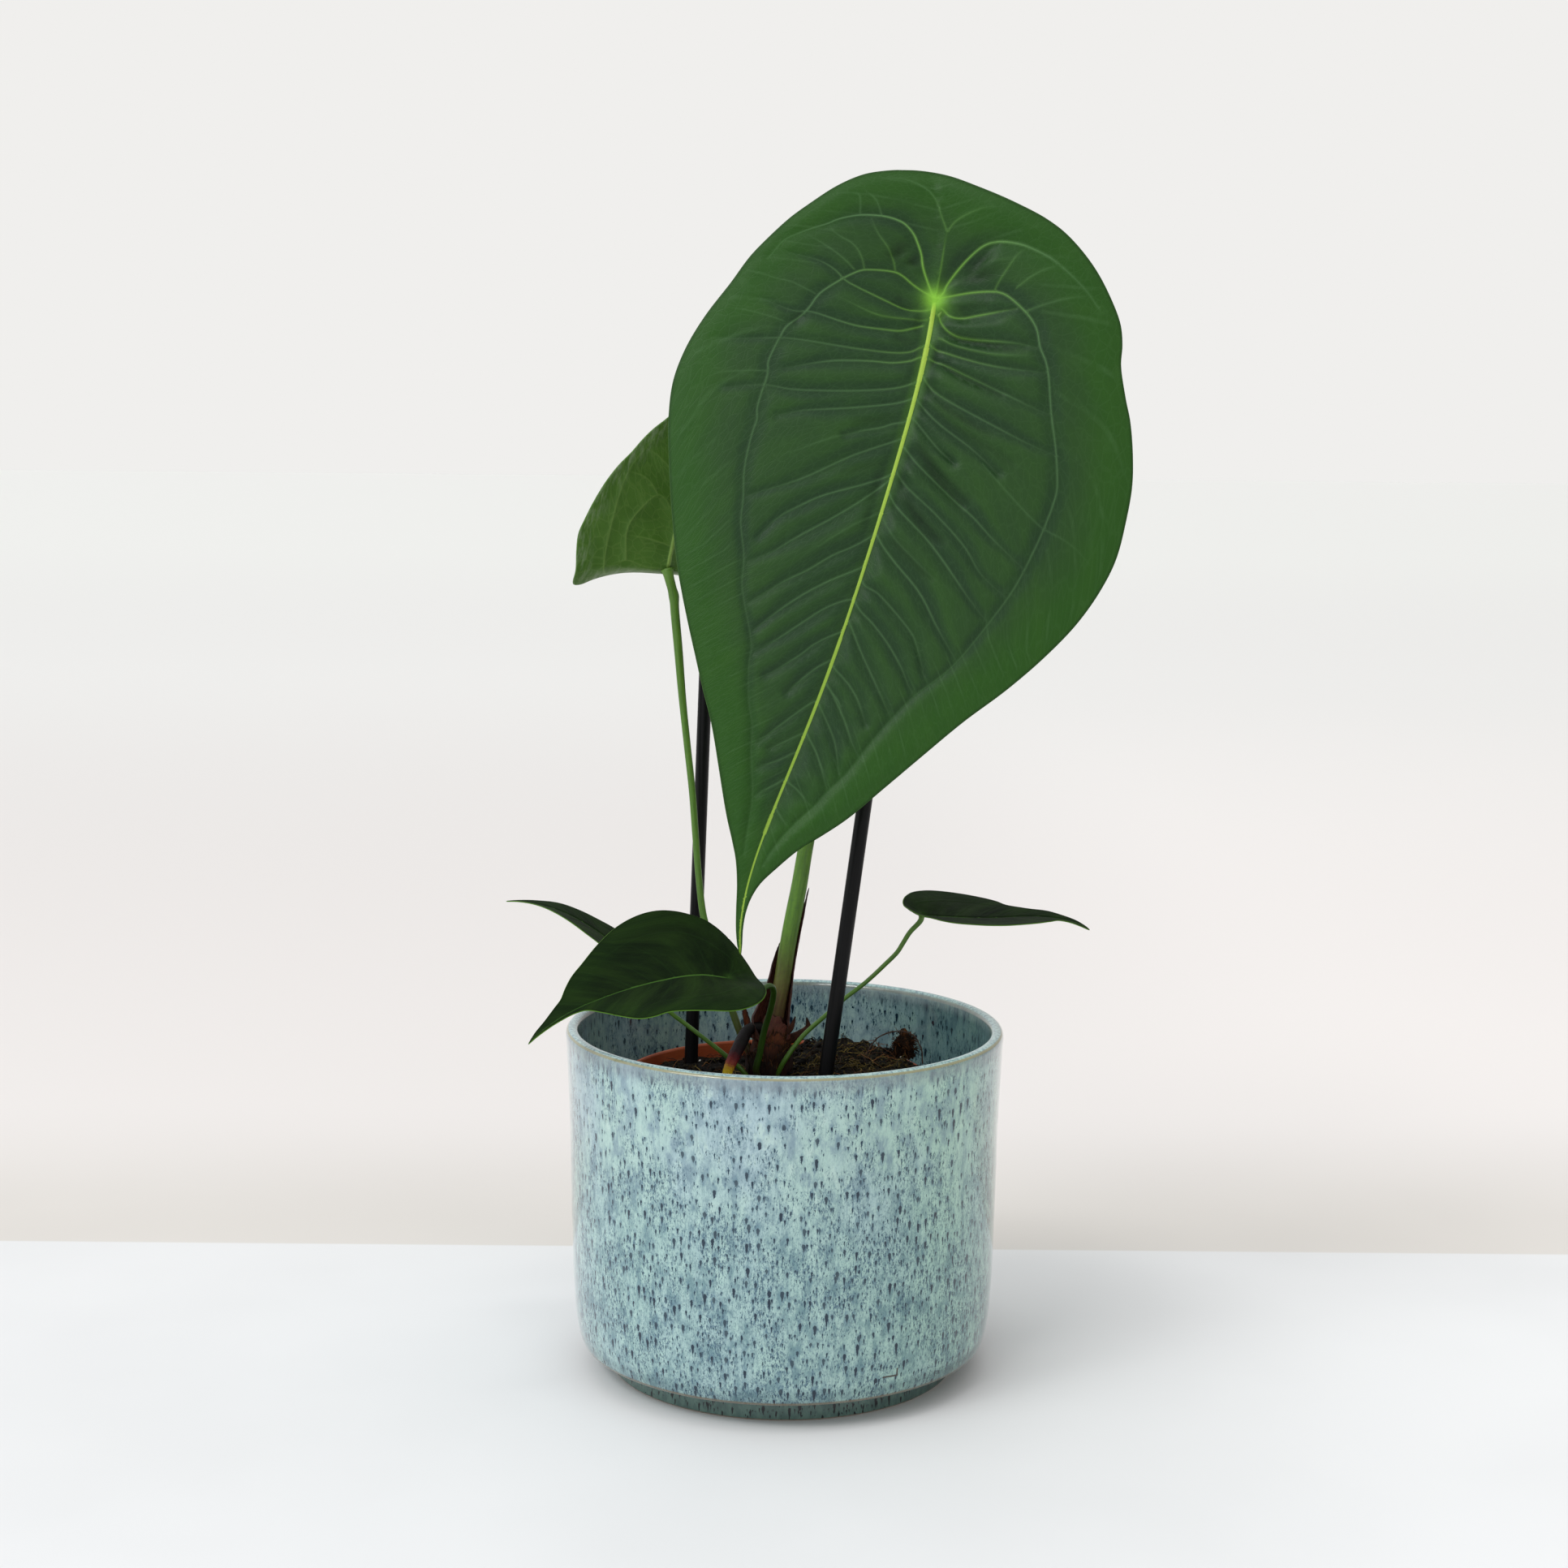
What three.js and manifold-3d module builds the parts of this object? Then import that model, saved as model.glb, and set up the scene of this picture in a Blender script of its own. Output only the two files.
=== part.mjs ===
// A potted Anthurium peltigerum: a climbing aroid with five shield-shaped leaves, each
// held on its own thin petiole, growing from a short crown in a plain terracotta-coloured
// nursery pot that stands loose inside a glazed cover pot.
// Millimetres, +Z up. The origin is the centre of the cover pot's flat foot.
import * as THREE from "three";
import { mergeVertices } from "three/addons/utils/BufferGeometryUtils.js";
import Module from "manifold-3d";

const wasm = await Module();
wasm.setup();

// ---------------------------------------------------------------- driving dimensions
const GAP = 0.3; // clearance between pieces that touch

const COVER_R = 85; // cover pot, outer radius at the rim
const COVER_H = 134; // cover pot, height over the rim
const FOOT_R = 68; // cover pot, radius of the recessed foot
const COVER_SIDES = 48;

const NURSERY_X = -3.5; // axis of the nursery pot, off the cover pot's axis
const NURSERY_R = 60; // outer radius of its rim: a 12 cm pot
const NURSERY_TOP = 113.3;
const NURSERY_BASE = 9.3; // it stands on the cover pot's floor at z = 9
const NURSERY_WALL = 1.2;
const DRAIN_HOLE_R = 5;
const DRAIN_HOLES = 6;

const BLADE_HALF = 0.5; // half the thickness of a leaf blade's solid
const RINGS = [0.16, 0.42, 0.72, 1]; // where a blade's rings lie between petiole and margin

// Outer and inner profile of the cover pot, radius and height, from the axis under the
// foot, round the belly and the rim, to the axis on the floor inside.
const COVER_PROFILE = [
  [0, 0], [FOOT_R - 0.8, 0], [FOOT_R, 0.8], [FOOT_R, 9.2], [FOOT_R + 0.6, 9.8], [77.8, 9.8],
  [78.9, 10.5], [79.78, 13], [80.71, 17.6], [81.48, 23.7], [82.3, 37], [82.8, 60],
  [83.3, 94], [84.1, 112], [84.7, 128], [COVER_R, 131.5], [84.6, 133.2], [83.4, COVER_H],
  [81.4, COVER_H], [80.2, 133.3], [79.8, 132.2], [79.6, 120], [78.8, 100], [78.4, 60],
  [77.9, 36], [76, 20], [70, 12], [64, 9], [0, 9],
];

// Nursery pot: tapered wall, a step out to the collar, a flat rim and a flat base.
const NURSERY_PROFILE = [
  [0, NURSERY_BASE], [43.2, NURSERY_BASE], [44, NURSERY_BASE + 0.8], [57.5, 103], [59.3, 104.2],
  [NURSERY_R - 0.2, 112.6], [NURSERY_R - 0.5, NURSERY_TOP],
  [NURSERY_R - 1.1, NURSERY_TOP], [NURSERY_R - 1.5, 112.6],
  [58.1, 104.9], [56.3, 103.6], [42.9, NURSERY_BASE + NURSERY_WALL],
  [0, NURSERY_BASE + NURSERY_WALL],
];

// Each leaf is a sheet laid out from the point where the petiole meets it. "at" is that
// point, s runs along the midrib (forward to the tip, in hundredths: at + run[0]*s +
// run[1]*s^2 ...), t across it. "up" with "twist" is the side the upper face looks to,
// "fold" lifts the two halves in degrees, "droop" bends their margins down, "dip" is the
// funnel over the petiole, "cup" turns the rear lobe up, and "edge" is the margin.
const LEAF_1 = {
  at: [53.81, -3.99, 412.09],
  run: [[-12.201, -16.12, -97.698], [-24.39, 0.435, 2.637], [16.536, 0.06, 0.366], [-2.99, -0.312, -1.893], [-2.05, 0.207, 1.255], [0.7, -0.042, -0.255]],
  up: [0, -0.985, 0.17],
  twist: [0, 0, 0],
  fold: [7, 7], droop: [0.16, 0.16], soft: 5,
  dip: [5, 26], cup: [0, 0, 30],
  edge: [
    [-51.1, 17], [-51.8, 26.6], [-49.1, 37.2], [-42.6, 47.6], [-34, 56.6], [-12.5, 69.5], [8.2, 77.2], [26.7, 84],
    [43, 88.1], [57.5, 89.2], [71.5, 87], [82.2, 83.9], [102.7, 76.7], [125.9, 67], [136.4, 61.6], [147.8, 55.1],
    [158.8, 48.3], [169.6, 41.3], [179.9, 33.9], [195.3, 24.2], [209.2, 15.5], [216.6, 10.5], [223, 6.8], [231.3, 3.9],
    [240, 2.4], [248.7, 1.5], [254.4, 0.8], [256.8, 0], [253, -0.8], [247.1, -1], [240.9, -1.4], [235.4, -2.3],
    [229.2, -4.3], [221.3, -8.6], [211.4, -14.3], [203.3, -20.3], [194.1, -26.5], [177.7, -35.3], [161.8, -44.2], [146.5, -53.5],
    [130.7, -64.9], [115.8, -74.4], [101.3, -82], [87.6, -86.8], [74.8, -89.2], [60.1, -88.7], [48.9, -87.4], [39.8, -84.9],
    [28.8, -80.6], [21.9, -76.8], [12.7, -72.7], [6.8, -71.9], [1.2, -70.1], [-5.2, -65.7], [-13.7, -58.3], [-22.4, -48],
    [-27, -40.5], [-32.4, -29.4], [-38.8, -16.2], [-44.8, -4.4], [-48.5, 5.7],
  ],
};
const LEAF_2 = {
  at: [-48.95, 48, 308.04],
  run: [[20.801, -30.513, 92.173], [10.704, 7.55, 1.94], [-4.786, -8.949, -3.311]],
  up: [-0.328, 0.872, 0.363],
  twist: [0, 0, 0],
  fold: [5, 5], droop: [0.15, 0.15], soft: 3,
  dip: [1.5, 12], cup: [3.4, 0, 25],
  edge: [
    [-7, 0], [-7.2, 9], [-8.2, 18], [-9.6, 26], [-11.5, 32.5], [-10.5, 36], [-4, 36.8], [3.5, 38.2],
    [10.5, 38.9], [16.5, 37.6], [23.3, 35.8], [31.3, 33.1], [38.9, 29.6], [45, 25.8], [51, 22.7], [55.7, 19.8],
    [61.8, 15.1], [70, 10.6], [80, 6.2], [90, 3], [98, 1.4], [105, 0], [98, -1.4], [90, -2.9],
    [80, -6], [70, -10.3], [61.8, -14.6], [55.7, -19.2], [51, -22], [45, -25], [38.9, -28.7], [31.3, -32.1],
    [23.3, -34.7], [16.5, -36.5], [10.5, -37.7], [3.5, -37.6], [-4, -36.8], [-8.6, -34.5], [-9.9, -30.6], [-9.6, -25.2],
    [-8.2, -17.5], [-7.2, -8.7],
  ],
};
const LEAF_3 = {
  at: [-20.78, -35, 161.38],
  run: [[-89.179, -36.412, 12.035], [-39.777, 67.014, -97.104], [69.688, -140.546, 131.16], [-27.247, 96.608, -90.839]],
  up: [0.051, -0.304, 0.951],
  twist: [-0.1, 0, 0],
  fold: [7, 15], droop: [0.25, 0.1], soft: 4,
  dip: [2, 10], cup: [0, 0, 30],
  edge: [
    [81.5, 0], [77.7, 2.2], [72.1, 3.9], [65.8, 6.9], [62.7, 8.7], [59.3, 12.5], [55.2, 16.7], [49.6, 21.2],
    [41.7, 28.6], [34.7, 34.5], [29.2, 37.6], [24, 39.2], [18.6, 39.2], [13.3, 37.5], [7.5, 34.4], [1.3, 30.5],
    [-4.2, 24.9], [-9.5, 17.7], [-11, 13.3], [-12.6, 8], [-13, 1], [-11.8, -6], [-6.6, -15.3], [-1.4, -23.6],
    [3.9, -28.3], [8.4, -29.8], [15.1, -28.6], [22.6, -26.2], [29.2, -24.5], [35.2, -24.9], [40.7, -23.4], [46.5, -18],
    [51.7, -10.9], [57, -3.9], [61.5, -2.3], [66.9, -1.8], [72.6, -1.3], [77.7, -0.7],
  ],
};
const LEAF_4 = {
  at: [-60.65, 16, 154.24],
  run: [[-66.321, 21.994, 71.193], [-47.255, -17.04, -39.751], [17.69, 55.077, -13.728], [4.232, -60.376, -28.184]],
  up: [0.506, -0.051, 0.861],
  twist: [0, 0, 0],
  fold: [6, 6], droop: [0.1, 0.1], soft: 2.5,
  dip: [1, 8], cup: [0, 0, 30],
  edge: [
    [58.2, 0], [52.2, 2.4], [45.7, 5.4], [41.5, 8.2], [37.5, 9.9], [31.1, 11.1], [23.2, 12.6], [15.8, 15.2],
    [8, 17.2], [0, 17.6], [-6, 15], [-10, 9.5], [-12, 2], [-11.4, -5], [-8, -11.5], [-2, -15.3],
    [5, -16.8], [12.7, -17], [19, -17.3], [26.5, -14.7], [34.9, -10.4], [42.3, -6.1], [50.9, -2.5],
  ],
};
const LEAF_5 = {
  at: [53.77, 14, 176.27],
  run: [[95.477, -8.007, -24.507], [35.875, -77.981, 89.804], [-176.115, 264.53, -75.772], [363.311, -346.821, 15.964], [-261.409, 152.797, -73.357]],
  up: [0, -0.06, 0.998],
  twist: [0, 0, 0],
  fold: [7, 7], droop: [0.1, 0.12], soft: 2.5,
  dip: [1.2, 8], cup: [0, 0, 30],
  edge: [
    [66.3, 0], [61.7, -2.2], [54.9, -4.2], [48.4, -7.2], [42.5, -8.9], [37, -11.7], [32.3, -14.8], [27.9, -20],
    [21.3, -25], [13.7, -28.4], [6.6, -29], [1, -26.9], [-3.5, -21.5], [-6.2, -14], [-7.8, -6.5], [-8.2, -2],
    [-8, 3], [-5.5, 8], [-1, 9.5], [2.7, 9.5], [8.4, 12.8], [14, 15.2], [20.9, 17.2], [27.8, 19.8],
    [34.5, 21.2], [40.7, 20], [45.9, 17], [50.5, 11.2], [53.7, 5.5], [58.2, 3.9], [62.3, 3],
  ],
};

// Paths of the petioles, from inside the crown up to the blade, with their radii.
const PETIOLES = [
  {
    leaf: LEAF_1, sides: 10, steps: 22, radius: [3.2, 3.15, 2.7, 2.4, 2.45, 2.6, 2.8],
    path: [[-4.6, 5, 128], [-3.8, 5, 134.7], [-1.4, 5, 148.7], [1.6, 5, 168.3], [5.2, 5, 187.9],
      [7.6, 5, 203.2], [13.3, 5.5, 232.3], [21.5, 7, 269.9], [30.5, 8, 305.7], [39.4, 8.5, 341.3],
      [46.6, 7.5, 372], [51.6, 5, 396.2], [54.1, 1.8, 408.8]],
  },
  {
    leaf: LEAF_2, sides: 8, steps: 26, radius: [1.55, 1.4, 1.35, 1.3, 1.35, 1.4, 1.75, 1.8],
    path: [[-9, 5.5, 112], [-13.2, 6, 119.8], [-17, 8, 127.3], [-20.7, 10, 136.8], [-24.7, 14, 148.8],
      [-28.7, 18, 161], [-32.4, 22, 171.6], [-34.6, 26, 187.2], [-36, 29, 203], [-37.5, 32, 220.4],
      [-39.6, 35, 237.9], [-41.8, 38, 257], [-43.6, 41, 276.2], [-45.1, 44, 290.5], [-45.7, 45, 297],
      [-47.6, 45.6, 304.5]],
  },
  {
    leaf: LEAF_3, sides: 8, steps: 24, radius: [1.3, 1.25, 1.15, 1.1, 1.1, 1.15],
    path: [[-9.5, -1, 111], [-11, -4, 116.6], [-9.7, -4.5, 122.7], [-8, -6, 132.1], [-5.8, -9, 140.5],
      [-4.4, -14, 148.6], [-4.8, -18, 152.2], [-6.3, -21, 153.4], [-8.8, -25, 153.2], [-12.9, -30, 154.2],
      [-17.2, -34, 156.9], [-19.8, -35.6, 159.2]],
  },
  {
    leaf: LEAF_4, sides: 8, steps: 18, radius: [1, 0.9, 0.85, 0.85, 0.9, 1],
    path: [[-13, -1.5, 111], [-16.6, -2, 115.9], [-19.4, -1, 118.2], [-21.8, 0, 120.1], [-27.5, 3, 124],
      [-33.3, 6, 127.7], [-38.8, 9, 131.2], [-44.5, 11, 135], [-50.9, 13, 140.6], [-56.1, 15, 146.7],
      [-59.7, 16, 152.3]],
  },
  {
    leaf: LEAF_5, sides: 8, steps: 20, radius: [1, 0.9, 0.85, 0.85, 0.9, 1],
    path: [[-3.5, -1.5, 112.5], [-0.2, -4, 119.8], [3.6, -2, 125.1], [7.8, 1, 129.6], [16.5, 5, 136.7],
      [23.2, 9, 141.9], [31.8, 12, 148.1], [39.1, 13, 154.9], [44, 13.5, 159.9], [46.1, 14, 163.2],
      [48.8, 14, 167.7], [53.1, 14, 172.7]],
  },
];

// Crown: the short stem that carries all the petioles, half buried in the mix.
const CROWN = {
  path: [[-6.3, 6.2, 98], [-6.1, 6, 112], [-5.7, 5.7, 122], [-4.7, 5.2, 130], [-4, 5, 135]],
  radius: [6, 8.6, 9, 8.3, 6.8, 5.6, 4.3],
};

// Two round supports pushed into the mix, from their buried foot to their free top.
const STAKE_LEFT = { foot: [-39.4, 24.5, 50], top: [-31.9, 46, 294], radius: 2.7 };
const STAKE_RIGHT = { foot: [3.65, -22.2, 25], top: [52.25, 18, 388], radius: 2.9 };

// Aerial root that leaves the crown's left side and turns down to the mix.
const ROOT = {
  path: [[-8, 4, 131.8], [-13.9, 2, 131.1], [-16.8, -2, 126.9], [-19.4, -7, 122.6], [-21.8, -10, 117.4], [-23, -11.2, 112.5]],
  radius: [2.1, 2.1, 1.9, 1.6, 1.4, 0.5],
};

// Dried scales on the right of the crown, tapering to a point.
const SCALE_HOOKED = {
  path: [[0.5, 6, 125.6], [5, 6, 127.6], [9.1, 6, 131], [8.6, 6, 134.9]],
  radius: [1.5, 1.7, 1.2, 0.25],
};
const SCALE_SMALL = {
  path: [[-0.6, 2.6, 128.6], [2.4, 2.1, 131.6], [4.1, 2, 136.2]],
  radius: [1.2, 0.95, 0.2],
};

// A stiff root fibre that arches out of the mix and back in.
const FIBRE = {
  path: [[31.6, 11, 115], [33.3, 12, 121], [36.6, 14, 125.2], [41.5, 15.4, 127], [46.7, 15.6, 127.6],
    [51.3, 14.4, 125.8], [54, 13, 121.4], [54.6, 12, 115.5]],
  radius: [0.5, 0.45],
};

// A loose chunk of coir lying in the mix: centre and half sizes.
const CHUNK = { at: [47.8, 21.5, 120.2], half: [5, 3.8, 6.2] };

// ---------------------------------------------------------------- helpers
const vec = (a) => new THREE.Vector3(...a);

const smooth = (x) => {
  const c = Math.min(1, Math.max(0, x));
  return c * c * (3 - 2 * c);
};

// A value read along a list of evenly spaced ones.
function along(list, f) {
  const x = Math.min(0.999999, Math.max(0, f)) * (list.length - 1);
  const i = Math.floor(x);
  return list[i] + (list[i + 1] - list[i]) * (x - i);
}

// Moves every vertex by a function of its place.
function warp(geometry, move) {
  const position = geometry.getAttribute("position");
  const v = new THREE.Vector3();
  for (let i = 0; i < position.count; i++) {
    const p = move(v.fromBufferAttribute(position, i).clone());
    position.setXYZ(i, p.x, p.y, p.z);
  }
  return geometry;
}

// Leaves only shared positions, drops collapsed faces and turns the faces outwards.
function closed(geometry) {
  geometry.deleteAttribute("normal");
  geometry.deleteAttribute("uv");
  const merged = mergeVertices(geometry, 1e-4);
  const index = merged.index.array;
  const p = merged.getAttribute("position");
  const [a, b, c] = [new THREE.Vector3(), new THREE.Vector3(), new THREE.Vector3()];
  const kept = [];
  let volume = 0;
  for (let i = 0; i < index.length; i += 3) {
    const [x, y, z] = [index[i], index[i + 1], index[i + 2]];
    if (x === y || y === z || x === z) continue;
    kept.push(x, y, z);
    volume += a.fromBufferAttribute(p, x).dot(b.fromBufferAttribute(p, y).cross(c.fromBufferAttribute(p, z)));
  }
  if (volume < 0) for (let i = 0; i < kept.length; i += 3) [kept[i], kept[i + 1]] = [kept[i + 1], kept[i]];
  merged.setIndex(kept);
  return merged;
}

function solid(geometry) {
  return new wasm.Manifold(
    new wasm.Mesh({
      numProp: 3,
      vertProperties: new Float32Array(geometry.getAttribute("position").array),
      triVerts: new Uint32Array(geometry.index.array),
    }),
  );
}

function geometryOf(body) {
  const m = body.getMesh();
  const positions = new Float32Array(m.numVert * 3);
  for (let i = 0; i < m.numVert; i++)
    positions.set(m.vertProperties.subarray(i * m.numProp, i * m.numProp + 3), i * 3);
  return new THREE.BufferGeometry()
    .setAttribute("position", new THREE.BufferAttribute(positions, 3))
    .setIndex(new THREE.BufferAttribute(new Uint32Array(m.triVerts), 1));
}

const largest = (body) => body.decompose().sort((a, b) => b.volume() - a.volume())[0];

function turned(profile, sides, x = 0) {
  const g = new THREE.LatheGeometry(profile.map(([r, z]) => new THREE.Vector2(r, z)), sides);
  return closed(g.rotateX(Math.PI / 2).translate(x, 0, 0));
}

// A round rod along a smooth path. "grow" widens and lengthens it all round.
function rod({ path, radius }, sides, steps, grow = 0) {
  const points = path.map(vec);
  const n = points.length;
  if (grow) {
    points[0].addScaledVector(points[0].clone().sub(points[1]).normalize(), grow);
    points[n - 1].addScaledVector(points[n - 1].clone().sub(points[n - 2]).normalize(), grow);
  }
  const curve = n > 2 ? new THREE.CatmullRomCurve3(points, false, "centripetal") : new THREE.LineCurve3(...points);
  const frames = curve.computeFrenetFrames(steps, false);
  return closed(
    warp(new THREE.CylinderGeometry(1, 1, 1, sides, steps), (v) => {
      const i = Math.round((v.y + 0.5) * steps);
      const r = Math.hypot(v.x, v.z) * (along(radius, i / steps) + grow);
      const turn = Math.atan2(v.z, v.x);
      return curve
        .getPointAt(i / steps)
        .addScaledVector(frames.normals[i], r * Math.cos(turn))
        .addScaledVector(frames.binormals[i], r * Math.sin(turn));
    }),
  );
}

// A point on a leaf's middle surface.
function bladePoint(leaf, s, t) {
  const u = s / 100;
  const p = vec(leaf.at);
  const along1 = new THREE.Vector3();
  leaf.run.forEach((c, k) => {
    p.addScaledVector(vec(c), u ** (k + 1));
    along1.addScaledVector(vec(c), (k + 1) * u ** k);
  });
  along1.normalize();
  const up = vec(leaf.up).addScaledVector(vec(leaf.twist), u);
  up.addScaledVector(along1, -up.dot(along1)).normalize();
  const across = new THREE.Vector3().crossVectors(along1, up);
  const side = t >= 0 ? 1 : 0;
  const a = Math.sqrt(t * t + leaf.soft ** 2) - leaf.soft;
  const fold = THREE.MathUtils.degToRad(leaf.fold[side]);
  let lift = a * Math.sin(fold) - (leaf.droop[side] * t * t) / 100;
  lift -= leaf.dip[0] * Math.exp(-(s * s + t * t) / leaf.dip[1] ** 2);
  if (s < 0) lift += leaf.cup[0] * (Math.sqrt(s * s + 25) - 5) * Math.exp(-(((t - leaf.cup[1]) / leaf.cup[2]) ** 2));
  const wide = t - Math.sign(t) * a * (1 - Math.cos(fold));
  return p.addScaledVector(across, wide).addScaledVector(up, lift);
}

// The direction the upper face looks to, there.
function bladeNormal(leaf, s, t) {
  const d = 0.25;
  const ds = bladePoint(leaf, s + d, t).sub(bladePoint(leaf, s - d, t));
  const dt = bladePoint(leaf, s, t + d).sub(bladePoint(leaf, s, t - d));
  return dt.cross(ds).normalize();
}

// A blade: a disc whose rings are stretched over the leaf's surface, top and bottom.
function blade(leaf, half) {
  const n = leaf.edge.length;
  const profile = [
    [0, 1], ...RINGS.map((r) => [r, 1]),
    ...[...RINGS].reverse().map((r) => [r, -1]), [0, -1],
  ].map(([r, y]) => new THREE.Vector2(r, y));
  return closed(
    warp(new THREE.LatheGeometry(profile, n), (v) => {
      const r = Math.hypot(v.x, v.z);
      const k = (Math.round((Math.atan2(v.x, v.z) / (2 * Math.PI)) * n) + n) % n;
      const [s, t] = [leaf.edge[k][0] * r, leaf.edge[k][1] * r];
      return bladePoint(leaf, s, t).addScaledVector(bladeNormal(leaf, s, t), Math.sign(v.y) * half);
    }),
  );
}

// A thin curved sheet from a function of (u, v), u across in -1..1 and v up in 0..1.
function sheet(point, half, across, up) {
  const d = 1e-3;
  return closed(
    warp(new THREE.BoxGeometry(2, 1, 2, across, up, 1), (w) => {
      const [u, v] = [w.x, w.y + 0.5];
      const du = point(u + d, v).sub(point(u - d, v));
      const dv = point(u, v + d).sub(point(u, v - d));
      return point(u, v).addScaledVector(du.cross(dv).normalize(), w.z * half);
    }),
  );
}

const plant = new THREE.Group();

function add(name, geometry, color, roughness) {
  const mesh = new THREE.Mesh(geometry, new THREE.MeshStandardMaterial({ color, roughness, metalness: 0 }));
  mesh.name = name;
  mesh.geometry.computeVertexNormals();
  plant.add(mesh);
  return mesh;
}

// ---------------------------------------------------------------- pots
add("cover_pot", turned(COVER_PROFILE, COVER_SIDES), 0x9dbcc0, 0.2);

let nursery = solid(turned(NURSERY_PROFILE, 40, NURSERY_X));
for (let i = 0; i < DRAIN_HOLES; i++) {
  const a = ((i + 0.5) / DRAIN_HOLES) * 2 * Math.PI;
  const hole = new THREE.CylinderGeometry(DRAIN_HOLE_R, DRAIN_HOLE_R, 6, 12)
    .rotateX(Math.PI / 2)
    .translate(NURSERY_X + 27 * Math.cos(a), 27 * Math.sin(a), NURSERY_BASE);
  nursery = nursery.subtract(solid(closed(hole)));
}
add("nursery_pot", geometryOf(nursery), 0xa5552c, 0.55);

// ---------------------------------------------------------------- plant
const crownRod = (grow) => solid(rod(CROWN, 14, 8, grow));
const stakes = [STAKE_LEFT, STAKE_RIGHT].map(({ foot, top, radius }) => ({ path: [foot, top], radius: [radius, radius] }));

const petioles = PETIOLES.map(({ leaf, sides, steps, radius, path }) => {
  // The path is carried on through the blade, and the blade's underside trims it.
  const end = bladePoint(leaf, 0, 0);
  const tip = end.clone().addScaledVector(bladeNormal(leaf, 0, 0), 1.2);
  const full = { path: [...path, end.toArray(), tip.toArray()], radius };
  return {
    body: largest(solid(rod(full, sides, steps)).subtract(solid(blade(leaf, BLADE_HALF + GAP)))),
    pocket: solid(rod(full, sides, steps, GAP)),
  };
});

const root = rod(ROOT, 8, 12);
const hooked = rod(SCALE_HOOKED, 6, 6);
const small = rod(SCALE_SMALL, 6, 4);
const fibre = rod(FIBRE, 6, 16);

const CHUNK_GEOMETRY = (grow) =>
  closed(
    warp(new THREE.IcosahedronGeometry(1, 1), (v) => {
      const lump = 1 + 0.13 * Math.sin(5 * v.x + 2 * v.z) - 0.1 * Math.cos(4 * v.y + 3 * v.z);
      return new THREE.Vector3(
        CHUNK.at[0] + v.x * (CHUNK.half[0] * lump + grow),
        CHUNK.at[1] + v.y * (CHUNK.half[1] * lump + grow),
        CHUNK.at[2] + v.z * (CHUNK.half[2] * lump + grow),
      );
    }),
  );

let crown = crownRod(0);
for (const { pocket } of petioles) crown = crown.subtract(pocket);
for (const part of [[ROOT, 8, 12], [SCALE_HOOKED, 6, 6], [SCALE_SMALL, 6, 4]])
  crown = crown.subtract(solid(rod(...part, GAP)));
add("crown", geometryOf(largest(crown)), 0x84502e, 0.9);

petioles.forEach(({ body }, i) => add(`petiole_${i + 1}`, geometryOf(body), 0x54802c, 0.45));
[LEAF_1, LEAF_2, LEAF_3, LEAF_4, LEAF_5].forEach((leaf, i) =>
  add(`leaf_blade_${i + 1}`, blade(leaf, BLADE_HALF), 0x2f6a2c, 0.5),
);

// Tall dried sheath that wraps behind the first petiole's base and ends in a point on
// its right. Angles are measured from straight behind, to the right positive.
const sheathAxis = new THREE.CatmullRomCurve3(PETIOLES[0].path.slice(0, 6).map(vec), false, "centripetal");
const sheathPoint = (u, v) => {
  const z = 135.6 + 50.4 * v;
  let [lo, hi] = [0, 1];
  for (let i = 0; i < 24; i++) {
    const mid = (lo + hi) / 2;
    if (sheathAxis.getPoint(mid).z < z) lo = mid;
    else hi = mid;
  }
  const axis = sheathAxis.getPoint(lo);
  const right = THREE.MathUtils.lerp(106, 92, v);
  const left = THREE.MathUtils.lerp(-104, 84, smooth((v - 0.3) / 0.8) ** 0.9);
  const angle = THREE.MathUtils.lerp(left, right, (u + 1) / 2);
  const low = (1 - v) ** 3;
  const radius = 3.75 + low * (1.6 + 3.6 * smooth(-angle / 90)) + 0.25 * Math.sin(6 * v + angle / 30);
  const a = THREE.MathUtils.degToRad(angle);
  return new THREE.Vector3(axis.x + radius * Math.sin(a), axis.y + radius * Math.cos(a), z);
};
add("cataphyll_tall", sheet(sheathPoint, 0.3, 10, 12), 0x6a4436, 0.8);

// Short ragged sheath on the left of the crown.
const oldPoint = (u, v) =>
  new THREE.Vector3(-13.9 - 1.5 * u - 1.9 * v + 0.3 * u * u, 5.7 + 0.6 * u, 127 + (12.2 - 2.2 * Math.abs(u)) * v);
add("old_sheath", sheet(oldPoint, 0.3, 3, 4), 0x9a5a30, 0.85);

add("scale_hooked", hooked, 0x7a4630, 0.8);
add("scale_small", small, 0x6e3c2c, 0.8);
add("aerial_root", root, 0x5a3038, 0.6);

// ---------------------------------------------------------------- supports
const [stakeLeft, stakeRight] = stakes.map((s) => rod(s, 12, 1));
add("stake_left", stakeLeft, 0x1a1a1b, 0.4);
add("stake_right", stakeRight, 0x1a1a1b, 0.4);

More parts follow.
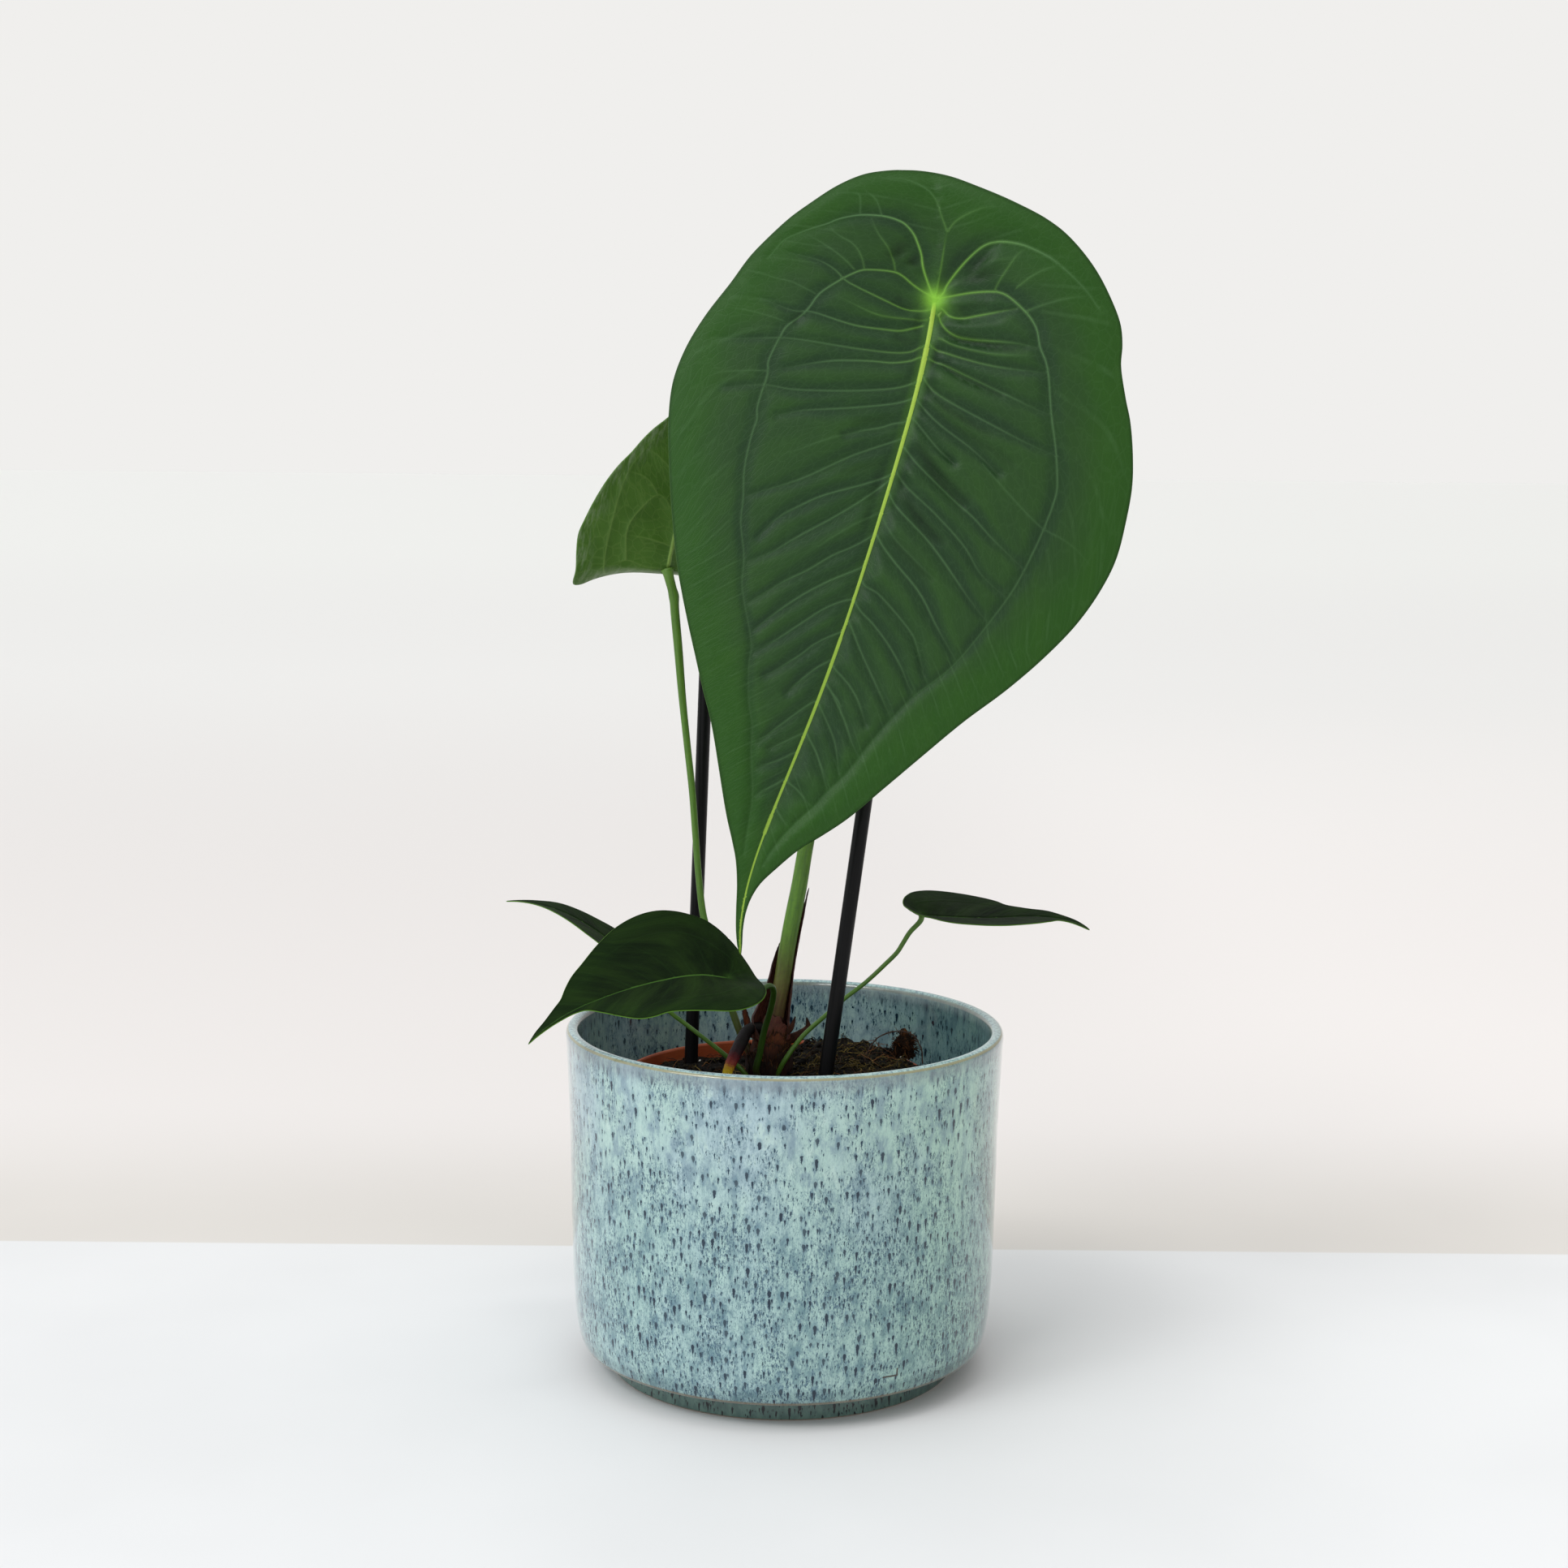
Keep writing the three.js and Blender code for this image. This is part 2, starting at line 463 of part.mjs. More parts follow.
// ---------------------------------------------------------------- mix
// Height of the mix: low at the front and left, heaped on the right and round the crown.
function mixHeight(x, y) {
  const r = Math.hypot(x - NURSERY_X, y);
  const heap = smooth((x + 8) / 26) * (1 - 0.45 * smooth((-y - 8) / 34));
  let z = 108 + 8.8 * heap + 3.2 * Math.exp(-((x + 6) ** 2 + (y - 6) ** 2) / 190);
  z += 3 * Math.exp(-((x + 37) ** 2 + (y - 30) ** 2) / 160);
  z += 0.7 * Math.sin(0.31 * x + 0.5) * Math.sin(0.27 * y + 1.3);
  return THREE.MathUtils.lerp(z, Math.min(z, 112), smooth((r - 54.5) / 3.4));
}
const mixProfile = [
  [0, NURSERY_BASE + NURSERY_WALL + GAP], [42.6, NURSERY_BASE + NURSERY_WALL + GAP],
  [55.8, 103.4], [57.6, 105.4], [57.9, 110], [54, 200], [46, 200], [34, 200], [22, 200], [11, 200], [0, 200],
];
const mixBody = warp(turned(mixProfile, 36, NURSERY_X), (v) =>
  v.z > 109 ? new THREE.Vector3(v.x, v.y, mixHeight(v.x, v.y)) : v,
);
let mix = solid(mixBody).subtract(crownRod(GAP));
for (const { pocket } of petioles) mix = mix.subtract(pocket);
for (const s of stakes) mix = mix.subtract(solid(rod(s, 12, 1, GAP)));
mix = mix.subtract(solid(rod(ROOT, 8, 12, GAP))).subtract(solid(rod(FIBRE, 6, 16, GAP)));
mix = mix.subtract(solid(CHUNK_GEOMETRY(GAP)));
add("potting_mix", geometryOf(largest(mix)), 0x2c231b, 0.95);
add("coir_chunk", CHUNK_GEOMETRY(0), 0x5e3d22, 0.95);
add("root_fibre", fibre, 0x2f231b, 0.8);

export default plant;
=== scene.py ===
"""Potted Anthurium peltigerum: the looks of every piece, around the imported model.
Lengths are millimetres until a mesh is made, and metres in the scene. +Z up, the
origin is the centre of the cover pot's foot."""
import math

import bpy
import numpy as np
from mathutils import Matrix, geometry as plane_geometry


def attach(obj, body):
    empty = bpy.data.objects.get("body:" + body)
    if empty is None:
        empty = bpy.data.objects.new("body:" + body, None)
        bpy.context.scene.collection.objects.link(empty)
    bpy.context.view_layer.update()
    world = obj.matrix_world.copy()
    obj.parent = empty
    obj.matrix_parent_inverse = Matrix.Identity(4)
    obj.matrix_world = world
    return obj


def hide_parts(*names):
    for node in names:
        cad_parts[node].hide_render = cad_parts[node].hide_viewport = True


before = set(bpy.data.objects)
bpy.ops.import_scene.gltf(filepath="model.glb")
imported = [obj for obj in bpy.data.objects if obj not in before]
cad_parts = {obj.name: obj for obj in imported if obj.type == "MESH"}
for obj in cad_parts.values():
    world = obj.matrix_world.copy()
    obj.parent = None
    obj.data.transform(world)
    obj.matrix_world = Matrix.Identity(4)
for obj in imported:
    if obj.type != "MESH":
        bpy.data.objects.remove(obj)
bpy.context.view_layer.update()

# ---------------------------------------------------------------- camera, light, floor
IMAGE = 1932
scene = bpy.context.scene
camera = bpy.data.objects.new("camera", bpy.data.cameras.new("camera"))
scene.collection.objects.link(camera)
camera.data.sensor_width = 36
camera.data.lens = 55.9
camera.data.clip_start = 0.01
camera.data.clip_end = 120
camera.matrix_world = (
    Matrix.Translation((-0.0011, -0.9265, 0.3502))
    @ Matrix.Rotation(math.radians(90 - 7.52), 4, "X")
    @ Matrix.Rotation(math.radians(0.5), 4, "Z")
)
scene.camera = camera
scene.view_settings.view_transform = "Standard"


def lin(*rgb):
    """A display colour, 0 to 255, as the linear one that shaders take."""
    out = []
    for v in rgb:
        v /= 255
        out.append(v / 12.92 if v <= 0.04045 else ((v + 0.055) / 1.055) ** 2.4)
    return (*out, 1.0)


world = bpy.data.worlds.new("studio")
scene.world = world
world.use_nodes = True
# What the camera sees is an even pale backdrop; the light it gives comes mostly from above
# and from the left, as in a room with a window.
wt = world.node_tree
backdrop = wt.nodes["Background"]
backdrop.inputs[0].default_value = lin(240, 239, 237)
backdrop.inputs[1].default_value = 1.0
room = wt.nodes.new("ShaderNodeBackground")
coords = wt.nodes.new("ShaderNodeTexCoord")
toward = wt.nodes.new("ShaderNodeVectorMath")
toward.operation = "DOT_PRODUCT"
toward.inputs[1].default_value = (-0.58, 0.1, 0.8)
level = wt.nodes.new("ShaderNodeMapRange")
for k, v in enumerate((-1.0, 1.0, 0.14, 1.1)):
    level.inputs[k + 1].default_value = v
tones = wt.nodes.new("ShaderNodeMix")
tones.data_type = "RGBA"
tones.inputs[6].default_value = lin(255, 248, 236)
tones.inputs[7].default_value = lin(250, 252, 254)
side_of = wt.nodes.new("ShaderNodeMapRange")
for k, v in enumerate((0.1, 0.9, 0.0, 1.0)):
    side_of.inputs[k + 1].default_value = v
seen = wt.nodes.new("ShaderNodeLightPath")
choose = wt.nodes.new("ShaderNodeMixShader")
link = wt.links.new
link(coords.outputs["Generated"], toward.inputs[0])
link(toward.outputs["Value"], level.inputs[0])
link(level.outputs[0], room.inputs[1])
link(level.outputs[0], side_of.inputs[0])
link(side_of.outputs[0], tones.inputs[0])
link(tones.outputs[2], room.inputs[0])
link(seen.outputs["Is Camera Ray"], choose.inputs[0])
link(room.outputs[0], choose.inputs[1])
link(backdrop.outputs[0], choose.inputs[2])
link(choose.outputs[0], wt.nodes["World Output"].inputs[0])


def lamp_at(name, kind, place, aim, power, colour=(1, 1, 1), **props):
    data = bpy.data.lights.new(name, kind)
    data.energy = power
    data.color = colour
    for k, v in props.items():
        setattr(data, k, v)
    lamp = bpy.data.objects.new(name, data)
    scene.collection.objects.link(lamp)
    z = np.array(place, float) - np.array(aim, float)
    z /= np.linalg.norm(z)
    x = np.cross((0, 0, 1), z)
    x /= np.linalg.norm(x)
    y = np.cross(z, x)
    lamp.matrix_world = Matrix(((x[0], y[0], z[0], place[0]), (x[1], y[1], z[1], place[1]), (x[2], y[2], z[2], place[2]), (0, 0, 0, 1)))
    return lamp


lamp_at("sky_light", "SUN", (-1.5, -0.9, 1.9), (0, 0, 0.1), 0.62, (0.97, 0.99, 1.0), angle=math.radians(24))
lamp_at("room_light", "SUN", (0.9, -1.4, 1.3), (0, 0, 0.1), 0.16, (1.0, 0.98, 0.95), angle=math.radians(50))
lamp_at("soft_box", "AREA", (-1.2, -1.5, 2.0), (0, 0, 0.13), 14.0, (0.98, 0.99, 1.0), shape="RECTANGLE", size=1.15, size_y=0.5)
lamp_at("ceiling", "AREA", (0.12, -0.3, 2.3), (0, 0, 0.13), 3.0, shape="RECTANGLE", size=0.5, size_y=0.16)

# ---------------------------------------------------------------- numbers
def smooth(x):
    x = np.clip(x, 0, 1)
    return x * x * (3 - 2 * x)


def lerp(a, b, f):
    return a + (b - a) * f


def bell(x, w):
    return np.exp(-((x / w) ** 2))


def _hash(i, j, k, seed):
    n = (i * 73856093) ^ (j * 19349663) ^ (k * 83492791) ^ (seed * 2654435)
    n = (n ^ (n >> 13)) * 1274126177
    n = (n ^ (n >> 16)) & 0xFFFF
    return n / 65535.0


def noise(p, seed=0):
    """Smooth value noise, 0 to 1, at points (n, 3)."""
    p = np.asarray(p, float)
    i = np.floor(p).astype(np.int64)
    f = p - i
    f = f * f * (3 - 2 * f)
    total = np.zeros(len(p))
    for a in (0, 1):
        for b in (0, 1):
            for c in (0, 1):
                w = (f[:, 0] if a else 1 - f[:, 0]) * (f[:, 1] if b else 1 - f[:, 1]) * (f[:, 2] if c else 1 - f[:, 2])
                total += w * _hash(i[:, 0] + a, i[:, 1] + b, i[:, 2] + c, seed)
    return total


def fbm(p, seed=0, octaves=4, gain=0.5):
    total, amount, norm = 0, 1.0, 0.0
    p = np.asarray(p, float)
    for o in range(octaves):
        total = total + amount * (noise(p * 2**o, seed + 17 * o) - 0.5)
        norm += amount
        amount *= gain
    return total / norm * 2


def centripetal(points, per=24, closed=False):
    """Dense points on the centripetal Catmull-Rom curve through the given ones."""
    p = np.asarray(points, float)
    n = len(p)
    out = []
    for i in range(n if closed else n - 1):
        p1, p2 = p[i], p[(i + 1) % n]
        p0 = p[i - 1] if closed or i > 0 else 2 * p1 - p2
        p3 = p[(i + 2) % n] if closed or i + 2 < n else 2 * p2 - p1
        d0, d1, d2 = (max(np.linalg.norm(b - a) ** 0.5, 1e-6) for a, b in ((p0, p1), (p1, p2), (p2, p3)))
        m1 = ((p1 - p0) / d0 - (p2 - p0) / (d0 + d1) + (p2 - p1) / d1) * d1
        m2 = ((p2 - p1) / d1 - (p3 - p1) / (d1 + d2) + (p3 - p2) / d2) * d1
        t = np.arange(per)[:, None] / per
        out.append(p1 + m1 * t + (-3 * p1 + 3 * p2 - 2 * m1 - m2) * t**2 + (2 * p1 - 2 * p2 + m1 + m2) * t**3)
    if not closed:
        out.append(p[-1:])
    return np.concatenate(out)


def spaced(dense, step, closed=False, count=None):
    """The same line with evenly spaced points, and how far along each lies."""
    d = np.vstack([dense, dense[:1]]) if closed else dense
    length = np.r_[0, np.cumsum(np.linalg.norm(np.diff(d, axis=0), axis=1))]
    n = count or max(2, int(round(length[-1] / step)) + 1)
    x = np.linspace(0, length[-1], n + 1 if closed else n)
    if closed:
        x = x[:-1]
    return np.stack([np.interp(x, length, d[:, k]) for k in range(d.shape[1])], 1), x


def read_along(values, f):
    values = np.asarray(values, float)
    return np.interp(np.clip(f, 0, 1) * (len(values) - 1), np.arange(len(values)), values)


# ---------------------------------------------------------------- meshes
def mesh_object(name, verts, quads=(), tris=(), attributes=None, materials=(), index=None, flat=False):
    """A mesh object from points in millimetres. index gives each face's material, quads first."""
    quads = np.asarray(quads, np.int32).reshape(-1, 4)
    tris = np.asarray(tris, np.int32).reshape(-1, 3)
    mesh = bpy.data.meshes.new(name)
    v = (np.asarray(verts, float) / 1000).astype(np.float32)
    mesh.vertices.add(len(v))
    mesh.vertices.foreach_set("co", v.ravel())
    loops = np.concatenate([quads.ravel(), tris.ravel()]).astype(np.int32)
    starts = np.concatenate([np.arange(len(quads)) * 4, len(quads) * 4 + np.arange(len(tris)) * 3]).astype(np.int32)
    mesh.loops.add(len(loops))
    mesh.loops.foreach_set("vertex_index", loops)
    mesh.polygons.add(len(starts))
    mesh.polygons.foreach_set("loop_start", starts)
    mesh.update(calc_edges=True)
    mesh.polygons.foreach_set("use_smooth", np.full(len(starts), not flat))
    for m in materials:
        mesh.materials.append(m)
    if index is not None:
        mesh.polygons.foreach_set("material_index", np.asarray(index, np.int32))
    for key, values in (attributes or {}).items():
        values = np.asarray(values, np.float32)
        if values.ndim == 2:
            mesh.attributes.new(key, "FLOAT_VECTOR", "POINT").data.foreach_set("vector", values.ravel())
        else:
            mesh.attributes.new(key, "FLOAT", "POINT").data.foreach_set("value", values)
    mesh.validate()
    mesh.update()
    o = bpy.data.objects.new(name, mesh)
    scene.collection.objects.link(o)
    return o


def place(o, slot, *nodes):
    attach(o, "root")
    if nodes:
        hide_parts(*nodes)
    return o


class Parts:
    """Gathers many small closed meshes into one."""

    def __init__(self):
        self.v, self.q, self.t, self.n = [], [], [], 0
        self.attributes = {}

    def add(self, verts, quads=(), tris=(), **attributes):
        verts = np.asarray(verts, float)
        self.v.append(verts)
        self.q.append(np.asarray(quads, int).reshape(-1, 4) + self.n)
        self.t.append(np.asarray(tris, int).reshape(-1, 3) + self.n)
        for k, a in attributes.items():
            self.attributes.setdefault(k, []).append(np.broadcast_to(np.asarray(a, float), (len(verts),)))
        self.n += len(verts)

    def build(self, name, materials, **kw):
        return mesh_object(
            name, np.concatenate(self.v), np.concatenate(self.q), np.concatenate(self.t),
            {k: np.concatenate(a) for k, a in self.attributes.items()}, materials, **kw,
        )


def frames_along(points):
    """Tangents and two crossing directions that don't twist, at each point of a line."""
    t = np.gradient(points, axis=0)
    t /= np.linalg.norm(t, axis=1)[:, None] + 1e-12
    ref = np.array([0, 0, 1.0]) if abs(t[0, 2]) < 0.8 else np.array([1.0, 0, 0])
    n = ref - t[0] * (ref @ t[0])
    n /= np.linalg.norm(n)
    ns = [n]
    for i in range(1, len(points)):
        n = ns[-1] - t[i] * (ns[-1] @ t[i])
        ns.append(n / (np.linalg.norm(n) + 1e-12))
    ns = np.array(ns)
    return t, ns, np.cross(t, ns)


def tube(points, radius, sides, round_ends=(True, True)):
    """A closed tube round a line. radius is (n,) or (n, sides). Gives verts, quads, tris, and
    how far along (0 to 1), the angle, and how far along in mm, for each vertex."""
    points = np.asarray(points, float)
    radius = np.asarray(radius, float)
    if radius.ndim == 1:
        radius = np.repeat(radius[:, None], sides, 1)
    t, a, b = frames_along(points)
    length = np.r_[0, np.cumsum(np.linalg.norm(np.diff(points, axis=0), axis=1))]
    # Round ends: a few rings that shrink along a quarter circle.
    rows_p, rows_r, rows_t, rows_a, rows_b, rows_l = list(points), list(radius), list(t), list(a), list(b), list(length)
    steps = [(0.98, 0.18), (0.86, 0.5), (0.6, 0.78), (0.25, 0.95)]
    if round_ends[1]:
        for w, out in steps:
            rows_p.append(points[-1] + t[-1] * out * radius[-1].mean() * 0.8)
            rows_r.append(radius[-1] * w); rows_t.append(t[-1]); rows_a.append(a[-1]); rows_b.append(b[-1]); rows_l.append(length[-1])
    if round_ends[0]:
        for w, out in steps:
            rows_p.insert(0, points[0] - t[0] * out * radius[0].mean() * 0.8)
            rows_r.insert(0, radius[0] * w); rows_t.insert(0, t[0]); rows_a.insert(0, a[0]); rows_b.insert(0, b[0]); rows_l.insert(0, 0)
    P, R, A, B, L = (np.array(x) for x in (rows_p, rows_r, rows_a, rows_b, rows_l))
    m = len(P)
    ang = np.arange(sides) / sides * 2 * np.pi
    V = P[:, None] + R[..., None] * (np.cos(ang)[None, :, None] * A[:, None] + np.sin(ang)[None, :, None] * B[:, None])
    i, j = np.meshgrid(np.arange(m - 1), np.arange(sides), indexing="ij")
    k = (j + 1) % sides
    quads = np.stack([i * sides + j, i * sides + k, (i + 1) * sides + k, (i + 1) * sides + j], -1).reshape(-1, 4)
    V = V.reshape(-1, 3)
    c0, c1 = len(V), len(V) + 1
    V = np.vstack([V, P[0], P[-1]])
    j = np.arange(sides)
    k = (j + 1) % sides
    tris = np.concatenate([
        np.stack([np.full(sides, c0), k, j], 1),
        np.stack([np.full(sides, c1), (m - 1) * sides + j, (m - 1) * sides + k], 1),
    ])
    along = np.concatenate([np.repeat(L / max(length[-1], 1e-9), sides), [0, 1]])
    angle = np.concatenate([np.tile(ang, m), [0, 0]])
    mm = np.concatenate([np.repeat(L, sides), [0, length[-1]]])
    return V, quads, tris, along, angle, mm


def sheet_solid(P, half):
    """A closed thin sheet from a grid of points (rows, columns, 3), half its thickness each way."""
    rows, cols = P.shape[:2]
    du = np.gradient(P, axis=1)
    dv = np.gradient(P, axis=0)
    n = np.cross(du, dv)
    n /= np.linalg.norm(n, axis=2)[..., None] + 1e-12
    half = np.broadcast_to(np.asarray(half, float), (rows, cols))[..., None]
    V = np.concatenate([(P + n * half).reshape(-1, 3), (P - n * half).reshape(-1, 3)])
    size = rows * cols
    i, j = np.meshgrid(np.arange(rows - 1), np.arange(cols - 1), indexing="ij")
    q = np.stack([i * cols + j, i * cols + j + 1, (i + 1) * cols + j + 1, (i + 1) * cols + j], -1).reshape(-1, 4)
    back = q[:, ::-1] + size
    border = np.concatenate([
        np.arange(cols), np.arange(1, rows) * cols + cols - 1,
        (rows - 1) * cols + np.arange(cols - 2, -1, -1), np.arange(rows - 2, 0, -1) * cols,
    ])
    nxt = np.roll(border, -1)
    side = np.stack([nxt, border, border + size, nxt + size], 1)
    return V, np.concatenate([q, back, side])


# ---------------------------------------------------------------- material nodes
class Nodes:
    """A material's nodes, written as expressions."""

    def __init__(self, name, **sockets):
        self.material = bpy.data.materials.new(name)
        self.material.use_nodes = True
        self.tree = self.material.node_tree
        self.tree.nodes.clear()
        self.out = self.tree.nodes.new("ShaderNodeOutputMaterial")
        self.bsdf = self.tree.nodes.new("ShaderNodeBsdfPrincipled")
        self.tree.links.new(self.bsdf.outputs[0], self.out.inputs[0])
        for k, v in sockets.items():
            self.bsdf.inputs[k.replace("_", " ")].default_value = v

    def put(self, socket, value):
        if isinstance(value, bpy.types.NodeSocket):
            self.tree.links.new(value, socket)
        elif value is not None:
            socket.default_value = value

    def shader(self, **sockets):
        for k, v in sockets.items():
            self.put(self.bsdf.inputs[k.replace("_", " ")], v)
        return self.material

    def node(self, kind, **props):
        n = self.tree.nodes.new(kind)
        for k, v in props.items():
            setattr(n, k, v)
        return n

    def math(self, op, a, b=None, c=None, clamp=False):
        n = self.node("ShaderNodeMath", operation=op, use_clamp=clamp)
        self.put(n.inputs[0], a)
        self.put(n.inputs[1], b)
        self.put(n.inputs[2], c)
        return n.outputs[0]

    def mul(self, a, b):
        return self.math("MULTIPLY", a, b)

    def add(self, a, b):
        return self.math("ADD", a, b)

    def sub(self, a, b):
        return self.math("SUBTRACT", a, b)

    def inv(self, a):
        return self.math("SUBTRACT", 1.0, a, clamp=True)

    def mix(self, f, a, b, mode="MIX"):
        n = self.node("ShaderNodeMix", data_type="RGBA", blend_type=mode)
        self.put(n.inputs[0], f)
        self.put(n.inputs[6], a)
        self.put(n.inputs[7], b)
        return n.outputs[2]

    def range(self, v, a, b, c=0.0, d=1.0, soft=True):
        n = self.node("ShaderNodeMapRange", interpolation_type="SMOOTHSTEP" if soft else "LINEAR")
        for i, x in enumerate((v, a, b, c, d)):
            self.put(n.inputs[i], x)
        return n.outputs[0]

    def ramp(self, f, stops, mode="LINEAR"):
        n = self.node("ShaderNodeValToRGB")
        n.color_ramp.interpolation = mode
        e = n.color_ramp.elements
        while len(e) > 1:
            e.remove(e[-1])
        e[0].position, e[0].color = stops[0]
        for p, col in stops[1:]:
            x = e.new(p)
            x.color = col
        self.put(n.inputs[0], f)
        return n.outputs[0]

    def noise(self, v, scale, detail=3.0, rough=0.5, dist=0.0, colour=False):
        n = self.node("ShaderNodeTexNoise")
        self.put(n.inputs["Vector"], v)
        n.inputs["Scale"].default_value = scale
        n.inputs["Detail"].default_value = detail
        n.inputs["Roughness"].default_value = rough
        n.inputs["Distortion"].default_value = dist
        return n.outputs["Color" if colour else "Fac"]

    def cells(self, v, scale, feature="F1", rand=1.0):
        n = self.node("ShaderNodeTexVoronoi", feature=feature)
        self.put(n.inputs["Vector"], v)
        n.inputs["Scale"].default_value = scale
        n.inputs["Randomness"].default_value = rand
        return n

    def attr(self, name, vector=False):
        n = self.node("ShaderNodeAttribute", attribute_name=name)
        return n.outputs["Vector" if vector else "Fac"]

    def mm(self):
        """The point on the object, in millimetres."""
        t = self.node("ShaderNodeTexCoord")
        return self.vmul(t.outputs["Object"], (1000, 1000, 1000))

    def vmath(self, op, a, b=None):
        n = self.node("ShaderNodeVectorMath", operation=op)
        self.put(n.inputs[0], a)
        if b is not None:
            self.put(n.inputs[1], b)
        return n.outputs[0]

    def vmul(self, a, b):
        return self.vmath("MULTIPLY", a, b)

    def vadd(self, a, b):
        return self.vmath("ADD", a, b)

    def xyz(self, v):
        n = self.node("ShaderNodeSeparateXYZ")
        self.put(n.inputs[0], v)
        return n.outputs[0], n.outputs[1], n.outputs[2]

    def combine(self, x, y, z):
        n = self.node("ShaderNodeCombineXYZ")
        for i, a in enumerate((x, y, z)):
            self.put(n.inputs[i], a)
        return n.outputs[0]

    def bump(self, height, depth_mm, strength=1.0, normal=None):
        n = self.node("ShaderNodeBump")
        n.inputs["Strength"].default_value = strength
        n.inputs["Distance"].default_value = depth_mm / 1000
        self.put(n.inputs["Height"], height)
        if normal is not None:
            self.put(n.inputs["Normal"], normal)
        return n.outputs[0]


# ---------------------------------------------------------------- measured shapes
LEAF_1 = dict(
    at=[53.81,-3.99,412.09],
    run=[[-12.201,-16.12,-97.698],[-24.39,0.435,2.637],[16.536,0.06,0.366],[-2.99,-0.312,-1.893],[-2.05,0.207,1.255],[0.7,-0.042,-0.255]],
    up=[0,-0.985,0.17], twist=[0,0,0],
    fold=[7,7], droop=[0.16,0.16], soft=5, dip=[5,26], cup=[0,0,30],
    edge=[
        (-51.1, 17), (-51.8, 26.6), (-49.1, 37.2), (-42.6, 47.6), (-34, 56.6), (-12.5, 69.5), (8.2, 77.2), (26.7, 84), (43, 88.1),
        (57.5, 89.2), (71.5, 87), (82.2, 83.9), (102.7, 76.7), (125.9, 67), (136.4, 61.6), (147.8, 55.1), (158.8, 48.3), (169.6, 41.3),
        (179.9, 33.9), (195.3, 24.2), (209.2, 15.5), (216.6, 10.5), (223, 6.8), (231.3, 3.9), (240, 2.4), (248.7, 1.5), (254.4, 0.8),
        (256.8, 0), (253, -0.8), (247.1, -1), (240.9, -1.4), (235.4, -2.3), (229.2, -4.3), (221.3, -8.6), (211.4, -14.3), (203.3, -20.3),
        (194.1, -26.5), (177.7, -35.3), (161.8, -44.2), (146.5, -53.5), (130.7, -64.9), (115.8, -74.4), (101.3, -82), (87.6, -86.8), (74.8, -89.2),
        (60.1, -88.7), (48.9, -87.4), (39.8, -84.9), (28.8, -80.6), (21.9, -76.8), (12.7, -72.7), (6.8, -71.9), (1.2, -70.1), (-5.2, -65.7),
        (-13.7, -58.3), (-22.4, -48), (-27, -40.5), (-32.4, -29.4), (-38.8, -16.2), (-44.8, -4.4), (-48.5, 5.7),
    ],
)
LEAF_2 = dict(
    at=[-48.95,48,308.04],
    run=[[20.801,-30.513,92.173],[10.704,7.55,1.94],[-4.786,-8.949,-3.311]],
    up=[-0.328,0.872,0.363], twist=[0,0,0],
    fold=[5,5], droop=[0.15,0.15], soft=3, dip=[1.5,12], cup=[3.4,0,25],
    edge=[
        (-7, 0), (-7.2, 9), (-8.2, 18), (-9.6, 26), (-11.5, 32.5), (-10.5, 36), (-4, 36.8), (3.5, 38.2), (10.5, 38.9),
        (16.5, 37.6), (23.3, 35.8), (31.3, 33.1), (38.9, 29.6), (45, 25.8), (51, 22.7), (55.7, 19.8), (61.8, 15.1), (70, 10.6),
        (80, 6.2), (90, 3), (98, 1.4), (105, 0), (98, -1.4), (90, -2.9), (80, -6), (70, -10.3), (61.8, -14.6),
        (55.7, -19.2), (51, -22), (45, -25), (38.9, -28.7), (31.3, -32.1), (23.3, -34.7), (16.5, -36.5), (10.5, -37.7), (3.5, -37.6),
        (-4, -36.8), (-8.6, -34.5), (-9.9, -30.6), (-9.6, -25.2), (-8.2, -17.5), (-7.2, -8.7),
    ],
)
LEAF_3 = dict(
    at=[-20.78,-35,161.38],
    run=[[-89.179,-36.412,12.035],[-39.777,67.014,-97.104],[69.688,-140.546,131.16],[-27.247,96.608,-90.839]],
    up=[0.051,-0.304,0.951], twist=[-0.1,0,0],
    fold=[7,15], droop=[0.25,0.1], soft=4, dip=[2,10], cup=[0,0,30],
    edge=[
        (81.5, 0), (77.7, 2.2), (72.1, 3.9), (65.8, 6.9), (62.7, 8.7), (59.3, 12.5), (55.2, 16.7), (49.6, 21.2), (41.7, 28.6),
        (34.7, 34.5), (29.2, 37.6), (24, 39.2), (18.6, 39.2), (13.3, 37.5), (7.5, 34.4), (1.3, 30.5), (-4.2, 24.9), (-9.5, 17.7),
        (-11, 13.3), (-12.6, 8), (-13, 1), (-11.8, -6.2), (-8.0, -16.0), (-2.8, -24.6), (2.8, -29.2), (7.9, -30.4), (15.1, -28.6),
        (22.6, -26.2), (29.2, -24.5), (35.2, -24.9), (40.7, -23.4), (46.5, -18), (51.7, -10.9), (57, -3.9), (61.5, -2.3), (66.9, -1.8),
        (72.6, -1.3), (77.7, -0.7),
    ],
)
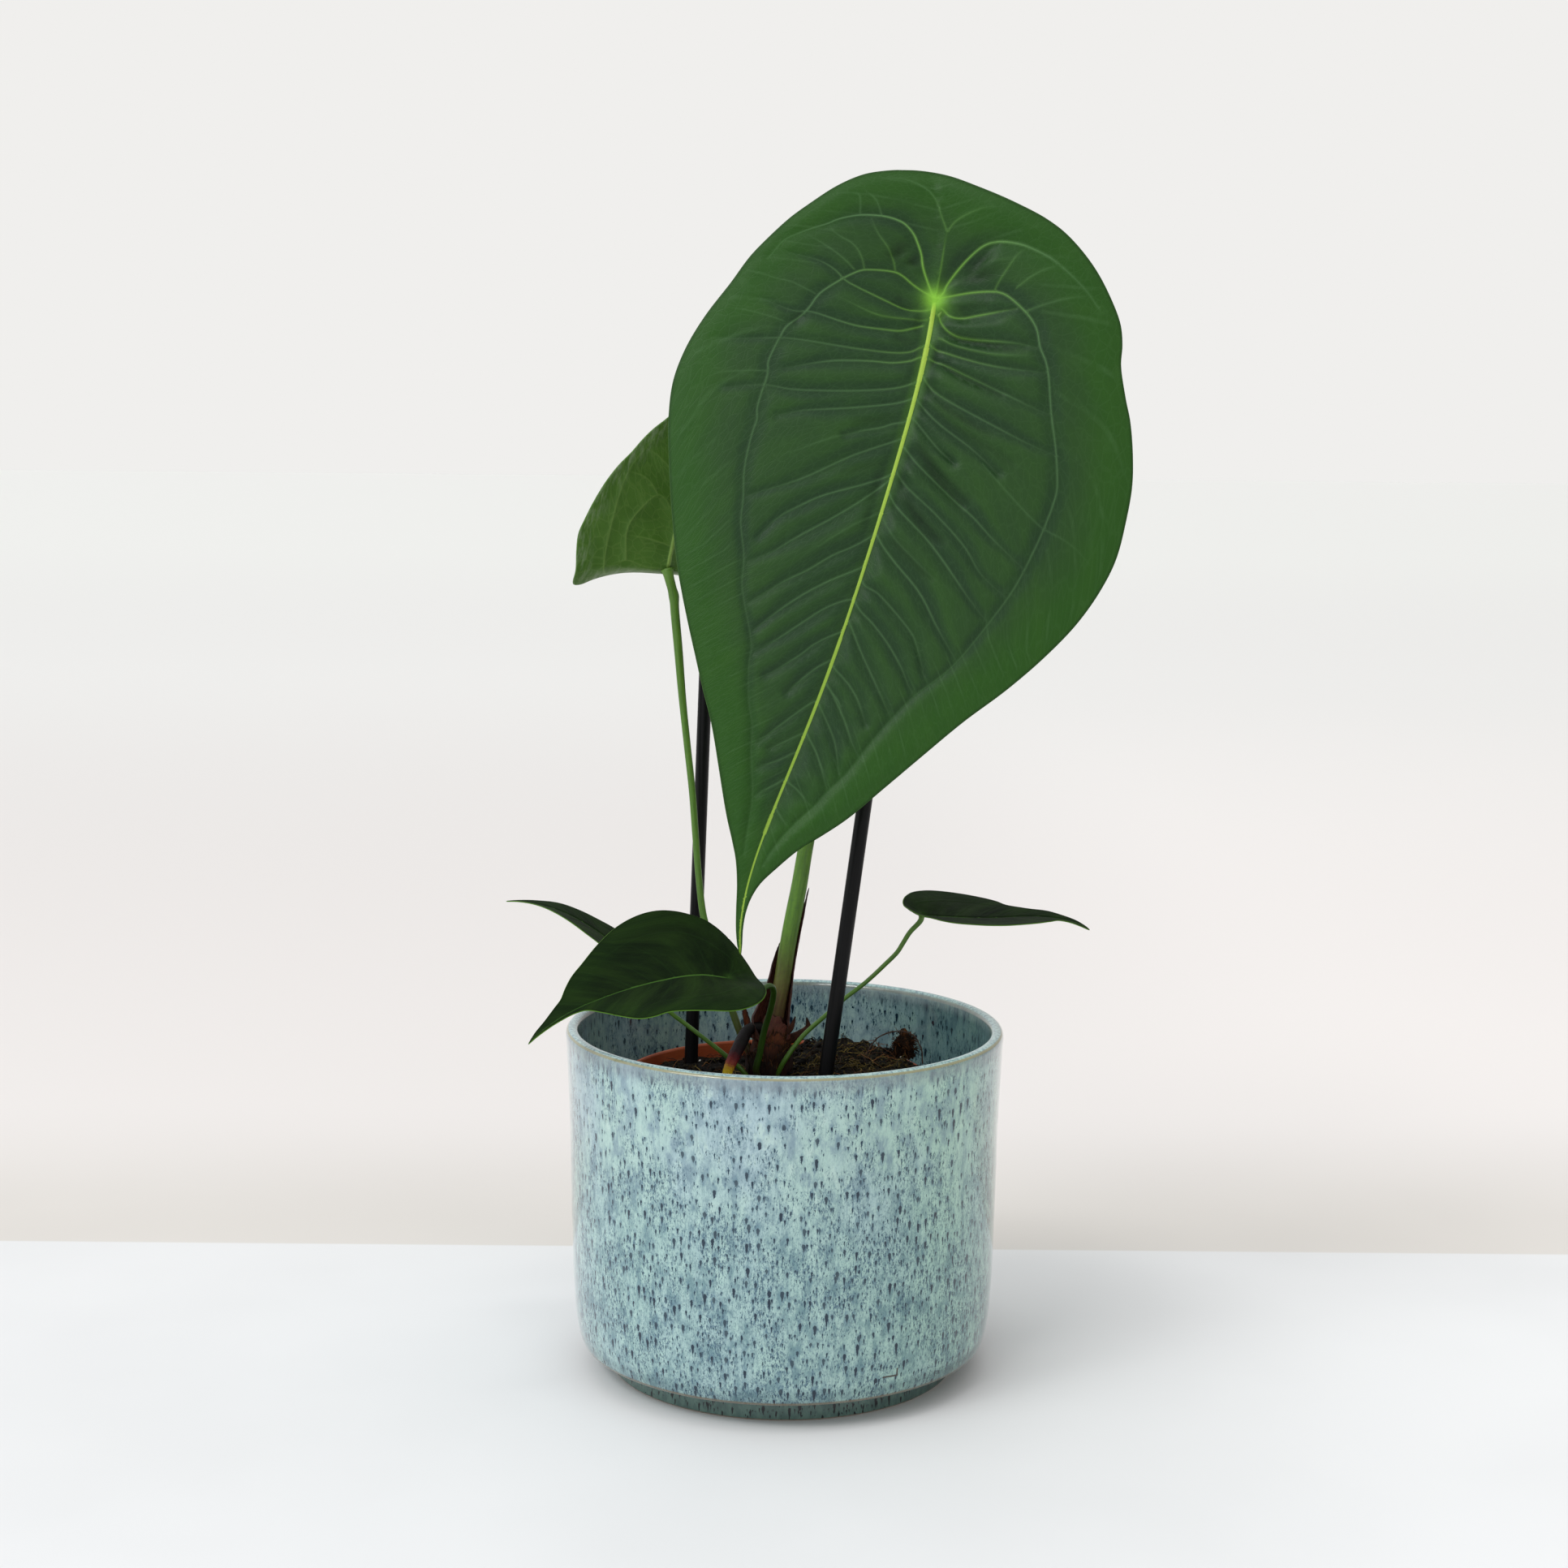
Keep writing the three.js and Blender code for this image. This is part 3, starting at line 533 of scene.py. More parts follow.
LEAF_4 = dict(
    at=[-60.65,16,154.24],
    run=[[-66.321,21.994,71.193],[-47.255,-17.04,-39.751],[17.69,55.077,-13.728],[4.232,-60.376,-28.184]],
    up=[0.506,-0.051,0.861], twist=[0,0,0],
    fold=[6,6], droop=[0.1,0.1], soft=2.5, dip=[1,8], cup=[0,0,30],
    edge=[
        (58.2, 0), (52.2, 2.4), (45.7, 5.4), (41.5, 8.2), (37.5, 9.9), (31.1, 11.1), (23.2, 12.6), (15.8, 15.2), (8, 17.2),
        (0, 17.6), (-6, 15), (-10, 9.5), (-12, 2), (-11.4, -5), (-8, -11.5), (-2, -15.3), (5, -16.8), (12.7, -17),
        (19, -17.3), (26.5, -14.7), (34.9, -10.4), (42.3, -6.1), (50.9, -2.5),
    ],
)
LEAF_5 = dict(
    at=[53.77,14,176.27],
    run=[[95.477,-8.007,-24.507],[35.875,-77.981,89.804],[-176.115,264.53,-75.772],[363.311,-346.821,15.964],[-261.409,152.797,-73.357]],
    up=[0,-0.06,0.998], twist=[0,0,0],
    fold=[7,7], droop=[0.1,0.12], soft=2.5, dip=[1.2,8], cup=[0,0,30],
    edge=[
        (66.3, 0), (61.7, -2.2), (54.9, -4.2), (48.4, -7.2), (42.5, -8.9), (37, -11.7), (32.3, -14.8), (27.9, -20), (21.3, -25),
        (13.7, -28.4), (6.6, -29), (1, -26.9), (-3.5, -21.5), (-6.2, -14), (-7.8, -6.5), (-8.2, -2), (-8, 3), (-5.5, 8),
        (-1, 9.5), (2.7, 9.5), (8.4, 12.8), (14, 15.2), (20.9, 17.2), (27.8, 19.8), (34.5, 21.2), (40.7, 20), (45.9, 17),
        (50.5, 11.2), (53.7, 5.5), (58.2, 3.9), (62.3, 3),
    ],
)
PETIOLES = [  # radii along the way, and the path from inside the crown to the blade
    ([3.2, 3.15, 2.7, 2.4, 2.45, 2.6, 2.8],
     [(-4.6, 5, 128), (-3.8, 5, 134.7), (-1.4, 5, 148.7), (1.6, 5, 168.3), (5.2, 5, 187.9), (7.6, 5, 203.2), (13.3, 5.5, 232.3), (21.5, 7, 269.9), (30.5, 8, 305.7), (39.4, 8.5, 341.3), (46.6, 7.5, 372), (51.6, 5, 396.2), (54.1, 1.8, 408.8)]),
    ([1.55, 1.4, 1.35, 1.3, 1.35, 1.4, 1.75, 1.8],
     [(-9, 5.5, 112), (-13.2, 6, 119.8), (-17, 8, 127.3), (-20.7, 10, 136.8), (-24.7, 14, 148.8), (-28.7, 18, 161), (-32.4, 22, 171.6), (-34.6, 26, 187.2), (-36, 29, 203), (-37.5, 32, 220.4), (-39.6, 35, 237.9), (-41.8, 38, 257), (-43.6, 41, 276.2), (-45.1, 44, 290.5), (-45.7, 45, 297), (-47.6, 45.6, 304.5)]),
    ([1.3, 1.25, 1.15, 1.1, 1.1, 1.15],
     [(-9.5, -1, 111), (-11, -4, 116.6), (-9.7, -4.5, 122.7), (-8, -6, 132.1), (-5.8, -9, 140.5), (-4.4, -14, 148.6), (-4.8, -18, 152.2), (-6.3, -21, 153.4), (-8.8, -25, 153.2), (-12.9, -30, 154.2), (-17.2, -34, 156.9), (-19.8, -35.6, 159.2)]),
    ([1, 0.9, 0.85, 0.85, 0.9, 1],
     [(-13, -1.5, 111), (-16.6, -2, 115.9), (-19.4, -1, 118.2), (-21.8, 0, 120.1), (-27.5, 3, 124), (-33.3, 6, 127.7), (-38.8, 9, 131.2), (-44.5, 11, 135), (-50.9, 13, 140.6), (-56.1, 15, 146.7), (-59.7, 16, 152.3)]),
    ([1, 0.9, 0.85, 0.85, 0.9, 1],
     [(-3.5, -1.5, 112.5), (-0.2, -4, 119.8), (3.6, -2, 125.1), (7.8, 1, 129.6), (16.5, 5, 136.7), (23.2, 9, 141.9), (31.8, 12, 148.1), (39.1, 13, 154.9), (44, 13.5, 159.9), (46.1, 14, 163.2), (48.8, 14, 167.7), (53.1, 14, 172.7)]),
]

# The big leaf's veins: kind, how strong, and the line (s, t). c gathers the laterals, b and k
# serve the rear lobe, l are laterals, f faint ones, x those outside the gathering veins.
VEINS_1 = [
    ('c', 0.75, [(-1.3,2.5),(-2.5,5.6),(-4.5,9.4),(-6.8,12.8),(-8.1,16.0),(-7.4,27.4),(-6.5,29.7),(-4.8,32.2),(-2.9,34.6),(3.9,41.3),(7.3,43.7),(15.0,46.9),(22.3,52.1),(24.9,53.4),(27.8,54.2),(40.1,56.4),(44.2,55.5),(54.4,55.8),(59.8,55.6),(63.2,54.6),(68.6,54.8),(78.3,54.3),(85.4,53.2),(94.1,50.8),(102.9,49.0),(113.4,44.6),(118.0,43.1),(125.0,41.5),(131.0,38.8),(144.1,31.6),(148.0,30.0),(152.7,29.1),(166.8,24.0),(175.2,19.3),(184.2,16.0),(197.3,10.0),(203.0,8.1),(219.8,4.5)]),
    ('c', 0.75, [(-0.9,-3.0),(-3.5,-13.8),(-4.2,-22.7),(-3.6,-25.6),(-2.3,-28.3),(1.7,-34.3),(4.0,-37.0),(6.9,-39.3),(12.3,-41.6),(16.1,-44.4),(19.4,-46.1),(32.9,-50.9),(45.6,-56.4),(57.0,-60.2),(60.0,-60.5),(71.3,-59.8),(87.4,-57.4),(96.2,-55.5),(107.5,-51.7),(129.7,-42.5),(143.6,-33.1),(152.8,-28.6),(165.1,-23.9),(178.3,-19.9),(187.6,-15.7),(193.3,-13.7),(202.5,-9.4),(209.7,-6.5),(214.9,-4.9),(221.7,-3.4)]),
    ('b', 1.11, [(-2.1,1.5),(-11.1,5.7),(-15.8,6.6),(-20.9,8.4),(-23.6,9.6),(-26.5,11.7),(-28.7,14.2),(-31.2,20.2),(-32.5,29.1),(-32.1,33.9),(-30.9,38.5),(-29.2,41.7),(-26.8,47.9),(-23.1,54.7),(-20.9,57.5),(-18.0,59.6),(-9.0,63.8)]),
    ('b', 1.03, [(-2.0,-2.5),(-5.6,-3.9),(-9.6,-6.4),(-15.0,-10.9),(-19.3,-16.4),(-20.6,-21.0),(-19.9,-29.4),(-17.6,-36.9),(-15.8,-41.4),(-14.4,-44.1),(-7.2,-55.3),(-2.8,-60.5)]),
    ('k', 0.40, [(-2.2,-0.2),(-17.1,-1.6),(-24.1,-2.7)]),
    ('k', 0.40, [(-24.6,-2.9),(-30.6,-0.7),(-35.3,0.4),(-38.9,2.3),(-41.4,4.8),(-43.8,8.2),(-46.1,12.4),(-47.4,16.7)]),
    ('k', 0.40, [(-24.5,-3.2),(-27.1,-5.4),(-29.0,-8.5),(-31.2,-15.6),(-31.6,-20.2)]),
    ('l', 0.61, [(3.7,0.0),(4.9,3.0),(5.7,7.4),(5.8,11.0),(4.7,16.4),(0.2,30.8),(-1.7,34.6),(-5.6,38.5),(-8.9,43.6),(-10.9,49.3),(-12.7,56.7)]),
    ('l', 0.63, [(10.9,3.2),(14.8,10.7),(15.8,16.6),(16.9,27.3),(16.5,33.9),(15.1,45.2),(16.1,51.6),(13.2,64.2)]),
    ('l', 0.50, [(18.1,0.0),(19.3,2.1),(21.8,5.1),(23.7,10.1),(26.0,25.0),(28.3,50.2),(29.5,56.1),(33.7,70.6),(35.6,79.2)]),
    ('l', 0.66, [(22.5,0.0),(23.7,2.3),(25.2,4.2),(27.9,10.8),(29.6,19.6),(33.4,33.6),(41.0,50.3)]),
    ('l', 0.57, [(32.2,0.0),(33.4,1.6),(36.0,5.4),(37.8,9.2),(41.5,19.4),(45.8,34.3),(48.4,45.4),(49.5,55.5),(54.9,70.5)]),
    ('l', 0.61, [(38.5,0.0),(39.7,1.3),(42.2,5.2),(44.5,10.2),(50.2,24.9),(54.8,38.0),(57.3,43.5),(59.8,48.0)]),
    ('l', 0.57, [(46.5,0.0),(47.7,0.4),(48.9,1.8),(50.5,5.2),(53.2,9.3),(56.7,16.5),(59.7,21.4)]),
    ('l', 0.72, [(3.5,-3.7),(5.5,-6.4),(5.8,-10.0),(0.7,-30.9)]),
    ('l', 0.65, [(4.7,0.0),(5.9,-2.3),(7.9,-3.2),(10.6,-5.5),(12.6,-9.9),(13.0,-16.5),(12.1,-33.3),(12.5,-40.3)]),
    ('l', 0.49, [(17.1,0.0),(18.3,-2.0),(19.2,-4.5),(20.5,-12.9),(21.3,-25.6),(20.0,-45.9)]),
    ('l', 0.54, [(21.8,0.0),(23.0,-2.1),(24.2,-8.2),(26.4,-16.4),(32.5,-44.6),(33.3,-51.5)]),
    ('l', 0.51, [(29.0,0.0),(30.2,-1.2),(31.9,-2.6),(34.7,-6.4),(36.8,-11.4),(43.4,-38.3),(45.3,-49.0),(46.3,-57.7)]),
    ('l', 0.47, [(38.4,0.0),(39.6,-1.3),(44.3,-7.9),(47.0,-13.3),(51.9,-25.6),(58.0,-37.8)]),
    ('l', 0.47, [(45.5,0.0),(46.7,-1.7),(55.4,-14.0),(58.6,-20.3)]),
    ('l', 0.60, [(54.3,0.0),(55.5,1.4),(66.3,16.4),(79.8,31.6),(84.8,38.4),(92.3,49.7)]),
    ('l', 0.66, [(68.2,0.0),(69.4,1.2),(74.6,8.2),(84.5,23.4),(91.4,31.0),(94.9,34.5),(97.7,36.7),(100.3,38.3),(106.6,41.3)]),
    ('l', 0.66, [(69.5,0.0),(70.7,0.5),(80.6,7.8),(91.0,16.9),(102.8,28.1),(109.6,34.0),(116.5,42.0)]),
    ('l', 0.61, [(91.3,0.0),(92.5,0.6),(98.9,6.4),(104.0,12.3),(113.1,20.3),(118.9,26.3),(131.2,36.6)]),
    ('l', 0.68, [(102.9,0.0),(104.1,0.1),(114.0,11.1),(121.0,17.8),(125.2,21.2),(132.6,26.5),(141.1,31.8)]),
    ('l', 0.60, [(116.2,0.0),(117.4,0.5),(119.1,3.3),(123.7,8.8),(141.7,22.7),(149.4,29.1)]),
    ('l', 0.53, [(128.9,0.0),(130.1,0.4),(134.0,4.7),(138.9,9.1),(144.0,12.3),(156.0,21.8)]),
    ('l', 0.57, [(140.1,0.0),(141.3,0.5),(146.1,4.7),(155.0,10.0),(159.1,11.9)]),
    ('l', 0.61, [(57.1,0.0),(58.3,-1.8),(62.0,-6.8),(67.0,-15.8),(72.8,-27.0),(75.3,-32.5),(81.0,-42.3),(88.4,-57.2)]),
    ('l', 0.55, [(66.5,0.0),(67.7,-1.3),(71.6,-6.2),(78.6,-19.7),(87.1,-33.6),(94.3,-41.7),(98.1,-49.2),(99.8,-53.4)]),
    ('l', 0.67, [(75.1,0.0),(76.3,-1.1),(79.5,-4.3),(89.1,-20.4),(105.8,-42.6),(109.9,-49.0)]),
    ('l', 0.68, [(91.4,0.0),(92.6,-1.4),(95.0,-3.8),(99.6,-10.0),(106.1,-20.1),(109.5,-24.4),(117.6,-32.5),(126.9,-43.1)]),
    ('l', 0.53, [(109.2,0.0),(110.4,-1.1),(111.4,-2.4),(112.4,-7.0),(114.5,-11.3),(123.2,-24.9),(125.8,-27.2),(136.0,-34.1)]),
    ('l', 0.58, [(117.2,0.0),(118.4,-0.9),(121.2,-4.4),(123.4,-8.7),(128.7,-16.7),(135.7,-24.9),(141.1,-29.8),(143.6,-32.8)]),
    ('l', 0.56, [(125.2,0.0),(126.4,-1.4),(134.4,-8.2),(153.9,-27.5)]),
    ('l', 0.55, [(142.7,0.0),(143.9,-1.4),(147.8,-8.5),(150.3,-11.8),(152.3,-14.0),(159.5,-19.9)]),
    ('l', 0.56, [(149.6,0.0),(150.8,-1.0),(155.5,-7.7),(159.1,-10.3)]),
    ('l', 0.54, [(157.6,0.0),(158.8,1.7),(179.7,15.0)]),
    ('l', 0.47, [(170.2,0.0),(171.4,1.4),(181.0,10.4)]),
    ('l', 0.49, [(177.8,0.0),(179.0,1.4),(183.3,5.3),(188.6,11.7)]),
    ('l', 0.57, [(188.1,0.0),(189.3,0.8),(198.2,8.3)]),
    ('l', 0.56, [(149.6,0.0),(150.8,-1.3),(154.2,-5.3),(161.1,-12.2),(167.5,-17.7),(171.3,-22.0)]),
    ('l', 0.47, [(157.7,0.0),(158.9,-1.2),(165.9,-8.4),(170.0,-11.9),(179.8,-17.4)]),
    ('l', 0.57, [(169.6,0.0),(170.8,-1.2),(175.9,-7.0),(186.2,-15.3)]),
    ('l', 0.54, [(188.3,0.0),(189.5,-1.3),(190.7,-5.0),(194.2,-11.6)]),
    ('l', 0.50, [(199.3,0.0),(200.5,-1.0),(204.5,-6.4)]),
    ('f', 0.30, [(7.5,0.0),(8.7,2.9),(10.9,17.0),(10.7,21.9),(10.1,24.8),(6.3,36.7)]),
    ('f', 0.30, [(53.2,0.0),(54.4,0.5),(56.8,3.0),(59.4,6.9)]),
    ('f', 0.30, [(6.7,44.9),(2.8,54.7),(1.9,60.6),(0.1,66.7)]),
    ('f', 0.30, [(21.5,54.8),(20.6,61.2),(20.1,69.1),(20.6,76.7)]),
    ('f', 0.30, [(15.1,-4.5),(16.7,-8.7),(17.5,-15.3),(17.7,-22.5),(17.4,-27.9),(15.3,-40.1)]),
    ('f', 0.30, [(43.8,55.8),(45.2,61.4),(49.9,75.5)]),
    ('f', 0.30, [(54.9,12.4),(57.1,17.0),(63.3,27.3),(70.2,36.4),(73.6,41.8)]),
    ('f', 0.30, [(81.5,0.0),(82.7,0.1),(92.4,9.9),(109.0,23.8)]),
    ('f', 0.30, [(83.0,0.0),(84.2,-0.3),(90.6,-6.4),(97.4,-17.9),(103.0,-29.0)]),
    ('f', 0.30, [(56.3,-31.1),(58.2,-33.9),(71.5,-57.5),(73.9,-68.0),(75.4,-72.5),(76.9,-75.7),(79.6,-80.1)]),
    ('x', 0.35, [(-8.8,16.2),(-12.0,17.0),(-16.4,18.8),(-24.7,23.8),(-30.9,25.5)]),
    ('x', 0.35, [(-7.7,27.8),(-10.4,28.5),(-15.8,30.7),(-19.1,33.3),(-21.9,37.2),(-23.6,38.9),(-25.6,40.3),(-28.7,41.3)]),
    ('x', 0.35, [(-7.0,31.6),(-12.4,37.1),(-22.9,49.4)]),
    ('x', 0.35, [(-31.8,21.4),(-39.4,23.5),(-43.7,26.7)]),
    ('x', 0.35, [(-33.0,29.5),(-42.3,29.1),(-42.9,29.9),(-44.3,33.0)]),
    ('x', 0.35, [(-4.7,-21.7),(-7.2,-23.0),(-14.3,-27.7),(-17.0,-30.0),(-18.5,-32.9)]),
    ('x', 0.35, [(-5.9,-30.0),(-9.8,-35.2),(-12.3,-40.2),(-13.7,-45.2)]),
    ('x', 0.35, [(1.1,-34.5),(-1.2,-40.5),(-3.7,-48.0),(-5.5,-56.6)]),
]


# ---------------------------------------------------------------- leaves
class Leaf:
    """A blade laid out from the petiole: s along the midrib to the tip, t across."""

    def __init__(self, at, run, up, twist, fold, droop, soft, dip, cup, edge):
        self.at, self.run = np.array(at, float), np.array(run, float)
        self.up, self.twist = np.array(up, float), np.array(twist, float)
        self.fold, self.droop, self.soft, self.dip, self.cup = fold, droop, soft, dip, cup
        self.edge = np.array(edge, float)
        self.outline_dense = centripetal(self.edge, 16, closed=True)

    def point(self, s, t):
        s, t = np.asarray(s, float), np.asarray(t, float)
        u = s / 100
        p = np.repeat(self.at[None], len(s), 0)
        d = np.zeros_like(p)
        for k, c in enumerate(self.run):
            p = p + c * (u ** (k + 1))[:, None]
            d = d + c * ((k + 1) * u**k)[:, None]
        d /= np.linalg.norm(d, axis=1)[:, None]
        up = self.up + self.twist * u[:, None]
        up = up - d * (up * d).sum(1)[:, None]
        up /= np.linalg.norm(up, axis=1)[:, None]
        across = np.cross(d, up)
        a = np.sqrt(t * t + self.soft**2) - self.soft
        fold = np.radians(np.where(t >= 0, self.fold[1], self.fold[0]))
        droop = np.where(t >= 0, self.droop[1], self.droop[0])
        lift = a * np.sin(fold) - droop * t * t / 100
        lift = lift - self.dip[0] * np.exp(-(s * s + t * t) / self.dip[1] ** 2)
        lift = lift + np.where(s < 0, self.cup[0] * (np.sqrt(s * s + 25) - 5) * np.exp(-(((t - self.cup[1]) / self.cup[2]) ** 2)), 0)
        wide = t - np.sign(t) * a * (1 - np.cos(fold))
        return p + across * wide[:, None] + up * lift[:, None]

    def normal(self, s, t):
        e = 0.25
        s, t = np.asarray(s, float), np.asarray(t, float)
        n = np.cross(self.point(s, t + e) - self.point(s, t - e), self.point(s + e, t) - self.point(s - e, t))
        return n / np.linalg.norm(n, axis=1)[:, None]

    def width(self, s, side):
        """How far the margin lies from the midrib at s, on one side."""
        o = self.outline_dense[self.outline_dense[:, 1] * side >= 0]
        s = np.atleast_1d(s)
        return np.array([np.abs(o[np.abs(o[:, 0] - x) < 1.6][:, 1]).max(initial=0.5) for x in s])


def to_line(points, line):
    """Distance of points (n, 2) to a line (m, 2), and the nearest segment's index."""
    best = np.full(len(points), 1e9)
    at = np.zeros(len(points), int)
    lo, hi = line.min(0) - 8, line.max(0) + 8
    near = np.where(((points > lo) & (points < hi)).all(1))[0]
    p = points[near]
    b = np.full(len(near), 1e9)
    w = np.zeros(len(near), int)
    for i in range(len(line) - 1):
        a, d = line[i], line[i + 1] - line[i]
        f = np.clip(((p - a) @ d) / max(d @ d, 1e-12), 0, 1)
        q = np.linalg.norm(p - a - f[:, None] * d, axis=1)
        m = q < b
        b[m] = q[m]
        w[m] = i
    best[near], at[near] = b, w
    return best, at


def auto_veins(leaf, per_side=8, seed=3):
    """A small leaf's veins, on the pattern of the big one: two arches that gather the
    laterals on each side, another pair round the rear lobe, and a short one straight back."""
    rng = np.random.default_rng(seed)
    tip = leaf.edge[:, 0].max()
    back = -leaf.edge[:, 0].min()
    veins = [("k", 0.4, [(-0.3, 0), (-0.45 * back, 0.4), (-0.75 * back, 1.2)])]
    for side in (1, -1):
        ss = np.array([-0.05, 0.02, 0.1, 0.2, 0.32, 0.45, 0.58, 0.7, 0.82, 0.92]) * tip
        ww = leaf.width(ss, side) * np.array([0.3, 0.46, 0.58, 0.64, 0.66, 0.66, 0.64, 0.6, 0.56, 0.5])
        arch = [(-0.2, 0.5 * side)] + [(a, b * side) for a, b in zip(ss, ww)]
        veins.append(("c", 0.7, arch))
        bs = np.array([-0.3, -0.62, -0.78, -0.55, -0.2]) * back
        bw = leaf.width(np.maximum(bs, -0.9 * back), side) * np.array([0.12, 0.2, 0.5, 0.72, 0.84])
        veins.append(("b", 0.85, [(-0.2, 0.4 * side)] + [(a, b * side) for a, b in zip(bs, bw)] + [(0.08 * tip, 0.86 * leaf.width(0.08 * tip, side)[0] * side)]))
        for i in range(per_side):
            f = (i + 0.35 + 0.25 * rng.random()) / per_side
            s0 = tip * (0.03 + 0.72 * f**1.08)
            slope = 0.12 + 1.05 * f
            w = np.interp(s0, ss, ww)
            line = []
            for g in np.linspace(0, 1, 6):
                t = w * g * (0.99 - 0.1 * f)
                line.append((s0 + slope * t * (0.75 + 0.35 * g) + 0.5 * math.sin(5 * g + i), side * t))
            veins.append(("l", 0.5 + 0.2 * rng.random(), line))
    return veins


def build_leaf(name, leaf, veins, rib_width, spacing, edge_step, quilt, materials, creases=(), hollows=(), half=0.3, fine=1.0, wave=0.35, seed=1):
    """A blade's mesh: its points follow the margin, the midrib and every vein, so that each
    stands out as a real ridge or groove, on both faces."""
    outline, _ = spaced(leaf.outline_dense, edge_step, closed=True)
    area2 = np.sum(outline[:, 0] * np.roll(outline[:, 1], -1) - np.roll(outline[:, 0], -1) * outline[:, 1])
    if area2 < 0:
        outline = outline[::-1]
    ring = np.vstack([outline, outline[:1]])
    tangent = np.roll(outline, -1, 0) - np.roll(outline, 1, 0)
    tangent /= np.linalg.norm(tangent, axis=1)[:, None]
    inward = np.stack([-tangent[:, 1], tangent[:, 0]], 1)

    lines = []
    for kind, strength, pts in veins:
        pts = np.array(pts, float)
        if kind in "cbk" and np.hypot(*pts[0]) < 6:
            pts = np.vstack([[pts[0] * 0.12], pts])
        dense = centripetal(pts, 10) if len(pts) > 2 else pts
        line, x = spaced(dense, 1.0 if spacing > 1.3 else 0.8)
        f = x / x[-1]
        if kind == "c":
            fade = lerp(1.15, 0.3, smooth((f - 0.1) / 0.75))
        elif kind == "b":
            fade = lerp(1.1, 0.35, smooth((f - 0.35) / 0.6))
        else:
            fade = lerp(1.0, 0.25, smooth((f - 0.55) / 0.45))
        lines.append((kind, strength * fade, line))

    seen = []
    taken = set()
    grid = 0.3 * fine

    def keep(points, room=0.0):
        for q in points:
            key = (int(math.floor(q[0] / grid)), int(math.floor(q[1] / grid)))
            if key in taken:
                continue
            taken.add(key)
            seen.append((q[0], q[1]))

    n_edge = len(outline)
    keep([])
    for q in outline:
        taken.add((int(math.floor(q[0] / grid)), int(math.floor(q[1] / grid))))
        seen.append((q[0], q[1]))

    def inside(points, margin):
        d, _ = to_line(points, ring)
        # even-odd test against the ring
        x, y = points[:, 0], points[:, 1]
        odd = np.zeros(len(points), bool)
        for (x1, y1), (x2, y2) in zip(ring[:-1], ring[1:]):
            if y1 == y2:
                continue
            hit = ((y1 > y) != (y2 > y)) & (x < (x2 - x1) * (y - y1) / (y2 - y1) + x1)
            odd ^= hit
        far = d >= 1e8
        return odd & (far | (d > margin))

    for off in (0.25, 0.62, 1.25, 2.2):
        row = outline + inward * off
        keep(row[inside(row, off * 0.86)])
    tip, back = outline[:, 0].max(), outline[:, 0].min()

    def rib(s):
        return np.where(s >= 0, lerp(rib_width, rib_width * 0.34, np.clip(s / tip, 0, 1) ** 0.8), rib_width * np.clip(1 + s / 5, 0.05, 1))

    ss = np.arange(-4, tip - 1.5, 0.9 if spacing > 1.3 else 0.7)
    for k in (0, 0.35, -0.35, 0.7, -0.7, 1.0, -1.0, 1.35, -1.35, 2.0, -2.0):
        row = np.stack([ss, rib(ss) * k], 1)
        keep(row[inside(row, 0.5)])
    for kind, strength, line in lines:
        d = np.gradient(line, axis=0)
        d /= np.linalg.norm(d, axis=1)[:, None] + 1e-9
        across = np.stack([-d[:, 1], d[:, 0]], 1)
        for off in (0, 0.38, -0.38, 0.85, -0.85):
            row = line + across * off * fine
            row = row[np.abs(row[:, 1]) > rib(row[:, 0]) * 1.2] if off else row
            keep(row[inside(row, 0.5)])
    from mathutils import kdtree
    tree = kdtree.KDTree(len(seen))
    for i, (a, b) in enumerate(seen):
        tree.insert((a, b, 0), i)
    tree.balance()
    gx = np.arange(back, tip, spacing)
    gy = np.arange(outline[:, 1].min(), outline[:, 1].max(), spacing * 0.866)
    X, Y = np.meshgrid(gx, gy, indexing="ij")
    X = X + (np.arange(len(gy)) % 2)[None] * spacing / 2
    fill = np.stack([X.ravel(), Y.ravel()], 1)
    fill = fill[inside(fill, spacing * 0.6)]
    for q in fill:
        if tree.find((q[0], q[1], 0))[2] > spacing * 0.58:
            seen.append((q[0], q[1]))
    verts2, _, faces, *_ = plane_geometry.delaunay_2d_cdt(
        [(float(a), float(b)) for a, b in seen], [], [list(range(n_edge))], 1, 1e-6, True)
    st = np.array([(v.x, v.y) for v in verts2])
    tri = np.array([f for f in faces if len(f) == 3], int)
    tri = tri[inside(st[tri].mean(1), 0.0)]
    e = np.sort(np.concatenate([tri[:, [0, 1]], tri[:, [1, 2]], tri[:, [2, 0]]]), 1)
    uniq, count = np.unique(e, axis=0, return_counts=True)
    border = np.zeros(len(st), bool)
    border[uniq[count == 1].ravel()] = True
    used = np.zeros(len(st), bool)
    used[tri.ravel()] = True

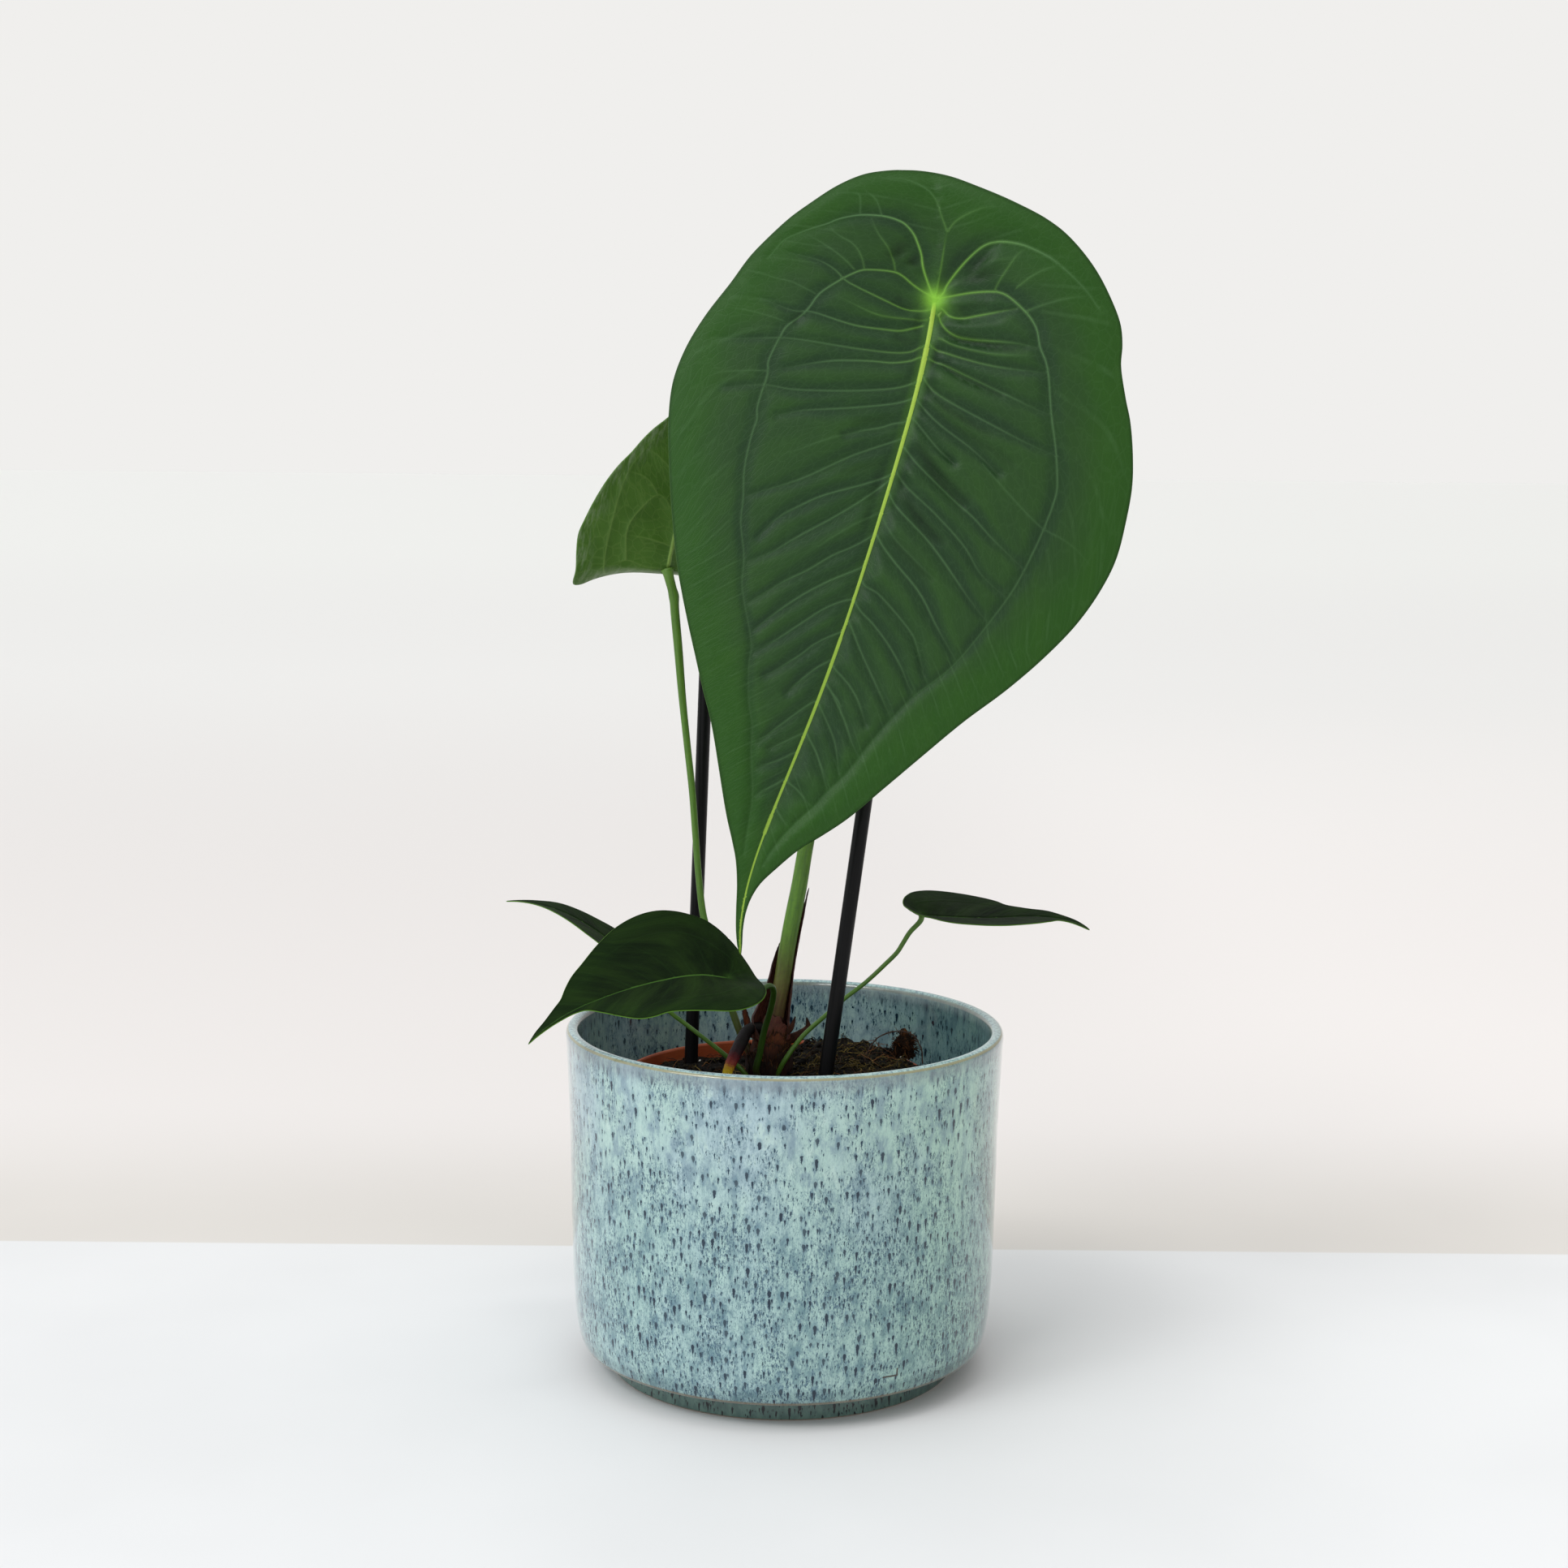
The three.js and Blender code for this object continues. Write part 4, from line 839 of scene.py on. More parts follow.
    s, t = st[:, 0], st[:, 1]
    edge, _ = to_line(st, ring)
    edge[edge > 1e8] = 30
    edge[border] = 0
    vein = np.zeros(len(st))
    near = np.full(len(st), 9.0)
    ridge = np.zeros(len(st))
    soft_ridge = np.zeros(len(st))
    for kind, strength, line in lines:
        d, i = to_line(st, line)
        g = strength[i]
        vein = np.maximum(vein, g * bell(d, 0.36 * fine))
        ridge = np.maximum(ridge, g * bell(d, 0.5 * fine))
        soft_ridge = np.maximum(soft_ridge, g * bell(d, 1.1 * fine))
        if kind in "clb":
            near = np.minimum(near, d / np.clip(g * 1.6, 0.5, 1))
    calm = smooth((np.hypot(s, t) - 0.8) / 4.0)
    ridge, soft_ridge = ridge * calm, soft_ridge * calm
    w = rib(s)
    dm = np.abs(t)
    on_leaf = (s > -5) & (s < tip)
    ribness = np.where(on_leaf, np.clip(1 - (dm / (w * 1.02)) ** 2, 0, 1), 0) * smooth((s + 1.5) / 7)
    near = np.minimum(near, np.where(s > 0, np.maximum(dm - w, 0) * 0.8, 9))
    groove = np.zeros(len(st))
    # dark is painted shade along the creases and in the hollows
    dark = np.zeros(len(st))
    for depth, width, pts in creases:
        line, x = spaced(centripetal(np.array(pts, float), 10), 1.0)
        d, i = to_line(st, line)
        taper = np.sin(np.clip(i / max(len(line) - 2, 1), 0, 1) * math.pi) ** 0.5
        groove -= 2.2 * depth * taper * bell(d, width)
        dark = np.maximum(dark, 1.15 * depth * taper * bell(d, width * 0.9))
    for cs, ct, rs, rt, turn, depth in hollows:
        c, sn = math.cos(turn), math.sin(turn)
        a = (s - cs) * c + (t - ct) * sn
        b = -(s - cs) * sn + (t - ct) * c
        g = np.exp(-((a / rs) ** 2) - (b / rt) ** 2)
        groove -= 2.1 * depth * g
        dark = np.maximum(dark, 0.8 * depth * g)

    spot = np.stack([s, t, np.full(len(s), seed * 7.3)], 1)
    puff = quilt(s, t) * (1 - np.exp(-((near / 3.4) ** 2)))
    fade = smooth(edge / 6)
    mid = puff * fade + groove * fade
    mid += wave * fbm(spot / np.array([34, 30, 1]), seed, 2) * smooth((40 - edge) / 40) * fade
    mid += 0.16 * fbm(spot / 7, seed + 5, 3) * fade
    mid -= 0.5 * np.where(s > 0, bell(dm, w * 1.9), 0) * fade
    thick = half * np.sqrt(np.clip(1 - (1 - np.clip(edge / 0.6, 0, 1)) ** 2, 0, 1))
    top = mid + thick + (0.85 * rib_width * 0.5 * (w / rib_width) * ribness**1.2 + 0.13 * ridge) * fade
    low = mid - thick - (0.95 * rib_width * 0.6 * (w / rib_width) * ribness + 0.34 * soft_ridge) * fade
    base, n = leaf.point(s, t), leaf.normal(s, t)
    upper = base + n * top[:, None]
    under = base + n * low[:, None]
    upper[border] = under[border] = (base + n * mid[:, None])[border]
    index = np.cumsum(~border) - 1 + len(st)
    low_of = np.where(border, np.arange(len(st)), index)
    V = np.vstack([upper, under[~border]])
    V[:, 2] = np.minimum(V[:, 2], 458.7)
    # faces: upper one side, under the other
    a, b, c = V[tri[0, 0]], V[tri[0, 1]], V[tri[0, 2]]
    if np.cross(b - a, c - a) @ n[tri[0, 0]] < 0:
        tri = tri[:, ::-1]
    faces3 = np.concatenate([tri, low_of[tri[:, ::-1]]])
    side = np.concatenate([np.zeros(len(tri), int), np.ones(len(tri), int)])

    def both(x):
        return np.concatenate([x, x[~border]])

    steep = np.interp(np.clip(s / tip, -0.3, 1), [-0.3, 0, 0.2, 0.45, 1], [-0.4, -0.05, 0.35, 1.0, 1.35])
    o = mesh_object(
        name, V, tris=faces3, materials=materials, index=side,
        attributes={
            "vein": both(np.clip(vein, 0, 1.2)), "rib": both(ribness), "edge": both(np.clip(edge, 0, 30)),
            "near": both(np.clip(near, 0, 9)), "dark": both(dark), "st": both(np.stack([s, t, s - np.abs(t) * steep], 1)),
            "hub": both(np.exp(-(s * s + t * t) / (30.0 if spacing > 1.3 else 9.0))),
        },
    )
    return o


# each crease is a groove with painted shade along it
CREASES_1 = [  # depth, width, line
    (0.75, 1.5, [(11.5, -4), (13.6, -9), (14.4, -18), (14.4, -28), (13.7, -38)]),
    (0.55, 1.4, [(22, -4), (26.6, -12), (29, -22), (31, -33)]),
    (0.8, 2.2, [(54, -4), (60.5, -11), (67, -20), (73, -31)]),
    (0.7, 2.2, [(72, -3), (78, -9), (84, -17), (89, -27)]),
    (0.45, 1.8, [(90, -5), (95.5, -12), (100, -20), (103, -27)]),
    (0.35, 1.6, [(39, -4), (44, -14), (49, -28), (54, -44)]),
    (0.5, 1.6, [(1.5, -4), (2.5, -9), (0.8, -16), (-0.5, -22)]),
    (0.5, 1.7, [(3, 4), (4.5, 9), (2.5, 16)]),
    (0.45, 1.8, [(17.5, 3.5), (18.5, 8), (18, 14)]),
    (0.4, 1.4, [(16, 47), (19, 49.5), (23, 50.5)]),
    (0.5, 1.5, [(35, -4), (40, -12), (43, -22), (46, -34)]),
    (0.4, 1.3, [(-6, -8), (-11, -13), (-17, -19), (-21, -22)]),
    (0.35, 1.6, [(46, 4), (51, 12), (55, 22)]),
    (0.35, 1.5, [(64, 4), (70, 12), (75, 20)]),
]
# each hollow is a dip with painted shade in it
HOLLOWS_1 = [
    (-16.5, 15.0, 4.2, 2.4, 0.9, 1.0), (-9.0, -15.5, 2.0, 6.5, -0.25, 1.1),
    (-13, 10.0, 3.0, 1.6, 1.2, 0.9), (-13.5, -14.5, 2.2, 6.5, -0.75, 0.9), (5.5, -10.5, 2.6, 5.0, 0.1, 0.6), (6.0, -3.5, 3.0, 2.2, 0, 0.8), (22, -4.0, 6.0, 2.0, 0, 0.6),
    (10, 4.2, 7.0, 1.9, 0, 0.45), (36, -4.4, 8.0, 2.0, 0, 0.5), (70, -4.0, 12.0, 1.9, 0, 0.5), (78, 4.0, 12.0, 1.8, 0, 0.45),
]


def quilt_1(s, t):
    near_rib = bell(t, 46)
    return np.where(t < 0, 2.6 * near_rib * lerp(1, 0.55, smooth((s - 90) / 90)), 1.25 * near_rib) + 0.2


# ---------------------------------------------------------------- leaf materials
def leaf_top_material(name, inner, outer, pale, rib_low, rib_high, lit, gloss=0.36, small=False, spec=0.3):
    m = Nodes(name, Specular_IOR_Level=spec, IOR=1.42)
    st = m.attr("st", vector=True)
    s, t, q = m.xyz(st)
    edge, near, vein, rib, dark, hub = (m.attr(k) for k in ("edge", "near", "vein", "rib", "dark", "hub"))
    spot = m.combine(q, t, 0.0)
    broad = m.noise(m.combine(s, t, 3.0), 0.045, 3, 0.55)
    # the zone inside the gathering veins is darker and bluer
    zone = m.range(m.add(edge, m.mul(m.sub(broad, 0.5), 10.0)), 3.0 if small else 7.0, 12.0 if small else 24.0)
    col = m.mix(zone, outer, inner)
    patch = m.noise(m.vmul(spot, (0.11, 0.035, 1)), 1.0, 4, 0.6)
    col = m.mix(m.mul(m.range(patch, 0.35, 0.75), 0.12 if small else 0.32), col, m.mix(0.5, outer, lit))
    # fine cells between the veins
    net = m.cells(m.vmul(spot, (0.55, 0.3, 1)), 1.0, "DISTANCE_TO_EDGE")
    web = m.range(net.outputs["Distance"], 0.0, 0.11, 1.0, 0.0)
    small_net = m.cells(m.combine(s, t, 0.0), 1.5, "DISTANCE_TO_EDGE")
    small_web = m.range(small_net.outputs["Distance"], 0.0, 0.16, 1.0, 0.0)
    col = m.mix(m.mul(web, 0.05), col, pale)
    grain = m.noise(m.combine(s, t, 0.0), 2.2, 4, 0.7)
    col = m.mix(m.mul(m.range(grain, 0.3, 0.75), 0.22), col, m.mix(1.0, col, (0.62, 0.66, 0.62, 1), "MULTIPLY"))
    if not small:
        run = m.add(m.mul(q, 1 / 7.5), m.mul(m.sub(m.noise(m.combine(s, t, 9.0), 0.018, 1, 0.4), 0.5), 1.5))
        off = m.mul(m.math("ABSOLUTE", m.sub(m.math("FRACT", run), 0.5)), 7.5)
        patchy = m.range(m.noise(m.combine(s, t, 6.0), 0.07, 3, 0.6), 0.36, 0.62)
        zone_out = m.mul(m.range(edge, 1.5, 6.0), m.range(edge, 20.0, 30.0, 1.0, 0.0))
        faint = m.mul(m.mul(m.range(off, 0.1, 0.75, 1.0, 0.0), patchy), zone_out)
        # painted shade in a band beside each faint vein
        shade_beside_faint = m.mul(m.mul(m.range(off, 0.5, 2.4, 1.0, 0.0), patchy), zone_out)
        col = m.mix(m.mul(shade_beside_faint, 0.26), col, m.mix(1.0, col, (0.74, 0.8, 0.76, 1), "MULTIPLY"))
        col = m.mix(m.mul(faint, 0.13), col, pale)
    # painted shade in the low ground beside the veins
    vein_valley_shade = m.mul(m.range(near, 0.15, 1.9, 1.0, 0.0), m.range(edge, 4.0, 20.0))
    col = m.mix(m.mul(vein_valley_shade, 0.0 if small else 0.42), col, m.mix(1.0, col, (0.55, 0.6, 0.62, 1), "MULTIPLY"))
    # painted light on the raised middles of the panels between the veins
    quilt_crest_light = m.mul(m.range(near, 2.0, 6.0), m.range(edge, 6.0, 20.0))
    col = m.mix(m.mul(quilt_crest_light, 0.0 if small else 0.5), col, m.mix(0.4, col, lit))
    # painted shade in the creases and hollows, from the dark attribute
    col = m.mix(m.math("MULTIPLY", dark, 0.85, clamp=True), col, m.mix(1.0, col, (0.3, 0.36, 0.36, 1), "MULTIPLY"))
    reach = m.math("SQRT", m.add(m.mul(s, s), m.mul(t, t)))
    if not small:
        # yellower beside the midrib and round the petiole, in short rays
        beside = m.mul(m.range(m.math("ABSOLUTE", t), 0.8, 4.2, 1.0, 0.0), m.mul(m.range(s, -3.0, 2.0), m.range(s, 20.0, 110.0, 1.0, 0.2)))
        col = m.mix(m.mul(beside, 0.5), col, lin(70, 112, 40))
        around = m.math("ARCTAN2", t, s)
        rays = m.noise(m.combine(m.mul(around, 2.6), m.mul(reach, 0.05), 4.0), 1.0, 3, 0.6)
        glow = m.math("POWER", hub, m.range(rays, 0.3, 0.7, 0.75, 0.28, soft=False))
        col = m.mix(m.mul(glow, 0.62), col, lin(74, 122, 42))
    vein_col = m.mix(m.range(reach, 8.0, 46.0), pale, pale) if small else m.mix(m.range(reach, 8.0, 46.0), lin(110, 160, 62), pale)
    col = m.mix(m.math("MULTIPLY", vein, 0.3 if small else m.range(reach, 20.0, 70.0, 0.85, 0.6), clamp=True), col, vein_col)
    rib_col = m.mix(m.range(s, 0.0, 90.0 if small else 190.0), rib_low, rib_high)
    col = m.mix(m.range(rib, 0.02, 0.5), col, rib_col)
    col = m.mix(m.math("MULTIPLY", m.math("POWER", hub, 2.0), 0.25 if small else 0.9, clamp=True), col, lin(136, 196, 62) if not small else lin(60, 96, 34))
    # thin darker margin with a lit outer line
    col = m.mix(m.range(edge, 0.25, 1.5, 0.55, 0.0), col, m.mix(1.0, col, (0.35, 0.42, 0.3, 1), "MULTIPLY"))
    col = m.mix(m.range(edge, 0.0, 0.4, 0.75, 0.0), col, lit)
    rough = m.range(grain, 0.2, 0.8, gloss - 0.05, gloss + 0.1, soft=False)
    rough = m.add(rough, m.mul(vein, 0.06))
    height = m.add(m.mul(web, -0.35), m.mul(small_web, -0.16))
    height = m.add(height, m.mul(grain, 0.35))
    return m.shader(Base_Color=col, Roughness=rough, Normal=m.bump(height, 0.09, 0.9))


def leaf_under_material(name, inner, outer, pale, rib_col, gloss=0.45):
    m = Nodes(name, Specular_IOR_Level=0.3, IOR=1.42)
    st = m.attr("st", vector=True)
    s, t, q = m.xyz(st)
    edge, vein, rib, near = (m.attr(k) for k in ("edge", "vein", "rib", "near"))
    spot = m.combine(q, t, 0.0)
    broad = m.noise(m.combine(s, t, 5.0), 0.07, 4, 0.6)
    col = m.mix(m.range(broad, 0.3, 0.7), inner, outer)
    net = m.cells(m.vmul(spot, (0.42, 0.26, 1)), 1.0, "DISTANCE_TO_EDGE")
    web = m.range(net.outputs["Distance"], 0.0, 0.1, 1.0, 0.0)
    grain = m.noise(m.combine(s, t, 0.0), 1.8, 4, 0.7)
    col = m.mix(m.mul(web, 0.22), col, pale)
    col = m.mix(m.mul(m.range(grain, 0.3, 0.75), 0.25), col, m.mix(1.0, col, (0.66, 0.7, 0.6, 1), "MULTIPLY"))
    col = m.mix(m.math("MULTIPLY", vein, 0.75, clamp=True), col, pale)
    col = m.mix(m.range(rib, 0.02, 0.4), col, rib_col)
    # dusty grey-green smears near the margin
    smear = m.noise(m.combine(m.mul(s, 0.12), m.mul(t, 0.5), 0.0), 1.0, 4, 0.65)
    col = m.mix(m.mul(m.range(edge, 1.0, 9.0, 0.6, 0.0), m.range(smear, 0.42, 0.66)), col, lin(128, 146, 112))
    col = m.mix(m.range(edge, 0.0, 0.6, 0.6, 0.0), col, lin(96, 130, 70))
    rough = m.range(grain, 0.2, 0.8, gloss - 0.06, gloss + 0.12, soft=False)
    height = m.add(m.mul(web, 0.4), m.mul(grain, 0.5))
    return m.shader(Base_Color=col, Roughness=rough, Normal=m.bump(height, 0.1, 0.9))


big_top = leaf_top_material(
    "leaf_top_big", lin(31, 58, 31), lin(37, 77, 21), lin(88, 126, 80), lin(158, 188, 72), lin(134, 166, 60), lin(54, 92, 28), 0.42, spec=0.24)
dark_top = leaf_top_material(
    "leaf_top_dark", lin(16, 27, 13), lin(19, 34, 14), lin(36, 60, 28), lin(60, 92, 38), lin(44, 72, 30), lin(104, 150, 56), 0.5, small=True, spec=0.02)
under_big = leaf_under_material("leaf_under_big", lin(62, 98, 28), lin(74, 111, 38), lin(108, 138, 68), lin(122, 152, 72))
under_dark = leaf_under_material("leaf_under_dark", lin(46, 74, 26), lin(58, 88, 34), lin(90, 118, 60), lin(102, 130, 62))

# ---------------------------------------------------------------- the blades
V2 = [
    ("b", 0.9, [(1.9, 17.3), (14.9, 19.5), (23.8, 15.9), (30.2, 10.1), (25.1, 3.7), (22.5, 0.6)]),
    ("l", 0.7, [(10.2, 0.3), (11.7, 9.7), (12.1, 18.1)]),
    ("c", 0.75, [(-5.5, 23.5), (-2.6, 25.4), (17.5, 26.4), (37.5, 24.8), (47, 21), (58, 15), (70, 8.6), (84, 4)]),
    ("l", 0.6, [(30, 10.5), (36, 17), (37.5, 24.6)]),
    ("l", 0.55, [(34, 0.5), (41, 8), (46, 15.5), (47.5, 20)]),
    ("l", 0.5, [(46, 0.5), (53, 7), (58, 14)]),
    ("l", 0.5, [(0.5, 1), (0.2, 9), (1.9, 17.3), (-2, 25)]),
    ("b", 0.9, [(1.5, -16.3), (13.9, -18.5), (23, -15.2), (29, -9.8), (24.5, -3.7), (21.5, -0.6)]),
    ("l", 0.7, [(9.2, -0.3), (10.7, -9.2), (11.1, -17.5)]),
    ("c", 0.75, [(-5, -23), (-2.6, -25), (17.5, -26), (37.5, -24.2), (47, -20.4), (58, -14.6), (70, -8.2), (84, -3.8)]),
    ("l", 0.6, [(29, -10.2), (34, -16), (36, -24.2)]),
    ("l", 0.55, [(36, -0.5), (43, -8), (48, -16), (49, -19.5)]),
    ("l", 0.5, [(48, -0.5), (55, -7), (60, -13)]),
    ("l", 0.5, [(0.5, -1), (0.2, -9), (1.5, -16.3), (-2, -24.6)]),
]


def flat_quilt(amount, spread):
    return lambda s, t: amount * bell(t, spread) + 0.04


blades = {}
L = {k: Leaf(**d) for k, d in enumerate((LEAF_1, LEAF_2, LEAF_3, LEAF_4, LEAF_5), 1)}
blades[1] = build_leaf("leaf_1", L[1], VEINS_1, 0.98, 1.75, 1.1, quilt_1, [big_top, under_big], CREASES_1, HOLLOWS_1, half=0.3, wave=0.5, seed=2)
blades[2] = build_leaf("leaf_2", L[2], V2, 0.95, 1.15, 0.8, flat_quilt(0.4, 22), [dark_top, under_big], half=0.28, fine=0.8, wave=0.35, seed=3)
blades[3] = build_leaf("leaf_3", L[3], auto_veins(L[3], 7, 5), 0.5, 1.1, 0.75, flat_quilt(0.25, 22), [dark_top, under_dark], half=0.26, fine=0.75, wave=0.3, seed=4)
blades[4] = build_leaf("leaf_4", L[4], auto_veins(L[4], 6, 6), 0.5, 0.8, 0.55, flat_quilt(0.15, 12), [dark_top, under_dark], half=0.24, fine=0.6, wave=0.2, seed=5)
blades[5] = build_leaf("leaf_5", L[5], auto_veins(L[5], 6, 7), 0.55, 0.9, 0.6, flat_quilt(0.18, 15), [dark_top, under_dark], half=0.24, fine=0.65, wave=0.25, seed=6)
for k, o in blades.items():
    place(o, "leaf", f"leaf_blade_{k}")

# ---------------------------------------------------------------- petioles
pet = Nodes("petiole_skin", Specular_IOR_Level=0.5, IOR=1.42)
p_along, p_mm, p_angle = pet.attr("along"), pet.attr("mm"), pet.attr("angle")
streak = pet.noise(pet.combine(pet.mul(p_angle, 1.6), pet.mul(p_mm, 0.05), 0.0), 1.6, 4, 0.6)
fleck = pet.noise(pet.mm(), 0.7, 4, 0.65)
p_col = pet.mix(pet.range(streak, 0.3, 0.7), lin(76, 116, 34), lin(94, 136, 44))
p_col = pet.mix(pet.mul(pet.range(fleck, 0.45, 0.75), 0.35), p_col, lin(62, 96, 44))
blush = pet.attr("base")
p_base = pet.mix(pet.range(streak, 0.35, 0.7), lin(84, 58, 42), lin(98, 80, 46))
p_col = pet.mix(pet.math("MULTIPLY", blush, pet.range(fleck, 0.1, 0.8, 0.8, 1.0), clamp=True), p_col, p_base)
p_col = pet.mix(pet.attr("knee"), p_col, lin(118, 160, 70))
p_col = pet.mix(pet.attr("shade"), p_col, pet.mix(1.0, p_col, (0.3, 0.37, 0.3, 1), "MULTIPLY"))
speck = pet.cells(pet.combine(pet.mul(p_angle, 2.0), pet.mul(p_mm, 0.5), 0.0), 1.1)
p_col = pet.mix(pet.range(speck.outputs["Distance"], 0.05, 0.14, 0.55, 0.0), p_col, lin(70, 74, 40))
petiole_skin = pet.shader(
    Base_Color=p_col, Roughness=pet.range(streak, 0.2, 0.8, 0.34, 0.5, soft=False),
    Normal=pet.bump(pet.add(pet.mul(streak, 1.0), pet.mul(fleck, 0.5)), 0.09, 0.8))

PETIOLE_LOOK = {  # sides, how far up the brown base reaches in mm, knee under the blade in mm, shade
    1: (36, 50, 13, 0.0), 2: (24, 40, 9, 0.3), 3: (22, 12, 5, 1.0), 4: (20, 4, 5, 0.4), 5: (20, 4, 5, 0.3),
}
for k, (radii, path) in enumerate(PETIOLES, 1):
    sides, brown, knee, shade = PETIOLE_LOOK[k]
    leaf = L[k]
    hub = leaf.point([0.0], [0.0])[0]
    up = leaf.normal([0.0], [0.0])[0]
    dense = centripetal(list(path) + [tuple(hub - up * 0.28)], 24)
    line, x = spaced(dense, 0.9)
    f = x / x[-1]
    from_top = x[-1] - x
    r = read_along(radii, f)
    r = np.convolve(np.pad(r, 6, mode="edge"), np.ones(13) / 13, "valid")
    # the knee is a little thicker, and a collar spreads where it meets the blade
    r = r * (1 + 0.07 * smooth((knee - from_top) / knee * 2) * smooth(from_top / 2)) + 0.55 * r * np.exp(-from_top / (0.55 * r))
    ang = np.arange(sides) / sides * 2 * np.pi
    rr = r[:, None] * (1 + 0.02 * np.cos(2 * ang + 0.6)[None] + 0.012 * np.cos(5 * ang + 0.02 * x[:, None]))
    grid = np.stack([np.repeat(x[:, None], sides, 1).ravel() * 0.05, np.tile(np.cos(ang), len(x)), np.tile(np.sin(ang), len(x))], 1)
    rr = rr * (1 + 0.02 * fbm(grid * 1.5, 40 + k, 3).reshape(len(x), sides))
    if k == 2:  # an old node: a slight bend with a swollen ring and a small bud scar
        at = x[np.argmin(np.linalg.norm(line - np.array((-46.6, 44.6, 297.0)), axis=1))]
        rr = rr * (1 + 0.16 * bell(x - at, 2.2)[:, None] * (1 + 0.5 * np.cos(ang - 1.0))[None])
    V, Q, T, along, angle, mm = tube(line, rr, sides, (True, False))
    # the end stays inside the blade
    high = (V - hub) @ up + 0.45
    close = np.linalg.norm(V - hub, axis=1) < 9
    V = V - up * np.where(close, np.maximum(high, 0), 0)[:, None]
    z_base = smooth((brown - mm) / (0.8 * brown))
    o = mesh_object(f"petiole_{k}_stem", V, Q, T, {
        "along": along, "mm": mm, "angle": angle, "base": z_base,
        "knee": 0.6 * smooth((knee - (x[-1] - mm)) / knee), "shade": np.full(len(V), shade)}, [petiole_skin])
    place(o, "petiole", f"petiole_{k}")

# ---------------------------------------------------------------- cover pot
COVER_PROFILE = [
    (0, 0), (67.2, 0), (68, 0.8), (68, 9.2), (68.6, 9.8), (77.8, 9.8),
    (78.9, 10.5), (79.78, 13), (80.71, 17.6), (81.48, 23.7), (82.3, 37), (82.8, 60),
    (83.3, 94), (84.1, 112), (84.7, 127), (85, 131.3), (84.91, 132.1), (84.65, 132.85), (84.2, 133.4), (83.6, 133.8), (82.9, 133.97),
    (82.1, 133.99), (81.4, 133.83), (80.75, 133.45), (80.25, 132.85), (79.9, 132.1), (79.8, 131.2), (79.6, 120), (78.8, 100), (78.4, 60),
    (77.9, 36), (76, 20), (70, 12), (64, 9), (0, 9),
]


def turned(profile, sides, x0=0.0, corner=1.2, step=1.6, wobble=0.0, seed=9):
    """A turned piece with its corners eased and its faces finely divided."""
    p = np.array(profile, float)
    rows = [p[0]]
    for i in range(1, len(p) - 1):
        a, b, c = p[i - 1], p[i], p[i + 1]
        la, lc = np.linalg.norm(b - a), np.linalg.norm(c - b)
        cut = min(corner, 0.42 * la, 0.42 * lc)
        u, w = (a - b) / la, (c - b) / lc
        for g in np.linspace(0, 1, 5):
            rows.append(b + u * cut * (1 - g) ** 2 + w * cut * g**2)
    rows.append(p[-1])
    rows = np.array(rows)
    fine = [rows[0]]
    for a, b in zip(rows[:-1], rows[1:]):
        n = max(1, int(np.linalg.norm(b - a) // step))
        fine += [a + (b - a) * k / n for k in range(1, n + 1)]
    R = np.array(fine)[1:-1]
    ang = np.arange(sides) / sides * 2 * np.pi
    rad = np.repeat(R[:, :1], sides, 1)
    if wobble:
        pts = np.stack([np.cos(ang)[None].repeat(len(R), 0).ravel() * 1.7, np.sin(ang)[None].repeat(len(R), 0).ravel() * 1.7, np.repeat(R[:, 1], sides) / 40], 1)
        rad = rad + wobble * fbm(pts, seed, 3).reshape(len(R), sides) - wobble * 0.6
    V = np.stack([x0 + rad * np.cos(ang), rad * np.sin(ang), np.repeat(R[:, 1:], sides, 1)], -1).reshape(-1, 3)
    i, j = np.meshgrid(np.arange(len(R) - 1), np.arange(sides), indexing="ij")
    k = (j + 1) % sides
    quads = np.stack([i * sides + j, i * sides + k, (i + 1) * sides + k, (i + 1) * sides + j], -1).reshape(-1, 4)
    low, high = len(V), len(V) + 1
    V = np.vstack([V, (x0, 0, p[0][1]), (x0, 0, p[-1][1])])
    j = np.arange(sides)
    k = (j + 1) % sides
    tris = np.concatenate([np.stack([np.full(sides, low), k, j], 1), np.stack([np.full(sides, high), (len(R) - 1) * sides + j, (len(R) - 1) * sides + k], 1)])
    return V, quads, tris


CRACK = [(37.2, 18.7), (42.2, 18.5), (42.3, 21.2)]  # x and z on the front of the wall
g = Nodes("glaze", Coat_Weight=0.8, Coat_Roughness=0.04, Specular_IOR_Level=0.2, IOR=1.5)
P = g.mm()
gx, gy, gz = g.xyz(P)
radius = g.math("SQRT", g.add(g.mul(gx, gx), g.mul(gy, gy)))
wob = g.vmul(g.vadd(g.noise(g.vmul(P, (1, 1, 0.6)), 1.1, 2, 0.5, colour=True), (-0.5, -0.5, -0.5)), (0.5, 0.5, 0.7))
PW = g.vadd(P, wob)
low_down = g.range(gz, 112.0, 58.0)
broad = g.noise(g.vmul(P, (1, 1, 0.55)), 0.03, 4, 0.6)
cloud = g.noise(g.vmul(PW, (1, 1, 0.5)), 0.2, 5, 0.66)
drip = g.noise(g.vmul(PW, (1, 1, 0.16)), 0.7, 4, 0.6)
col = g.mix(g.range(broad, 0.38, 0.62), lin(168, 193, 200), lin(172, 202, 195))
col = g.mix(g.mul(low_down, 0.6), col, lin(158, 191, 187))
col = g.mix(g.mul(g.range(cloud, 0.46, 0.66), 0.85), col, g.mix(low_down, lin(126, 151, 164), lin(100, 136, 143)))
col = g.mix(g.mul(g.range(cloud, 0.32, 0.46, 1.0, 0.0), 0.75), col, g.mix(low_down, lin(188, 213, 206), lin(176, 208, 201)))
